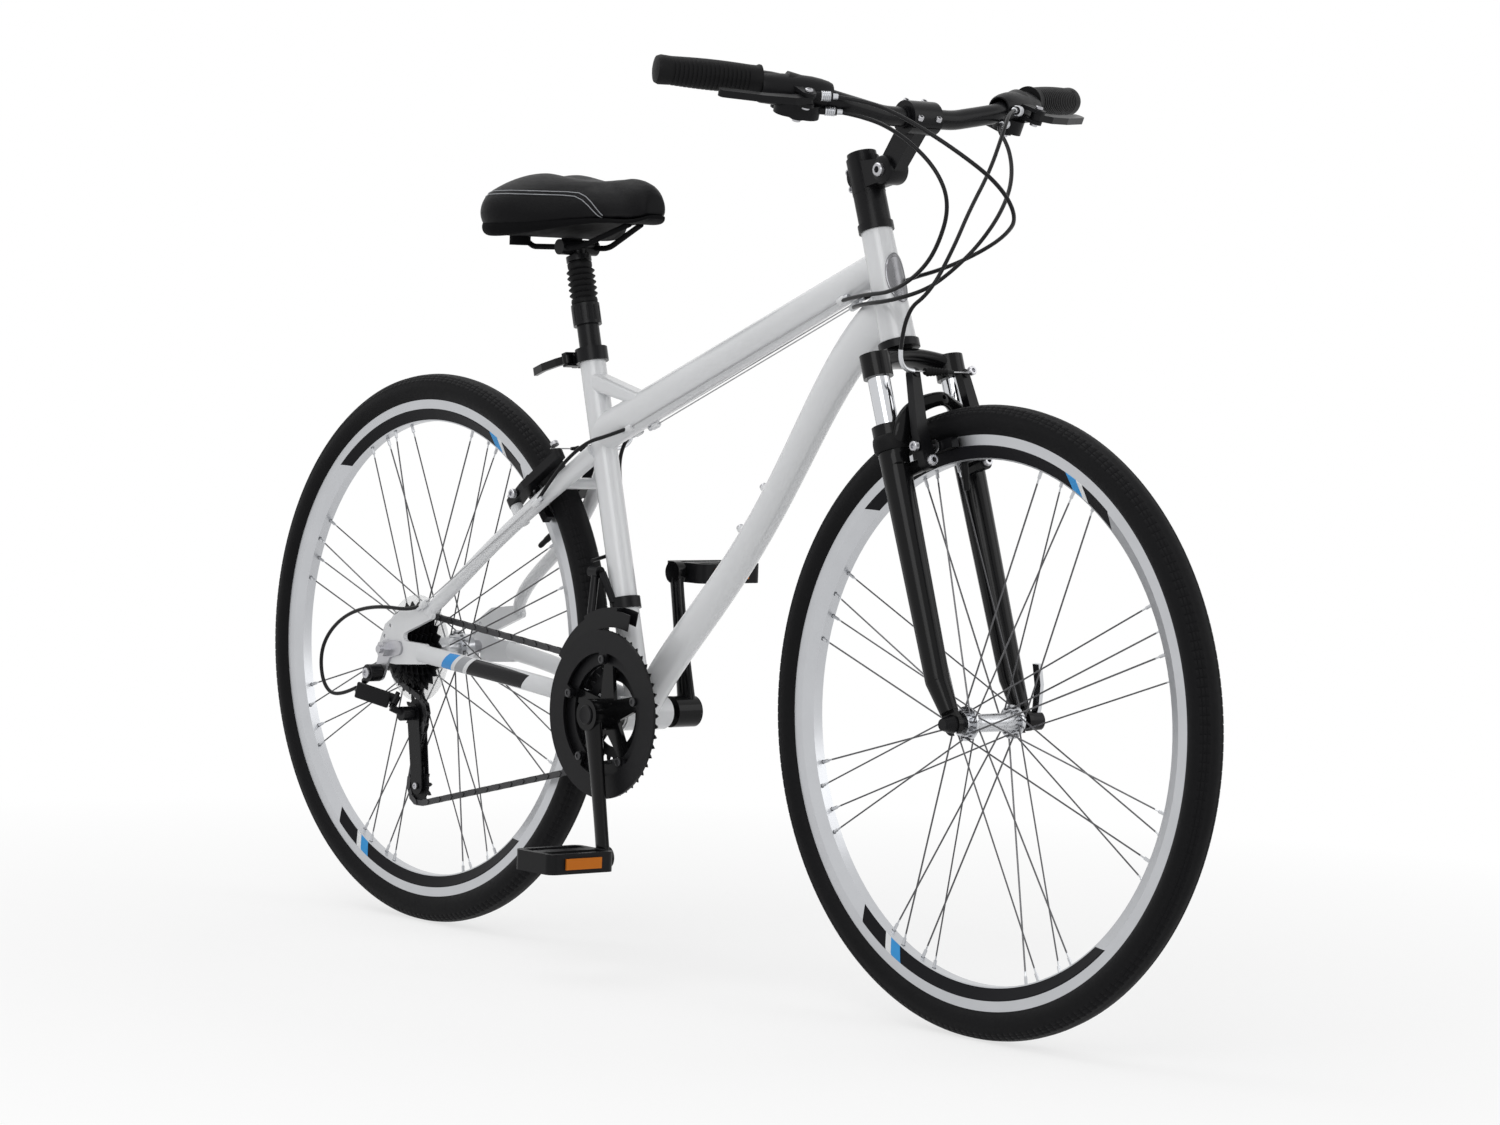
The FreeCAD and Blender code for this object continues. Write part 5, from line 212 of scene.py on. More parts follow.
class Groups:
    """The shader node groups that several materials share."""

    def __init__(self) -> None:
        """Builds every group once."""
        self.variation = self._variation()
        self.speckle = self._speckle()
        self.leather = self._leather()
        self.rings = self._rings()
        self.between = self._between()

    @staticmethod
    def _new(name: str, inputs: dict[str, str], outputs: dict[str, str]) -> tuple[Any, Any, Any]:
        """Starts a group.

        Args:
            name: The group's name.
            inputs: The kind of each input socket by name.
            outputs: The kind of each output socket by name.

        Returns:
            The node tree, the sockets that its inputs come from and those that its outputs go to.
        """
        tree = bpy.data.node_groups.new(name, "ShaderNodeTree")
        for way, sockets in (("INPUT", inputs), ("OUTPUT", outputs)):
            for label, kind in sockets.items():
                tree.interface.new_socket(label, in_out=way, socket_type="NodeSocket" + kind)
        return tree, tree.nodes.new("NodeGroupInput").outputs, tree.nodes.new("NodeGroupOutput").inputs

    @staticmethod
    def _noise(tree: Any, scale: Any, detail: float) -> Any:
        """Adds a noise that is laid through the bicycle's frame.

        Args:
            tree: The node tree.
            scale: The socket of its scale.
            detail: How many finer layers it has.

        Returns:
            The noise's socket.
        """
        place = tree.nodes.new("ShaderNodeTexCoord")
        noise = tree.nodes.new("ShaderNodeTexNoise")
        noise.inputs["Detail"].default_value = detail
        tree.links.new(place.outputs["Object"], noise.inputs["Vector"])
        tree.links.new(scale, noise.inputs["Scale"])
        return noise.outputs["Fac"]

    def _variation(self) -> Any:
        """Colour and roughness that wander a little, as on a handled surface.

        Returns:
            The node group.
        """
        tree, start, end = self._new(
            "surface_variation",
            {"Color": "Color", "Roughness": "Float", "Scale": "Float", "Amount": "Float"},
            {"Color": "Color", "Roughness": "Float"})
        finer = computed(tree, "Math", "MULTIPLY", start["Scale"], 7.0)
        for socket, scale, detail, gain in (("Color", start["Scale"], 5.0, 2.0),
                                            ("Roughness", finer.outputs[0], 8.0, 1.6)):
            centred = computed(tree, "Math", "SUBTRACT", self._noise(tree, scale, detail), 0.5)
            scaled = computed(tree, "Math", "MULTIPLY", centred.outputs[0], start["Amount"])
            factor = computed(tree, "Math", "MULTIPLY_ADD", scaled.outputs[0], gain, 1.0)
            if socket == "Color":
                product = computed(tree, "VectorMath", "SCALE", start[socket])
                tree.links.new(factor.outputs[0], product.inputs["Scale"])
            else:
                product = computed(tree, "Math", "MULTIPLY", start[socket], factor.outputs[0])
                product.use_clamp = True
            tree.links.new(product.outputs[0], end[socket])
        return tree

    def _speckle(self) -> Any:
        """The faint pitting of paint, castings and moulded plastic.

        Returns:
            The node group.
        """
        tree, start, end = self._new("speckle_relief", {"Scale": "Float"}, {"Height": "Float"})
        tree.links.new(self._noise(tree, start["Scale"], 3.0), end["Height"])
        return tree

    def _leather(self) -> Any:
        """Pebbled cells with fine creases between them.

        Returns:
            The node group.
        """
        tree, start, end = self._new("pebbled_relief", {"Scale": "Float"}, {"Height": "Float"})
        place = tree.nodes.new("ShaderNodeTexCoord")
        cells = tree.nodes.new("ShaderNodeTexVoronoi")
        cells.feature = "DISTANCE_TO_EDGE"
        rise = tree.nodes.new("ShaderNodeMapRange")
        rise.interpolation_type = "SMOOTHSTEP"
        rise.inputs["From Max"].default_value = 0.28
        tree.links.new(place.outputs["Object"], cells.inputs["Vector"])
        tree.links.new(start["Scale"], cells.inputs["Scale"])
        tree.links.new(cells.outputs["Distance"], rise.inputs["Value"])
        tree.links.new(rise.outputs["Result"], end["Height"])
        return tree

    def _rings(self) -> Any:
        """Turning marks that run round an axis along Y.

        Returns:
            The node group.
        """
        tree, start, end = self._new(
            "turned_relief", {"Scale": "Float", "Centre": "Vector"}, {"Height": "Float"})
        place = tree.nodes.new("ShaderNodeTexCoord")
        offset = computed(tree, "VectorMath", "SUBTRACT", place.outputs["Object"], start["Centre"])
        flat = computed(tree, "VectorMath", "MULTIPLY", offset.outputs[0], (1.0, 0.0, 1.0))
        radius = computed(tree, "VectorMath", "LENGTH", flat.outputs[0])
        noise = tree.nodes.new("ShaderNodeTexNoise")
        noise.noise_dimensions = "1D"
        noise.inputs["Detail"].default_value = 3.0
        tree.links.new(radius.outputs["Value"], noise.inputs["W"])
        tree.links.new(start["Scale"], noise.inputs["Scale"])
        tree.links.new(noise.outputs["Fac"], end["Height"])
        return tree

    def _between(self) -> Any:
        """One where a value lies between two limits, and nothing elsewhere.

        Returns:
            The node group.
        """
        tree, start, end = self._new(
            "between_limits", {"Value": "Float", "Low": "Float", "High": "Float"}, {"Mask": "Float"})
        above = computed(tree, "Math", "GREATER_THAN", start["Value"], start["Low"])
        below = computed(tree, "Math", "LESS_THAN", start["Value"], start["High"])
        both = computed(tree, "Math", "MULTIPLY", above.outputs[0], below.outputs[0])
        tree.links.new(both.outputs[0], end["Mask"])
        return tree


class Palette:
    """Makes each material once and hands it out again by name."""

    def __init__(self, groups: Groups) -> None:
        """Keeps the shared node groups.

        Args:
            groups: The shader node groups.
        """
        self.groups = groups
        self.made: dict[str, Any] = {}

    @staticmethod
    def _placed(tree: Any, group: Any, values: dict[str, Any]) -> Any:
        """Places a group node and sets its inputs.

        Args:
            tree: The material's node tree.
            group: The node group.
            values: The inputs' values by name.

        Returns:
            The group node.
        """
        node = tree.nodes.new("ShaderNodeGroup")
        node.node_tree = group
        for label, value in values.items():
            node.inputs[label].default_value = value
        return node

    def plain(self, finish: Finish, name: str | None = None) -> Any:
        """The material of a finish.

        Args:
            finish: The finish.
            name: A name of its own for a material that will be painted on.

        Returns:
            The material, made on first use.
        """
        label = name or finish.name
        if label in self.made:
            return self.made[label]
        material = bpy.data.materials.new(label)
        material.use_nodes = True
        tree = material.node_tree
        shader = tree.nodes["Principled BSDF"]
        shader.inputs["Metallic"].default_value = finish.metallic
        shader.inputs["Coat Weight"].default_value = finish.coat
        shader.inputs["Specular IOR Level"].default_value = finish.specular
        shader.inputs["Coat Roughness"].default_value = finish.coat_roughness
        wander = self._placed(tree, self.groups.variation, {
            "Color": (*finish.colour, 1.0), "Roughness": finish.roughness, "Scale": finish.variation_scale,
            "Amount": finish.variation})
        tree.links.new(wander.outputs["Color"], shader.inputs["Base Color"])
        tree.links.new(wander.outputs["Roughness"], shader.inputs["Roughness"])
        kinds = {Grain.SPECKLE: self.groups.speckle, Grain.LEATHER: self.groups.leather,
                 Grain.RINGS: self.groups.rings}
        relief = self._placed(tree, kinds[finish.grain], {"Scale": finish.grain_scale})
        if finish.grain is Grain.RINGS:
            relief.inputs["Centre"].default_value = finish.centre
        bump = tree.nodes.new("ShaderNodeBump")
        bump.inputs["Strength"].default_value = finish.grain_depth
        bump.inputs["Distance"].default_value = finish.grain_distance
        tree.links.new(relief.outputs["Height"], bump.inputs["Height"])
        tree.links.new(bump.outputs["Normal"], shader.inputs["Normal"])
        self.made[label] = material
        return material

    def painted_over(self, material: Any, mask: Any, colour: Colour) -> None:
        """Lays a colour over a material's own where a mask is one.

        Args:
            material: The material.
            mask: The output socket of the mask.
            colour: The colour laid over.
        """
        tree = material.node_tree
        shader = tree.nodes["Principled BSDF"]
        under = shader.inputs["Base Color"].links[0].from_socket
        mix = tree.nodes.new("ShaderNodeMix")
        mix.data_type = "RGBA"
        mix.inputs["B"].default_value = (*colour, 1.0)
        tree.links.new(mask, mix.inputs["Factor"])
        tree.links.new(under, mix.inputs["A"])
        tree.links.new(mix.outputs["Result"], shader.inputs["Base Color"])

    def faded_metal(self, material: Any, mask: Any) -> None:
        """Takes the metal away where a mask is one, as paint over metal does.

        Args:
            material: The material.
            mask: The output socket of the mask.
        """
        shader = material.node_tree.nodes["Principled BSDF"]
        metal = shader.inputs["Metallic"].default_value
        bare = self.math(material, "MULTIPLY_ADD", mask, -metal, metal)
        material.node_tree.links.new(bare, shader.inputs["Metallic"])

    @staticmethod
    def math(material: Any, operation: str, *values: Any) -> Any:
        """Adds one sum to a material.

        Args:
            material: The material.
            operation: The Math node's operation.
            values: Sockets or numbers, as many as the operation takes.

        Returns:
            The result's socket.
        """
        return computed(material.node_tree, "Math", operation, *values).outputs[0]

    def between(self, material: Any, value: Any, low: float, high: float) -> Any:
        """A mask that is one where a value lies between two limits.

        Args:
            material: The material.
            value: The value's socket.
            low: The lower limit.
            high: The upper limit.

        Returns:
            The mask's socket.
        """
        node = self._placed(material.node_tree, self.groups.between, {"Low": low, "High": high})
        material.node_tree.links.new(value, node.inputs["Value"])
        return node.outputs["Mask"]

    def coordinates(self, material: Any) -> Any:
        """A Separate XYZ node of the surface's place in the bicycle's frame.

        Args:
            material: The material.

        Returns:
            The node.
        """
        tree = material.node_tree
        place = tree.nodes.new("ShaderNodeTexCoord")
        parts = tree.nodes.new("ShaderNodeSeparateXYZ")
        tree.links.new(place.outputs["Object"], parts.inputs[0])
        return parts

    def from_axle(self, material: Any, axle: Vector) -> tuple[Any, Any, Any]:
        """The surface's place round an axle that runs along Y.

        Args:
            material: The material.
            axle: A point on the axle.

        Returns:
            The sockets of the distance forwards, the distance up and the square of the radius.
        """
        place = self.coordinates(material)
        across = self.math(material, "SUBTRACT", place.outputs["X"], axle.x)
        upward = self.math(material, "SUBTRACT", place.outputs["Z"], axle.z)
        squares = self.math(material, "MULTIPLY_ADD", across, across,
                            self.math(material, "MULTIPLY", upward, upward))
        return across, upward, squares


def put_on(thing: Any, material: Any) -> None:
    """Sets a thing's only material.

    Args:
        thing: The object.
        material: The material.
    """
    thing.data.materials.clear()
    thing.data.materials.append(material)


def shown(name: str, data: Any) -> Any:
    """Puts an object into the scene.

    Args:
        name: The object's name.
        data: Its mesh, curve, light or camera.

    Returns:
        The object.
    """
    thing = bpy.data.objects.new(name, data)
    bpy.context.scene.collection.objects.link(thing)
    return thing


class Bench:
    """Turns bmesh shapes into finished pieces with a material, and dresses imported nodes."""

    def __init__(self, palette: Palette, nodes: dict[str, Any]) -> None:
        """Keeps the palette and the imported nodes.

        Args:
            palette: The materials.
            nodes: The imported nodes' objects by name.
        """
        self.palette = palette
        self.nodes = nodes

    def dress(self, finish: Finish, *nodes: str) -> None:
        """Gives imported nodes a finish.

        Args:
            finish: The finish.
            nodes: The nodes' names.
        """
        for node in nodes:
            put_on(self.nodes[node], self.palette.plain(finish))

    def piece(self, name: str, shape: bmesh.types.BMesh, finish: Finish, slot: str,
              smooth_angle: float = 35.0) -> Any:
        """Makes an object of a finished shape.

        Args:
            name: The piece's name.
            shape: The shape, which is used up.
            finish: Its finish.
            slot: A material slot's name; it is not used.
            smooth_angle: Edges sharper than this stay sharp, in degrees.

        Returns:
            The object.
        """
        bmesh.ops.recalc_face_normals(shape, faces=shape.faces)
        limit = math.radians(smooth_angle)
        for edge in shape.edges:
            edge.smooth = len(edge.link_faces) == 2 and edge.calc_face_angle(0.0) < limit
        for face in shape.faces:
            face.smooth = True
        mesh = bpy.data.meshes.new(name)
        shape.to_mesh(mesh)
        shape.free()
        thing = shown(name, mesh)
        put_on(thing, self.palette.plain(finish))
        LOG.info("piece %s with %d faces", name, len(mesh.polygons))
        return thing


def facing(origin: Vector, axis: Vector, across: Vector | None = None) -> Matrix:
    """The place of a small part whose own Z runs along an axis.

    Args:
        origin: Where the part's origin goes.
        axis: Which way its Z points.
        across: Which way its X points, as nearly as it can.

    Returns:
        The matrix.
    """
    z = axis.normalized()
    hint = across or (SIDE if abs(z.dot(SIDE)) < 0.9 else FORWARDS)
    x = (hint - z * hint.dot(z)).normalized()
    y = z.cross(x)
    return Matrix.Translation(origin) @ Matrix((x, y, z)).transposed().to_4x4()


def spun(shape: bmesh.types.BMesh, profile: Sequence[tuple[float, float]], steps: int, place: Matrix,
         closed: bool = False) -> list:
    """Turns a profile about the Z axis of a place.

    Args:
        shape: The shape that it is added to.
        profile: Pairs of radius and height.
        steps: How many steps the full turn has.
        place: Where the turned form goes.
        closed: Whether the profile's ends are joined.

    Returns:
        The new faces.
    """
    before = set(shape.faces)
    verts = [shape.verts.new((radius, 0.0, height)) for radius, height in profile]
    pairs = list(zip(verts, verts[1:]))
    if closed:
        pairs.append((verts[-1], verts[0]))
    edges = [shape.edges.new(pair) for pair in pairs]
    bmesh.ops.spin(shape, geom=verts + edges, cent=(0, 0, 0), axis=(0, 0, 1), dvec=(0, 0, 0),
                   angle=2 * math.pi, steps=steps, use_merge=True, use_duplicate=False)
    faces = [face for face in shape.faces if face not in before]
    points = list({vert for face in faces for vert in face.verts})
    bmesh.ops.remove_doubles(shape, verts=points, dist=1e-6)
    faces = [face for face in shape.faces if face not in before]
    points = list({vert for face in faces for vert in face.verts})
    bmesh.ops.transform(shape, matrix=place, verts=points)
    return faces


def socket_bolt(shape: bmesh.types.BMesh, place: Matrix, head: Head) -> None:
    """Adds a round bolt head with a socket.

    Args:
        shape: The shape that it is added to.
        place: Where the head's underside goes, with Z out of the surface.
        head: The head's radius and height.
    """
    radius, height = head
    spun(shape, [(radius * across, height * up) for across, up in BOLT_HEAD], BOLT_STEPS, place)


def tube_mesh(name: str, points: Sequence[Point], radius: float, rings: int = 2) -> Any:
    """A round tube along one smooth curve.

    Args:
        name: The mesh's name.
        points: The curve's control points.
        radius: The tube's radius.
        rings: The bevel's resolution.

    Returns:
        The mesh, with closed ends.
    """
    curve = nurbs(name, points)
    curve.bevel_depth = radius
    curve.bevel_resolution = rings
    curve.use_fill_caps = True
    return as_mesh(name, curve)


def nurbs(name: str, points: Sequence[Point]) -> Any:
    """One open smooth spline that ends at its last points.

    Args:
        name: The curve's name.
        points: Its control points.

    Returns:
        The curve.
    """
    curve = bpy.data.curves.new(name, "CURVE")
    curve.dimensions = "3D"
    spline = curve.splines.new("NURBS")
    spline.points.add(len(points) - 1)
    for spot, point in zip(spline.points, points):
        spot.co = (*point, 1.0)
    spline.order_u = CURVE_ORDER
    spline.use_endpoint_u = True
    spline.resolution_u = CURVE_STEPS
    return curve


def as_mesh(name: str, curve: Any) -> Any:
    """The mesh that a curve gives.

    Args:
        name: The mesh's name.
        curve: The curve, which is used up.

    Returns:
        The mesh.
    """
    holder = shown(name + "_path", curve)
    bpy.context.view_layer.update()
    mesh = bpy.data.meshes.new_from_object(holder.evaluated_get(bpy.context.evaluated_depsgraph_get()))
    bpy.data.objects.remove(holder)
    bpy.data.curves.remove(curve)
    mesh.name = name
    return mesh


@dataclass
class Studio:
    """The floor, the lights and the camera. Each lamp has a name, a place, a power and a size."""

    camera_place: Point = (4.13385, -3.35992, 0.78609)
    camera_turn: Point = (86.857, -2.016, 50.3166)
    lens: float = 108.134
    sensor: float = 36.0
    surround: float = 0.36
    lamps: tuple[tuple[str, Point, float, float], ...] = (
        ("key", (2.6, -3.2, 3.0), 56.0, 2.6), ("fill", (3.2, 2.6, 2.2), 24.0, 2.6),
        ("top", (-1.2, -0.6, 3.6), 50.0, 3.0))
    lamp_aim: Point = (0.0, 0.0, 0.5)
    floor_radius: float = 9.0
    floor_shade: float = 0.93
    floor_roughness: float = 0.85
    shadow_reach: float = 0.6
    white_reach: float = 1.9
    shadow_white: float = 0.70

    def build(self) -> None:
        """Sets the whole stage."""
        self._world()
        self._floor()
        self._lamps()
        self._camera()
        bpy.context.scene.view_settings.view_transform = "Standard"

    @staticmethod
    def _seen_white(tree: Any) -> Any:
        """One for camera, glossy and transmission rays.

        Args:
            tree: The node tree that it is added to.

        Returns:
            The socket.
        """
        rays = tree.nodes.new("ShaderNodeLightPath").outputs
        either = computed(tree, "Math", "MAXIMUM", rays["Is Camera Ray"], rays["Is Glossy Ray"])
        return computed(tree, "Math", "MAXIMUM", either.outputs[0], rays["Is Transmission Ray"]).outputs[0]

    def _world(self) -> None:
        """A white surround that lights the object softly."""
        world = bpy.data.worlds.new("studio")
        bpy.context.scene.world = world
        world.use_nodes = True
        tree = world.node_tree
        ground = tree.nodes["Background"]
        ground.inputs["Color"].default_value = (1.0, 1.0, 1.0, 1.0)
        ground.inputs["Strength"].default_value = self.surround
        white = tree.nodes.new("ShaderNodeBackground")
        white.inputs["Color"].default_value = (1.0, 1.0, 1.0, 1.0)
        mix = tree.nodes.new("ShaderNodeMixShader")
        tree.links.new(self._seen_white(tree), mix.inputs[0])
        tree.links.new(ground.outputs[0], mix.inputs[1])
        tree.links.new(white.outputs[0], mix.inputs[2])
        tree.links.new(mix.outputs[0], tree.nodes["World Output"].inputs["Surface"])

    def _floor(self) -> None:
        """A pale floor that keeps a soft shadow and fades into the surround."""
        shape = bmesh.new()
        bmesh.ops.create_circle(shape, cap_ends=True, segments=64, radius=self.floor_radius)
        mesh = bpy.data.meshes.new("floor")
        shape.to_mesh(mesh)
        shape.free()
        floor = shown("floor", mesh)
        material = bpy.data.materials.new("pale_floor")
        material.use_nodes = True
        tree = material.node_tree
        shader = tree.nodes["Principled BSDF"]
        shader.inputs["Base Color"].default_value = (*[self.floor_shade] * 3, 1.0)
        shader.inputs["Roughness"].default_value = self.floor_roughness
        glow = tree.nodes.new("ShaderNodeEmission")
        place = tree.nodes.new("ShaderNodeTexCoord")
        reach = computed(tree, "VectorMath", "LENGTH", place.outputs["Object"])
        fade = tree.nodes.new("ShaderNodeMapRange")
        fade.inputs["From Min"].default_value = self.shadow_reach
        fade.inputs["From Max"].default_value = self.white_reach
        fade.inputs["To Min"].default_value = self.shadow_white
        fade.inputs["To Max"].default_value = 1.0
        tree.links.new(reach.outputs["Value"], fade.inputs["Value"])
        seen = computed(tree, "Math", "MULTIPLY", fade.outputs["Result"], self._seen_white(tree))
        mix = tree.nodes.new("ShaderNodeMixShader")
        tree.links.new(seen.outputs[0], mix.inputs[0])
        tree.links.new(shader.outputs[0], mix.inputs[1])
        tree.links.new(glow.outputs[0], mix.inputs[2])
        tree.links.new(mix.outputs[0], tree.nodes["Material Output"].inputs["Surface"])
        put_on(floor, material)

    def _lamps(self) -> None:
        """Three large soft lamps."""
        for name, spot, power, size in self.lamps:
            light = bpy.data.lights.new(name, "AREA")
            light.energy = power
            light.size = size
            lamp = shown(name, light)
            lamp.location = spot
            away = Vector(spot) - Vector(self.lamp_aim)
            lamp.rotation_euler = away.to_track_quat("Z", "Y").to_euler()

    def _camera(self) -> None:
        """A camera where the photograph was taken from."""
        lens = bpy.data.cameras.new("camera")
        lens.lens = self.lens
        lens.sensor_width = self.sensor
        camera = shown("camera", lens)
        camera.location = self.camera_place
        camera.rotation_euler = [math.radians(turn) for turn in self.camera_turn]
        bpy.context.scene.camera = camera


@dataclass
class Wheel:
    """One wheel: its tread, rim panels, nipples and valve.

    Angles are in degrees, and the half turn of the tyre's section is in radians. The lean of the rim's
    panels is in degrees for each metre outwards.
    """

    bench: Bench
    label: str
    body: str
    axle: Vector
    tyre_radius: float = 0.349
    tyre_half_width: float = 0.019
    section_centre: float = 0.3305
    bead_radius: float = 0.3135
    bead_half_width: float = 0.0105
    section_half_turn: float = 2.45
    section_half_steps: int = 11
    tread_steps: int = 220
    shoulder_rise: float = 0.004
    shoulder_share: tuple[float, float] = (0.38, 0.93)
    block_gap: float = 0.0009
    block_rise: float = 0.0007
    panel_half_angle: float = 40.0
    panel_band: tuple[float, float] = (0.2905, 0.3045)
    panel_lean: float = 200.0
    stripe_angle: float = 25.5
    blue_width: float = 3.4
    white_width: float = 2.0
    valve_angle: float = 101.25
    valve: Profile = ((0.0, 0.0), (0.004, 0.0), (0.004, 0.018), (0.0035, 0.019), (0.0035, 0.03),
                      (0.003, 0.033), (0.0, 0.033))
    nipple_start: float = 0.2745

    def place(self) -> Matrix:
        """The wheel's own frame, whose Z is the axle."""
        return facing(self.axle, SIDE, FORWARDS)

    def build(self) -> None:
        """Makes the wheel's pieces and dresses its nodes."""
        self._tyre()
        self._valve()
        self._rim_finish()
        self._spoke_finish()

    def _section(self) -> list[tuple[float, float]]:
        """The tyre's section as pairs of radius and height along the axle.

        Returns:
            The section's points, from bead to bead.
        """
        half = self.section_half_steps
        points = [(self.bead_radius, -self.bead_half_width)]
        for index in range(-half, half + 1):
            turn = index / half * self.section_half_turn
            radius = self.section_centre + (self.tyre_radius - self.section_centre) * math.cos(turn)
            points.append((radius, self.tyre_half_width * math.sin(turn)))
        points.append((self.bead_radius, self.bead_half_width))
        return points

    def _tyre(self) -> None:
        """A tyre with a smooth middle and fine blocks down both shoulders."""
        shape = bmesh.new()
        faces = spun(shape, self._section(), self.tread_steps, Matrix.Identity(4), closed=True)
        low, high = self.shoulder_share
        shoulder = []
        for face in faces:
            middle = face.calc_center_median()
            radius = math.hypot(middle.x, middle.y)
            share = abs(middle.z) / self.tyre_half_width
            if radius > self.section_centre + self.shoulder_rise and low < share < high:
                shoulder.append(face)
        bmesh.ops.recalc_face_normals(shape, faces=shape.faces)
        bmesh.ops.inset_individual(shape, faces=shoulder, thickness=self.block_gap, depth=self.block_rise,
                                   use_even_offset=True)
        bmesh.ops.transform(shape, matrix=self.place(), verts=shape.verts)
        tyre = self.bench.piece(f"{self.label}_tyre_tread", shape, Finishes.TYRE, "tyre_rubber",
                                smooth_angle=40.0)
        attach(tyre, self.body)
        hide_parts(f"{self.label}_tyre")

    def _valve(self) -> None:
        """A valve with its cap, through the rim between two spokes."""
        shape = bmesh.new()
        turn = math.radians(self.valve_angle)
        outward = Vector((math.cos(turn), 0.0, math.sin(turn)))
        stem = facing(self.axle + outward * self.panel_band[0], -outward)
        spun(shape, self.valve, 14, stem)
        valve = self.bench.piece(f"{self.label}_valve", shape, Finishes.RUBBER, "tyre_rubber")
        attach(valve, self.body)

    def _spoke_finish(self) -> None:
        """Dark spokes with bright nipples."""
        palette = self.bench.palette
        material = palette.plain(Finishes.SPOKE, f"{self.label}_spoke_wire")
        _, _, squares = palette.from_axle(material, self.axle)
        nipple = palette.math(material, "GREATER_THAN", squares, self.nipple_start ** 2)
        palette.painted_over(material, nipple, Paints.NIPPLE)
        put_on(self.bench.nodes[f"{self.label}_spokes"], material)

    def _rim_finish(self) -> None:
        """Bare metal rims with two black panels a side, each crossed by a blue and a white stripe."""
        palette = self.bench.palette
        finish = Finish(f"{self.label}_rim_metal", (0.52, 0.53, 0.55), 0.32, metallic=1.0, specular=0.08,
                        variation=0.06, variation_scale=30.0, grain=Grain.RINGS, grain_scale=1600.0,
                        grain_depth=0.015, centre=tuple(self.axle))
        material = palette.plain(finish)
        across, upward, squares = palette.from_axle(material, self.axle)
        sign = palette.math(material, "SIGN", upward)
        turned = palette.math(material, "ARCTAN2", palette.math(material, "MULTIPLY", across, sign),
                              palette.math(material, "MULTIPLY", upward, sign))
        radius = palette.math(material, "SQRT", squares)
        degrees = palette.math(material, "MULTIPLY", turned, 180.0 / math.pi)
        lean = palette.math(material, "MULTIPLY_ADD", radius, self.panel_lean,
                            -self.panel_lean * self.panel_band[0])
        slanted = palette.math(material, "ADD", degrees, lean)
        band = palette.between(material, radius, *self.panel_band)
        blue_end = self.stripe_angle + self.blue_width
        layers = ((-self.panel_half_angle, self.panel_half_angle, Paints.RIM_PANEL),
                  (self.stripe_angle, blue_end, Paints.RIM_BLUE),
                  (blue_end, blue_end + self.white_width, Paints.RIM_WHITE))
        masks = []
        for low, high, colour in layers:
            mask = palette.math(material, "MULTIPLY", band, palette.between(material, slanted, low, high))
            palette.painted_over(material, mask, colour)
            masks.append(mask)
        palette.faded_metal(material, masks[0])
        put_on(self.bench.nodes[f"{self.label}_rim"], material)


class Lead(Enum):
    """The parts of a cable that show: its sheath, the bare wire and a bent guide pipe."""

    SHEATH = "sheath"
    WIRE = "wire"
    PIPE = "pipe"


@dataclass(frozen=True)
class CordRun:
    """One stretch of a cable: its control points and the body that it follows or the two bodies that it runs
    between.
    """

    name: str
    node: str
    lead: Lead
    points: tuple[Point, ...]
    bodies: tuple[str, ...]
    bend_start: Point = (0.275, 0.0, 0.835)
    bend_end: Point = (0.385, 0.0, 1.0)


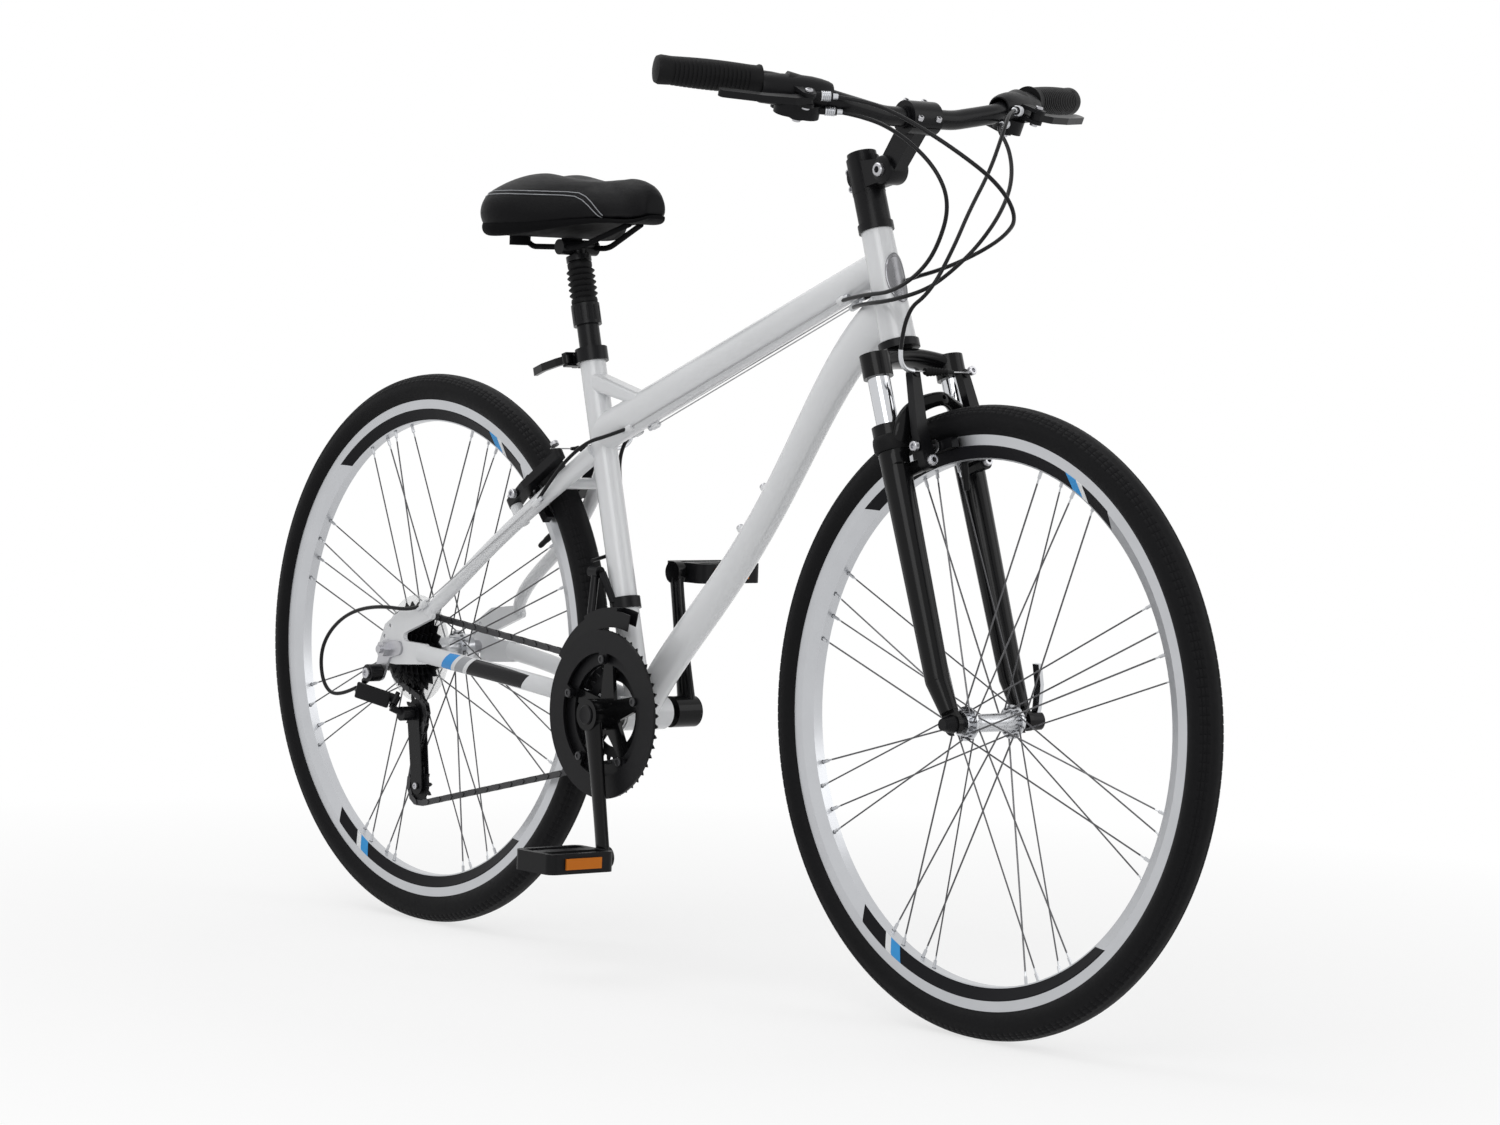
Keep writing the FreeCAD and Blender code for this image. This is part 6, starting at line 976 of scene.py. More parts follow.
@dataclass
class Cables:
    """The four cables: sheaths from the levers, bare wire along the frame, sheaths and guide pipes."""

    bench: Bench
    radii: dict[Lead, float] = field(default_factory=lambda: {
        Lead.SHEATH: 0.0024, Lead.WIRE: 0.0008, Lead.PIPE: 0.0027})
    runs: tuple[CordRun, ...] = (
        CordRun("rear_brake_sheath", "brake_cables", Lead.SHEATH, (
            (0.3779, -0.1357, 1.0278), (0.3994, -0.1072, 1.0247), (0.442, -0.09, 1.008),
            (0.497, -0.063, 0.974), (0.534, -0.028, 0.937), (0.53, 0.004, 0.902), (0.488, 0.026, 0.883),
            (0.438, 0.034, 0.864), (0.378, 0.034, 0.8446), (0.318, 0.031, 0.8319),
            (0.2571, 0.0125, 0.8047)), ("frame", "fork_upper")),
        CordRun("rear_brake_wire", "brake_cables", Lead.WIRE, (
            (0.2571, 0.0125, 0.8047), (-0.1309, 0.0125, 0.6411)), ("frame",)),
        CordRun("rear_brake_tail_sheath", "brake_cables", Lead.SHEATH, (
            (-0.1309, 0.0125, 0.6411), (-0.16, 0.024, 0.634), (-0.195, 0.036, 0.65), (-0.226, 0.07, 0.664),
            (-0.2306, 0.078, 0.648), (-0.2306, 0.078, 0.63)), ("frame",)),
        CordRun("rear_brake_pipe", "brake_cables", Lead.PIPE, (
            (-0.2306, 0.078, 0.634), (-0.2306, 0.078, 0.6159), (-0.2306, 0.044, 0.6159)),
            ("rear_brake_arm_left",)),
        CordRun("rear_brake_pull", "brake_cables", Lead.WIRE, (
            (-0.2306, 0.046, 0.6159), (-0.2306, -0.046, 0.6159)), ("rear_brake_arm_right",)),
        CordRun("front_brake_sheath", "brake_cables", Lead.SHEATH, (
            (0.3779, 0.1357, 1.0278), (0.3994, 0.1072, 1.0247), (0.421, 0.079, 1.0), (0.4305, 0.052, 0.955),
            (0.4474, 0.008, 0.9097), (0.4655, -0.03, 0.867), (0.464, -0.06, 0.818), (0.4285, -0.066, 0.795),
            (0.425, -0.066, 0.75)), ("fork_upper", "fork_lower"),
            (0.45, 0.0, 0.93), (0.43, 0.0, 0.76)),
        CordRun("front_brake_pipe", "brake_cables", Lead.PIPE, (
            (0.4253, -0.066, 0.754), (0.4236, -0.066, 0.7307), (0.4236, -0.044, 0.7307)),
            ("front_brake_arm_right",)),
        CordRun("front_brake_pull", "brake_cables", Lead.WIRE, (
            (0.4236, -0.046, 0.7307), (0.4236, 0.046, 0.7307)), ("front_brake_arm_left",)),
        CordRun("rear_shift_sheath", "shift_cables", Lead.SHEATH, (
            (0.3713, -0.123, 1.0121), (0.3905, -0.0959, 1.0076), (0.437, -0.085, 0.988),
            (0.478, -0.07, 0.952), (0.492, -0.061, 0.912), (0.46, -0.05, 0.864), (0.422, -0.043, 0.836),
            (0.371, -0.036, 0.8165), (0.3164, -0.0285, 0.8135), (0.2596, -0.0125, 0.8058)),
            ("frame", "fork_upper")),
        CordRun("rear_shift_wire", "shift_cables", Lead.WIRE, (
            (0.2596, -0.0125, 0.8058), (-0.1183, -0.0125, 0.6464)), ("frame",)),
        CordRun("rear_shift_tail_sheath", "shift_cables", Lead.SHEATH, (
            (-0.1183, -0.0125, 0.6464), (-0.1457, -0.0245, 0.635), (-0.1754, -0.0325, 0.6267),
            (-0.2045, -0.042, 0.603), (-0.2275, -0.05, 0.573), (-0.2475, -0.0535, 0.5475)), ("frame",)),
        CordRun("rear_shift_stay_wire", "shift_cables", Lead.WIRE, (
            (-0.2475, -0.0535, 0.5475), (-0.4353, -0.0795, 0.4128)), ("frame",)),
        CordRun("rear_shift_loop_sheath", "shift_cables", Lead.SHEATH, (
            (-0.4353, -0.0795, 0.4128), (-0.4516, -0.0845, 0.4025), (-0.5191, -0.092, 0.4045),
            (-0.5778, -0.095, 0.3916), (-0.62, -0.096, 0.3641), (-0.638, -0.096, 0.3321),
            (-0.63, -0.095, 0.294), (-0.603, -0.092, 0.281), (-0.566, -0.0885, 0.2965)), ("frame",)),
        CordRun("front_shift_sheath", "shift_cables", Lead.SHEATH, (
            (0.3713, 0.123, 1.0121), (0.3905, 0.0959, 1.0076), (0.42, 0.091, 0.982), (0.449, 0.07, 0.945),
            (0.469, 0.036, 0.9085), (0.469, 0.004, 0.8715), (0.4523, -0.018, 0.8425),
            (0.4285, -0.034, 0.8205), (0.3714, -0.038, 0.807), (0.3164, -0.0295, 0.803),
            (0.2625, 0.004, 0.7989)), ("frame", "fork_upper")),
        CordRun("front_shift_wire", "shift_cables", Lead.WIRE, (
            (0.2625, 0.004, 0.7989), (-0.0877, 0.004, 0.6512)), ("frame",)),
        CordRun("front_shift_tail_sheath", "shift_cables", Lead.SHEATH, (
            (-0.0877, 0.004, 0.6512), (-0.106, 0.014, 0.6455), (-0.136, 0.033, 0.648),
            (-0.172, 0.036, 0.645), (-0.19, 0.0275, 0.612), (-0.1755, 0.0215, 0.565),
            (-0.1625, 0.0205, 0.51), (-0.1665, 0.0105, 0.492), (-0.173, -0.008, 0.486),
            (-0.168, -0.025, 0.483)), ("frame",)),
    )

    def build(self) -> None:
        """Makes each stretch as a smooth cord; one with a single body follows it, and one between two bodies
        stays where it is.
        """
        finishes = {Lead.SHEATH: Finishes.HOUSING, Lead.WIRE: Finishes.BARE_WIRE, Lead.PIPE: Finishes.SILVER}
        for run in self.runs:
            radius = self.radii[run.lead]
            line = as_mesh(run.name + "_line", nurbs(run.name + "_line", run.points))
            bpy.data.meshes.remove(line)
            mesh = tube_mesh(run.name, run.points, radius)
            for polygon in mesh.polygons:
                polygon.use_smooth = True
            cord = shown(run.name, mesh)
            put_on(cord, self.bench.palette.plain(finishes[run.lead]))
            if len(run.bodies) == 2:
                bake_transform(cord)
            else:
                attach(cord, run.bodies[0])
            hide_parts(run.node)
            LOG.info("cord %s", run.name)


@dataclass
class Cockpit:
    """The stem's round joint and bolts, and the grips, housings, adjusters and screws of the controls.

    Places on the controls are in millimetres along the grip, forwards and up. An adjuster has a root, a tip
    and a radius, and a screw has a place, the way that it faces and a head.
    """

    bench: Bench
    stem_pivot: Vector = field(default_factory=lambda: Vector((0.322, 0.0, 0.954)))
    stem_low: Vector = field(default_factory=lambda: Vector((0.28795, 0.0, 0.92751)))
    bar_middle: Vector = field(default_factory=lambda: Vector((0.366, 0.0, 1.012)))
    grip_inner: Point = (0.334, -0.186, 1.042)
    grip_outer: Point = (0.284, -0.308, 1.049)
    grip_inset: float = 0.016
    grip_radius: float = 0.0158
    bar_radius: float = 0.0112
    rib_count: int = 18
    rib_start: float = 0.012
    rib_end: float = 0.014
    rib_depth: float = 0.0009
    palm_edge: float = 1.4
    palm_swell: float = 0.0012
    finger_droop: float = 0.6
    boss_half_width: float = 0.0152
    angle_head: Head = (0.0078, 0.0055)
    clamp_lifts: tuple[float, float] = (0.011, 0.031)
    clamp_back: float = 0.0178
    clamp_side: float = 0.0065
    clamp_head: Head = (0.0042, 0.004)
    bar_bolt_rise: float = 0.0158
    bar_bolt_ahead: float = 0.0088
    bar_bolt_side: float = 0.0135
    bar_bolt_head: Head = (0.0038, 0.0045)
    housing_start: Point = (-38.0, 2.0, -2.0)
    adjusters: tuple[tuple[Point, Point, float], ...] = (
        ((-10, 19, 0), (-34, 21, 2), 0.0052), ((-18, 12, -18), (-44, 16, -16), 0.0047))
    adjuster_set_back: float = 0.013
    notches: int = 4
    notch_start: float = 0.0015
    notch_pitch: float = 0.0022
    screws: tuple[tuple[Point, int, Head], ...] = (
        ((-2, 34, 9.2), 1, (0.0046, 0.0025)), ((-2, 34, -9.2), -1, (0.0046, 0.0025)),
        ((-4, 4, -32.8), -1, (0.0048, 0.0025)))
    centre: Point = (0.34571, -0.16039, 1.03505)
    along: Point = (-0.37869, -0.924, 0.05302)
    fore: Point = (0.86124, -0.37279, -0.34539)
    upward: Point = (0.3389, -0.08513, 0.93696)

    def build(self) -> None:
        """Makes the cockpit's small pieces."""
        self._stem_boss()
        self._stem_bolts()
        for side in Side:
            self._grip(side)
            self._housing(side)
            self._adjusters(side)
            self._lever_pivot(side)

    @staticmethod
    def _mirrored(point: Point, side: Side) -> Vector:
        """A point or direction of the right-hand controls, carried to a side."""
        return Vector((point[0], point[1] * -side.value, point[2]))

    def _at(self, side: Side, along: float, fore: float, up: float) -> Vector:
        """A point of the controls, given in millimetres along the grip, forwards and up.

        Args:
            side: The rider's side.
            along: How far out along the grip.
            fore: How far forwards.
            up: How far up.

        Returns:
            The point.
        """
        spot = self._mirrored(self.centre, side)
        for axis, distance in ((self.along, along), (self.fore, fore), (self.upward, up)):
            spot = spot + self._mirrored(axis, side) * (distance / 1000)
        return spot

    def _stem_boss(self) -> None:
        """The round joint that the stem's angle is set at."""
        shape = bmesh.new()
        half = self.boss_half_width
        spun(shape, [(0.0, -half), (0.0125, -half), (0.0158, -0.0135), (0.0165, -0.011), (0.0165, 0.011),
                     (0.0158, 0.0135), (0.0125, half), (0.0, half)], 40, facing(self.stem_pivot, SIDE))
        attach(self.bench.piece("stem_boss", shape, Finishes.BLACK_SATIN, "black_alloy"), "fork_upper")

    def _stem_bolts(self) -> None:
        """The heads at both ends of the angle bolt and of two clamp bolts, and the bar clamp's four bolts."""
        shape = bmesh.new()
        run = (self.bar_middle - self.stem_pivot).normalized()
        rise = SIDE.cross(run)
        for side in Side:
            outward = SIDE * side.value
            angle_bolt = self.stem_pivot + outward * self.boss_half_width
            socket_bolt(shape, facing(angle_bolt, outward), self.angle_head)
            for lift in self.clamp_lifts:
                spot = self.stem_low + STEER_UP * lift - STEER_FORE * self.clamp_back
                socket_bolt(shape, facing(spot + outward * self.clamp_side, outward), self.clamp_head)
            for turn in (1, -1):
                spot = self.bar_middle + rise * (turn * self.bar_bolt_rise) + run * self.bar_bolt_ahead
                socket_bolt(shape, facing(spot + outward * self.bar_bolt_side, run), self.bar_bolt_head)
        bolts = self.bench.piece("stem_bolts", shape, Finishes.STEEL, "steel")
        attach(bolts, "fork_upper")

    def _grip(self, side: Side) -> None:
        """A rubber grip with a smooth palm, ribs under the fingers and a domed end.

        Args:
            side: The rider's side.
        """
        inner = self._mirrored(self.grip_inner, side)
        outer = self._mirrored(self.grip_outer, side)
        run = (outer - inner).normalized()
        start = inner + run * self.grip_inset
        length = (outer - start).length
        radius = self.grip_radius
        first, last = self.rib_start, length - self.rib_end
        valley = radius - self.rib_depth
        step = (last - first) / self.rib_count
        profile = [(self.bar_radius, 0.0), (radius + 0.0012, 0.0), (radius + 0.0014, 0.002), (radius, 0.005)]
        for index in range(self.rib_count):
            base = first + step * index
            profile += [(radius, base), (radius, base + step * 0.55), (valley, base + step * 0.65),
                        (valley, base + step * 0.95)]
        profile += [(radius, last), (radius + 0.0006, length - 0.002), (radius - 0.001, length + 0.002),
                    (radius * 0.6, length + 0.0036), (0.0, length + 0.004)]
        shape = bmesh.new()
        spun(shape, profile, 48, Matrix.Identity(4))
        for vert in shape.verts:
            if not first <= vert.co.z <= last:
                continue
            across = Vector((vert.co.x, vert.co.y, 0.0))
            palm = min(max(0.5 - across.normalized().x * self.palm_edge, 0.0), 1.0)
            swell = self.palm_swell * math.sin(math.pi * (vert.co.z - first) / (last - first))
            across *= (across.length + (radius - across.length) * palm + swell) / across.length
            vert.co.xy = across.xy
        fingers = self._mirrored(self.fore, side) - self._mirrored(self.upward, side) * self.finger_droop
        bmesh.ops.transform(shape, matrix=facing(start, run, fingers), verts=shape.verts)
        grip = self.bench.piece(f"grip_{side.label}", shape, Finishes.RUBBER, "grip_rubber")
        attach(grip, "fork_upper")
        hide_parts("grips")

    def _housing(self, side: Side) -> None:
        """The smooth moulded cover that runs from the grip over the clamp of the controls.

        Args:
            side: The rider's side.
        """
        run = self._mirrored(self.along, side)
        start = self._at(side, *self.housing_start)
        shape = bmesh.new()
        spun(shape, [(self.bar_radius, 0.0), (0.0128, 0.0), (0.0146, 0.004), (0.0166, 0.013), (0.0180, 0.024),
                     (0.0184, 0.038), (0.0180, 0.054), (0.0172, 0.068), (0.0168, 0.080), (0.0160, 0.0825),
                     (self.bar_radius, 0.0825)], 40, facing(start, run))
        housing = self.bench.piece(f"control_housing_{side.label}", shape, Finishes.BLACK_PLASTIC,
                                   "black_plastic")
        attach(housing, "fork_upper")

    def _adjusters(self, side: Side) -> None:
        """Knurled adjusters where the two sheaths leave the controls.

        Args:
            side: The rider's side.
        """
        shape = bmesh.new()
        for root, end, radius in self.adjusters:
            tip = self._at(side, *end)
            run = (tip - self._at(side, *root)).normalized()
            profile = [(0.0, 0.0), (radius + 0.0008, 0.0)]
            for notch in range(self.notches):
                base = self.notch_start + notch * self.notch_pitch
                profile += [(radius + 0.0008, base), (radius + 0.0001, base + 0.0007),
                            (radius + 0.0008, base + 0.0014)]
            profile += [(radius + 0.0006, 0.0105), (0.0036, 0.012), (0.0032, 0.019), (0.0026, 0.0195),
                        (0.0, 0.0195)]
            spun(shape, profile, 18, facing(tip - run * self.adjuster_set_back, run))
        adjusters = self.bench.piece(f"cable_adjusters_{side.label}", shape, Finishes.SILVER, "silver_alloy")
        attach(adjusters, "fork_upper")

    def _lever_pivot(self, side: Side) -> None:
        """Screw heads on the lever's pin and on the paddle's pin.

        Args:
            side: The rider's side.
        """
        shape = bmesh.new()
        upward = self._mirrored(self.upward, side)
        for spot, way, head in self.screws:
            socket_bolt(shape, facing(self._at(side, *spot), upward * way), head)
        heads = self.bench.piece(f"control_screws_{side.label}", shape, Finishes.STEEL, "steel")
        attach(heads, "fork_upper")


@dataclass
class Fork:
    """Wiper seals of the suspension fork."""

    bench: Bench
    leg_side: float = 0.055
    leg_ahead: float = 0.016
    leg_top: float = -0.116
    stanchion_radius: float = 0.0127
    seal_gap: float = 0.0003
    seal_drop: float = 0.018

    def build(self) -> None:
        """Makes a seal at the top of each leg."""
        for side in Side:
            foot = HEAD_BOTTOM + STEER_FORE * self.leg_ahead + SIDE * (side.value * self.leg_side)
            shape = bmesh.new()
            inside = self.stanchion_radius + self.seal_gap
            profile = [(inside, 0.0), (0.0196, 0.0), (0.0206, 0.003), (0.0208, 0.011), (0.0202, 0.0155),
                       (0.0186, 0.018), (0.0160, 0.0184), (inside, 0.0184)]
            spun(shape, profile, 40, facing(foot + STEER_UP * (self.leg_top - self.seal_drop), STEER_UP),
                 closed=True)
            seal = self.bench.piece(f"wiper_seal_{side.label}", shape, Finishes.RUBBER, "grip_rubber")
            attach(seal, "fork_lower")


@dataclass
class Brake:
    """Bolts, shoes' nuts and the rubber boot of one pair of brake arms."""

    bench: Bench
    label: str
    origin: Vector
    ahead: Vector
    upward: Vector
    plane: float
    pipe_side: Side
    half_arm: float = 0.0056
    pivot_side: float = 0.041
    pivot_height: float = 0.290
    nut_side: float = 0.0535
    washer_side: float = 0.0258
    shoe_height: float = 0.3085
    anchor_side: float = 0.037
    anchor_reach: float = 0.0085
    wire_height: float = 0.392
    wire_reach: float = 0.0095
    pivot_head: Head = (0.0062, 0.006)
    nut_head: Head = (0.0058, 0.0055)
    anchor_head: Head = (0.0052, 0.005)
    washer: Profile = ((0.0, 0.0), (0.0075, 0.0), (0.0075, 0.0016), (0.0, 0.0016))
    boot_start: float = 0.0275
    boot_length: float = 0.042
    boot_kept: float = 0.7
    pleats: int = 7
    pleat_pitch: float = 0.0045
    pleat_radius: float = 0.0056
    pleat_taper: float = 0.0003

    @property
    def _front(self) -> int:
        """One where the arms' outer face looks ahead, and minus one where it looks back."""
        return 1 if self.plane > 0 else -1

    def _at(self, ahead: float, side: float, up: float) -> Vector:
        """A point in the brake's own frame."""
        return self.origin + self.ahead * ahead + SIDE * side + self.upward * up

    def build(self) -> None:
        """Makes the brake's small pieces."""
        out = self.ahead * self._front
        face = self.plane + self._front * self.half_arm
        for side in Side:
            shape = bmesh.new()
            pivot = self._at(face, side.value * self.pivot_side, self.pivot_height)
            nut = self._at(self.plane, side.value * self.nut_side, self.shoe_height)
            seat = self._at(self.plane, side.value * self.washer_side, self.shoe_height)
            socket_bolt(shape, facing(pivot, out), self.pivot_head)
            socket_bolt(shape, facing(nut, SIDE * side.value), self.nut_head)
            spun(shape, self.washer, 18, facing(seat, SIDE * side.value))
            if side is not self.pipe_side:
                anchor = self._at(face + self._front * self.anchor_reach, side.value * self.anchor_side,
                                  self.wire_height)
                socket_bolt(shape, facing(anchor, out), self.anchor_head)
            bolts = self.bench.piece(f"{self.label}_brake_bolts_{side.label}", shape, Finishes.STEEL, "steel")
            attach(bolts, f"{self.label}_brake_arm_{side.label}")
        self._boot()

    def _boot(self) -> None:
        """The pleated rubber boot on the wire between the arms."""
        line = self.plane + self._front * self.wire_reach
        start = self._at(line, self.pipe_side.value * self.boot_start, self.wire_height)
        run = SIDE * -self.pipe_side.value
        profile = [(0.0012, 0.0), (0.0040, 0.0)]
        for pleat in range(self.pleats):
            base = 0.002 + pleat * self.pleat_pitch
            swell = self.pleat_radius - self.pleat_taper * pleat
            profile += [(swell - 0.0018, base), (swell, base + 0.0022)]
        profile += [(0.0026, 0.036), (0.0020, self.boot_length), (0.0012, self.boot_length)]
        shape = bmesh.new()
        spun(shape, profile, 20, facing(start, run), closed=True)
        boot = self.bench.piece(f"{self.label}_brake_boot", shape, Finishes.RUBBER, "grip_rubber")
        holder = Side(-self.pipe_side.value).label
        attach(boot, f"{self.label}_brake_arm_{holder}")
        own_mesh(boot)


@dataclass
class Drivetrain:
    """Chainring bolts, crank caps, the rear derailleur's screws and plate, and the pedals' reflectors."""

    bench: Bench
    ring_bolt_circle: float = 0.066
    ring_bolt_count: int = 5
    ring_bolt_start: float = 90.0
    ring_bolt_head: Head = (0.0052, 0.0018)
    pulley_head: Head = (0.0042, 0.0022)
    hanger_head: Head = (0.0068, 0.003)
    cap: Profile = ((0.0, 0.0), (0.0118, 0.0), (0.0118, 0.0012), (0.0105, 0.0022), (0.0085, 0.0018),
                    (0.0, 0.0018))
    guard_face: float = -0.0615
    boss_face: float = 0.082
    pulley_face: float = -0.0455
    pedal_half_depth: float = 0.0362
    pedal_centres: tuple[tuple[Side, float], ...] = ((Side.RIGHT, -0.05608), (Side.LEFT, -0.13592))
    hanger_bolt: Point = (-0.533, -0.0958, 0.318)
    cover_size: Point = (0.050, 0.005, 0.021)
    cover_edge: float = 0.0022
    cover_lift: float = 0.0122
    foot_size: Point = (0.012, 0.010, 0.008)
    foot_drop: float = 0.006
    link_high: Vector = field(default_factory=lambda: Vector((-0.556, -0.088, 0.296)))
    link_low: Vector = field(default_factory=lambda: Vector((-0.51, -0.068, 0.285)))
    guide_axis: Vector = field(default_factory=lambda: Vector((-0.503, 0.0, 0.268)))
    tension_axis: Vector = field(default_factory=lambda: Vector((-0.49013, 0.0, 0.17690)))

    def build(self) -> None:
        """Makes the drivetrain's small pieces and paints the reflectors."""
        self._ring_bolts()
        self._crank_caps()
        self._derailleur_screws()
        self._derailleur_covers()
        for side, centre in self.pedal_centres:
            self._reflectors(side, centre)

    def _ring_bolts(self) -> None:
        """Five bolts through the guard and the chainrings."""
        shape = bmesh.new()
        for index in range(self.ring_bolt_count):
            turn = math.radians(self.ring_bolt_start + 360.0 / self.ring_bolt_count * index)
            spot = CRANK_AXIS + Vector((math.cos(turn), 0.0, math.sin(turn))) * self.ring_bolt_circle
            socket_bolt(shape, facing(spot + SIDE * self.guard_face, -SIDE), self.ring_bolt_head)
        bolts = self.bench.piece("chainring_bolts", shape, Finishes.DARK_STEEL, "dark_steel")
        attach(bolts, "crank")

    def _crank_caps(self) -> None:
        """A plastic dust cap on each crank boss."""
        shape = bmesh.new()
        for side in Side:
            spot = CRANK_AXIS + SIDE * (side.value * self.boss_face)
            spun(shape, self.cap, 28, facing(spot, SIDE * side.value))
        caps = self.bench.piece("crank_caps", shape, Finishes.BLACK_PLASTIC, "black_plastic")
        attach(caps, "crank")

    def _derailleur_screws(self) -> None:
        """Screws of the two pulleys and the bolt that holds the rear derailleur to its hanger."""
        shape = bmesh.new()
        for axis in (self.guide_axis, self.tension_axis):
            socket_bolt(shape, facing(axis + SIDE * self.pulley_face, -SIDE), self.pulley_head)
        screws = self.bench.piece("pulley_screws", shape, Finishes.STEEL, "steel")
        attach(screws, "rd_cage")
        shape = bmesh.new()
        socket_bolt(shape, facing(Vector(self.hanger_bolt), -SIDE), self.hanger_head)
        hanger = self.bench.piece("derailleur_bolt", shape, Finishes.STEEL, "steel")
        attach(hanger, "frame")

    def _derailleur_covers(self) -> None:
        """The broad outer plate of the rear derailleur's link, with rounded edges and a foot."""
        shape = bmesh.new()
        bmesh.ops.create_cube(shape, size=1.0)
        bmesh.ops.scale(shape, vec=self.cover_size, verts=shape.verts)
        bmesh.ops.bevel(shape, geom=shape.edges[:], offset=self.cover_edge, segments=3, profile=0.5,
                        affect="EDGES", material=-1)
        foot = bmesh.ops.create_cube(shape, size=1.0)["verts"]
        bmesh.ops.scale(shape, vec=self.foot_size, verts=foot)
        bmesh.ops.translate(shape, vec=(0.0, -self.foot_drop, 0.0), verts=foot)
        run = (self.link_low - self.link_high).normalized()
        out = run.cross(UPWARDS).normalized()
        turned = Matrix((run, out, run.cross(out))).transposed().to_4x4()
        middle = (self.link_low + self.link_high) / 2 + out * self.cover_lift
        bmesh.ops.transform(shape, matrix=Matrix.Translation(middle) @ turned, verts=shape.verts)
        plate = self.bench.piece("derailleur_link_cover", shape, Finishes.BLACK_SATIN, "black_alloy")
        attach(plate, "rd_link")

    def _reflectors(self, side: Side, centre: float) -> None:
        """Black plastic pedals whose front and rear faces carry amber reflectors.

        Args:
            side: The pedal's side.
            centre: Where the pedal's spindle is along X.
        """
        palette = self.bench.palette
        material = palette.plain(Finishes.BLACK_PLASTIC, f"pedal_plastic_{side.label}")
        place = palette.coordinates(material)
        across = palette.math(material, "SUBTRACT", place.outputs["X"], centre)
        away = palette.math(material, "ABSOLUTE", across)
        amber = palette.math(material, "GREATER_THAN", away, self.pedal_half_depth)
        palette.painted_over(material, amber, Paints.AMBER)
        put_on(self.bench.nodes[f"pedal_{side.label}"], material)


@dataclass
class FrameFittings:
    """The plain head badge, cable stops and boss screws of the frame."""

    bench: Bench
    badge_lift: float = 0.070
    badge_half_width: float = 0.0150
    badge_half_height: float = 0.029
    badge_stand: float = 0.0014
    badge_rim: float = 0.0012
    badge: Profile = ((0.0, 0.0), (0.3, 0.0), (0.6, 0.0), (0.84, 0.0), (0.87, 0.6), (0.96, 0.6), (1.0, 0.2),
                      (1.0, -2.0))
    head_radius: float = 0.0197
    boss_reach: float = 0.032
    boss_stand: float = 0.0212
    boss_head: Head = (0.0046, 0.003)
    stop: Profile = ((0.0, -0.004), (0.0034, -0.004), (0.0043, -0.002), (0.0043, 0.007), (0.0036, 0.008),
                     (0.0, 0.008))
    ferrule: Profile = ((0.0, 0.006), (0.0031, 0.006), (0.0031, 0.0135), (0.0027, 0.0145), (0.0, 0.0145))
    boss_middle: Vector = field(default_factory=lambda: Vector((0.1175, 0.0, 0.549)))
    boss_run: Vector = field(default_factory=lambda: Vector((0.6195, 0.0, 0.7850)))

    def build(self) -> None:
        """Makes the frame's fittings."""
        self._badge()
        self._boss_screws()
        self._stops()

    def _badge(self) -> None:
        """A bare oval plate with a raised rim, bent round the head tube."""
        shape = bmesh.new()
        spun(shape, self.badge, 48, Matrix.Identity(4))
        middle = HEAD_BOTTOM + STEER_UP * self.badge_lift
        for vert in shape.verts:
            turn = vert.co.x * self.badge_half_width / self.head_radius
            radius = self.head_radius + self.badge_stand + vert.co.z * self.badge_rim
            spoke = STEER_FORE * math.cos(turn) + SIDE * math.sin(turn)
            vert.co = middle + STEER_UP * (vert.co.y * self.badge_half_height) + spoke * radius
        badge = self.bench.piece("head_badge", shape, Finishes.BADGE, "silver_alloy")
        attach(badge, "frame")

    def _boss_screws(self) -> None:
        """The screws that close the two bottle bosses."""
        shape = bmesh.new()
        out = self.boss_run.cross(SIDE).normalized()
        for end in (-1, 1):
            spot = self.boss_middle + self.boss_run * (end * self.boss_reach) + out * self.boss_stand
            socket_bolt(shape, facing(spot, out), self.boss_head)
        screws = self.bench.piece("boss_screws", shape, Finishes.STEEL, "steel")
        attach(screws, "frame")

    def _stops(self) -> None:
        """The white stops that the sheaths end in, with their metal ferrules."""
        stops = bmesh.new()
        ferrules = bmesh.new()
        for run in Cables.runs:
            if run.lead is not Lead.WIRE or run.bodies != ("frame",):
                continue
            first, last = Vector(run.points[0]), Vector(run.points[-1])
            for spot, out in ((first, first - last), (last, last - first)):
                spun(stops, self.stop, 18, facing(spot, out))
                spun(ferrules, self.ferrule, 16, facing(spot, out))
        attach(self.bench.piece("cable_stops", stops, Finishes.WHITE, "white_paint"), "frame")
        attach(self.bench.piece("stop_ferrules", ferrules, Finishes.SILVER, "silver_alloy"), "frame")


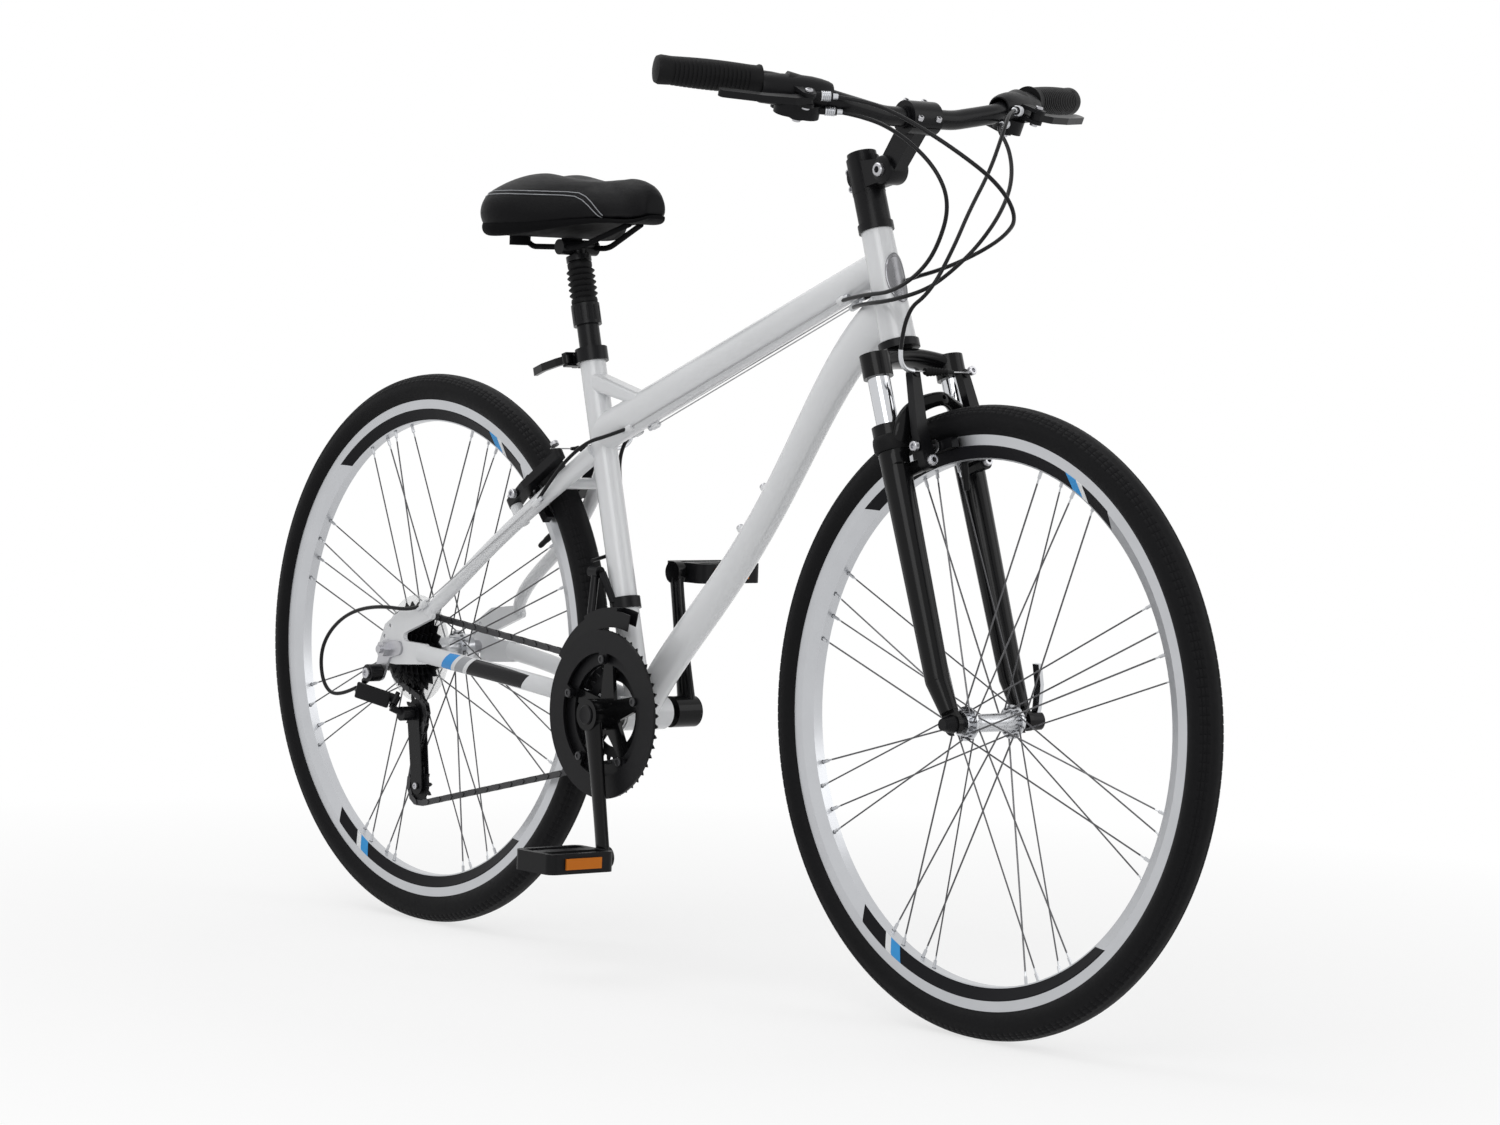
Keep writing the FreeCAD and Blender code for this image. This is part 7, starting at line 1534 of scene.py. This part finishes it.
@dataclass
class Saddle:
    """The padded saddle: a stuffed cover with two lines of piping down each flank."""

    bench: Bench
    voxel: float = 0.0045
    pressure: float = 4.0
    swell_limit: float = 0.004
    swell_start: float = 0.900
    swell_rise: float = 0.02
    groove_depth: float = 0.006
    groove_width: float = 0.018
    groove_front: float = -0.17
    groove_run: float = 0.08
    groove_start: float = 0.915
    groove_rise: float = 0.012
    frames: int = 16
    flank: Profile = (
        (-0.336, 0.921), (-0.31, 0.926), (-0.28, 0.927), (-0.246, 0.927), (-0.218, 0.927), (-0.2035, 0.926),
        (-0.192, 0.9215), (-0.181, 0.9145), (-0.172, 0.907), (-0.164, 0.8995))
    line_gap: tuple[float, float] = (-0.003, -0.0042)
    piping_radius: float = 0.0006
    piping_stand: float = 0.0002
    ray_start: float = 0.2
    boot_low: Vector = field(default_factory=lambda: Vector((-0.23147, 0.0, 0.7927)))
    boot_length: float = 0.0515
    boot_kept: float = 0.22
    pleats: int = 5

    def build(self) -> None:
        """Makes the cover, its piping and the boot under it."""
        cover = self._cover(self.bench.nodes["saddle_cushion"])
        put_on(cover, self.bench.palette.plain(Finishes.COVER))
        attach(cover, "saddle")
        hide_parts("saddle_cushion")
        LOG.info("piece %s with %d faces", cover.name, len(cover.data.polygons))
        self._piping(cover)
        self._boot()

    def _boot(self) -> None:
        """The pleated rubber boot round the sprung post."""
        length = self.boot_length
        profile = [(0.0136, 0.0), (0.0158, 0.0), (0.0163, 0.003), (0.0158, 0.006)]
        first, last = 0.0075, length - 0.008
        step = (last - first) / self.pleats
        for pleat in range(self.pleats):
            base = first + pleat * step
            profile += [(0.0139, base), (0.0140, base + step * 0.08), (0.0174, base + step * 0.5),
                        (0.0174, base + step * 0.58)]
        profile += [(0.0139, last), (0.0150, length - 0.006), (0.0152, length - 0.001), (0.0145, length),
                    (0.0136, length)]
        shape = bmesh.new()
        spun(shape, profile, 40, facing(self.boot_low, SEAT_UP), closed=True)
        boot = self.bench.piece("pleated_boot", shape, Finishes.RUBBER, "grip_rubber", smooth_angle=50.0)
        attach(boot, "seatpost")
        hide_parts("seatpost_boot")
        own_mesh(boot)

    def _cover(self, solid: Any) -> Any:
        """The cover, swollen by a short cloth simulation.

        Args:
            solid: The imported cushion.

        Returns:
            The cover's object.
        """
        shape = bmesh.new()
        shape.from_mesh(solid.data)
        bmesh.ops.remove_doubles(shape, verts=shape.verts, dist=1e-5)
        mesh = bpy.data.meshes.new("saddle_cover")
        shape.to_mesh(mesh)
        shape.free()
        cover = shown("saddle_cover", mesh)
        even = cover.modifiers.new("even", "REMESH")
        even.mode = "VOXEL"
        even.voxel_size = self.voxel
        self._settle(cover)
        rest = [vert.co.copy() for vert in cover.data.vertices]
        self._swell(cover)
        self._shape(cover, rest)
        smooth = cover.modifiers.new("smooth", "SUBSURF")
        smooth.levels = 1
        smooth.render_levels = 1
        self._settle(cover)
        for polygon in cover.data.polygons:
            polygon.use_smooth = True
        return cover

    @staticmethod
    def _settle(thing: Any) -> None:
        """Makes an object's modifiers permanent.

        Args:
            thing: The object.
        """
        bpy.context.view_layer.update()
        mesh = bpy.data.meshes.new_from_object(thing.evaluated_get(bpy.context.evaluated_depsgraph_get()))
        thing.modifiers.clear()
        thing.data = mesh

    def _swell(self, cover: Any) -> None:
        """Blows the cover up a little, as foam under a tight cover does.

        Args:
            cover: The cover's object.
        """
        cloth = cover.modifiers.new("stuffing", "CLOTH")
        cloth.settings.use_pressure = True
        cloth.settings.uniform_pressure_force = self.pressure
        cloth.settings.effector_weights.gravity = 0.0
        scene = bpy.context.scene
        for step in range(1, self.frames + 1):
            scene.frame_set(step)
        self._settle(cover)
        scene.frame_set(1)

    def _shape(self, cover: Any, rest: Sequence[Vector]) -> None:
        """Limits the swelling, keeps the underside and presses the groove in.

        Args:
            cover: The cover's object.
            rest: Its points before it swelled.
        """
        for vert, before in zip(cover.data.vertices, rest):
            move = vert.co - before
            if move.length > self.swell_limit:
                move *= self.swell_limit / move.length
            rise = min(max((before.z - self.swell_start) / self.swell_rise, 0.0), 1.0)
            after = before + move * rise
            rear = min(max((self.groove_front - after.x) / self.groove_run, 0.0), 1.0)
            top = min(max((after.z - self.groove_start) / self.groove_rise, 0.0), 1.0)
            after.z -= self.groove_depth * rear * top * math.exp(-(after.y / self.groove_width) ** 2)
            vert.co = after

    @staticmethod
    def _finer(line: Profile, parts: int = 5) -> list[tuple[float, float]]:
        """A line with more points, evenly between its own.

        Args:
            line: Pairs of X and Z.
            parts: Into how many parts each stretch is cut.

        Returns:
            The finer line.
        """
        points = []
        for (x, z), (next_x, next_z) in zip(line, line[1:]):
            points += [(x + (next_x - x) * part / parts, z + (next_z - z) * part / parts)
                       for part in range(parts)]
        return points + [line[-1]]

    def _piping(self, cover: Any) -> None:
        """Two thin lines of piping laid on each flank of the cover.

        Args:
            cover: The cover's object.
        """
        tree = BVHTree.FromObject(cover, bpy.context.evaluated_depsgraph_get())
        shape = bmesh.new()
        for side in Side:
            for line in range(2):
                points = []
                for x, z in self._finer(self.flank):
                    start = Vector((x + line * self.line_gap[0], side.value * self.ray_start,
                                    z + line * self.line_gap[1]))
                    hit = tree.ray_cast(start, Vector((0.0, -side.value, 0.0)))
                    if hit[0] is not None:
                        points.append(tuple(hit[0] + hit[1] * self.piping_stand))
                thread = tube_mesh("piping_line", points, self.piping_radius, rings=1)
                shape.from_mesh(thread)
                bpy.data.meshes.remove(thread)
        piping = self.bench.piece("saddle_piping", shape, Finishes.PIPING, "saddle_cover", smooth_angle=60.0)
        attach(piping, "saddle")


@dataclass
class Dress:
    """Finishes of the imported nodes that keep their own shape."""

    bench: Bench
    groups: tuple[tuple[Finish, tuple[str, ...]], ...] = (
        (Finishes.WHITE, ("head_tube", "top_tube", "down_tube", "seat_tube", "bottom_bracket", "seatstays",
                          "dropouts")),
        (Finishes.BLACK_GLOSS, ("fork_lowers", "fork_crown", "crank_arm_right", "crank_arm_left",
                                "seat_qr_lever")),
        (Finishes.BLACK_SATIN, (
            "headset_cups", "headset_spacers", "stem", "handlebar", "seat_collar", "brake_lever_right",
            "brake_lever_left", "front_brake_arm_right", "front_brake_arm_left", "rear_brake_arm_right",
            "rear_brake_arm_left", "seatpost", "front_derailleur_clamp", "front_derailleur_cage", "rd_body",
            "rd_link", "rd_knuckle", "rd_cage", "freewheel", "seatpost_piston", "front_axle")),
        (Finishes.BLACK_PLASTIC, ("chainrings", "control_pods", "shift_paddle_right", "shift_paddle_left",
                                  "guide_pulley", "tension_pulley")),
        (Finishes.STEEL, ("rear_axle",)),
        (Finishes.SHELL, ("saddle_base",)),
        (Finishes.CHROME, ("stanchions", "front_qr_lever")),
        (Finishes.SILVER, ("front_hub",)),
        (Finishes.DARK_STEEL, ("chain",)))
    panel_start: float = -0.405
    panel_height: float = 0.335
    panel_lean: float = -0.8
    flank_lean: float = 0.15
    flank_start: float = 0.0118
    stripes: tuple[tuple[float, float, Colour], ...] = (
        (0.0, 0.019, Paints.STAY_BLUE), (0.026, 0.042, Paints.STAY_GREY), (0.049, 0.150, Paints.STAY_PANEL))
    protector_start: float = 0.032
    protector_clear: float = 0.72

    def build(self) -> None:
        """Dresses every node that stays."""
        for finish, nodes in self.groups:
            self.bench.dress(finish, *nodes)
        self._chainstays()
        self._rear_hub()

    def _chainstays(self) -> None:
        """White stays with two slanted stripes and a dark panel on their outer flanks."""
        palette = self.bench.palette
        material = palette.plain(replace(Finishes.WHITE, name="chainstay_enamel", coat=0.0, specular=0.25))
        place = palette.coordinates(material)
        slanted = palette.math(material, "MULTIPLY_ADD", place.outputs["Z"], self.panel_lean,
                               place.outputs["X"])
        away = palette.math(material, "ABSOLUTE", place.outputs["Y"])
        outwards = palette.math(material, "MULTIPLY_ADD", place.outputs["X"], self.flank_lean, away)
        outer = palette.math(material, "GREATER_THAN", outwards, self.flank_start)
        offset = self.panel_lean * self.panel_height
        for low, high, colour in self.stripes:
            stripe = palette.between(material, slanted, self.panel_start + low + offset,
                                     self.panel_start + high + offset)
            palette.painted_over(material, palette.math(material, "MULTIPLY", stripe, outer), colour)
        put_on(self.bench.nodes["chainstays"], material)

    def _rear_hub(self) -> None:
        """A silver hub whose spoke protector is clear plastic."""
        palette = self.bench.palette
        material = palette.plain(Finishes.SILVER, "rear_hub_metal")
        tree = material.node_tree
        _, _, squares = palette.from_axle(material, REAR_AXLE)
        protector = palette.math(material, "GREATER_THAN", squares, self.protector_start ** 2)
        palette.painted_over(material, protector, Paints.PROTECTOR)
        palette.faded_metal(material, protector)
        clear = palette.math(material, "MULTIPLY_ADD", protector, -self.protector_clear, 1.0)
        tree.links.new(clear, tree.nodes["Principled BSDF"].inputs["Alpha"])
        put_on(self.bench.nodes["rear_hub"], material)


def main() -> None:
    """Builds every sub-assembly in order."""
    logging.basicConfig(level=logging.INFO)
    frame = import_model()
    bench = Bench(Palette(Groups()), frame["nodes"])
    Studio().build()
    for part in (
            Dress(bench),
            Wheel(bench, "front", "front_wheel", FRONT_AXLE),
            Wheel(bench, "rear", "rear_wheel", REAR_AXLE, valve_angle=33.75),
            FrameFittings(bench),
            Cockpit(bench),
            Fork(bench),
            Brake(bench, "front", FRONT_AXLE, STEER_FORE, STEER_UP, BRAKE_PLANE, Side.RIGHT),
            Brake(bench, "rear", REAR_AXLE, STAY_FORE, STAY_UP, -BRAKE_PLANE, Side.LEFT),
            Drivetrain(bench),
            Cables(bench),
            Saddle(bench)):
        part.build()


if __name__ == "__main__":
    main()
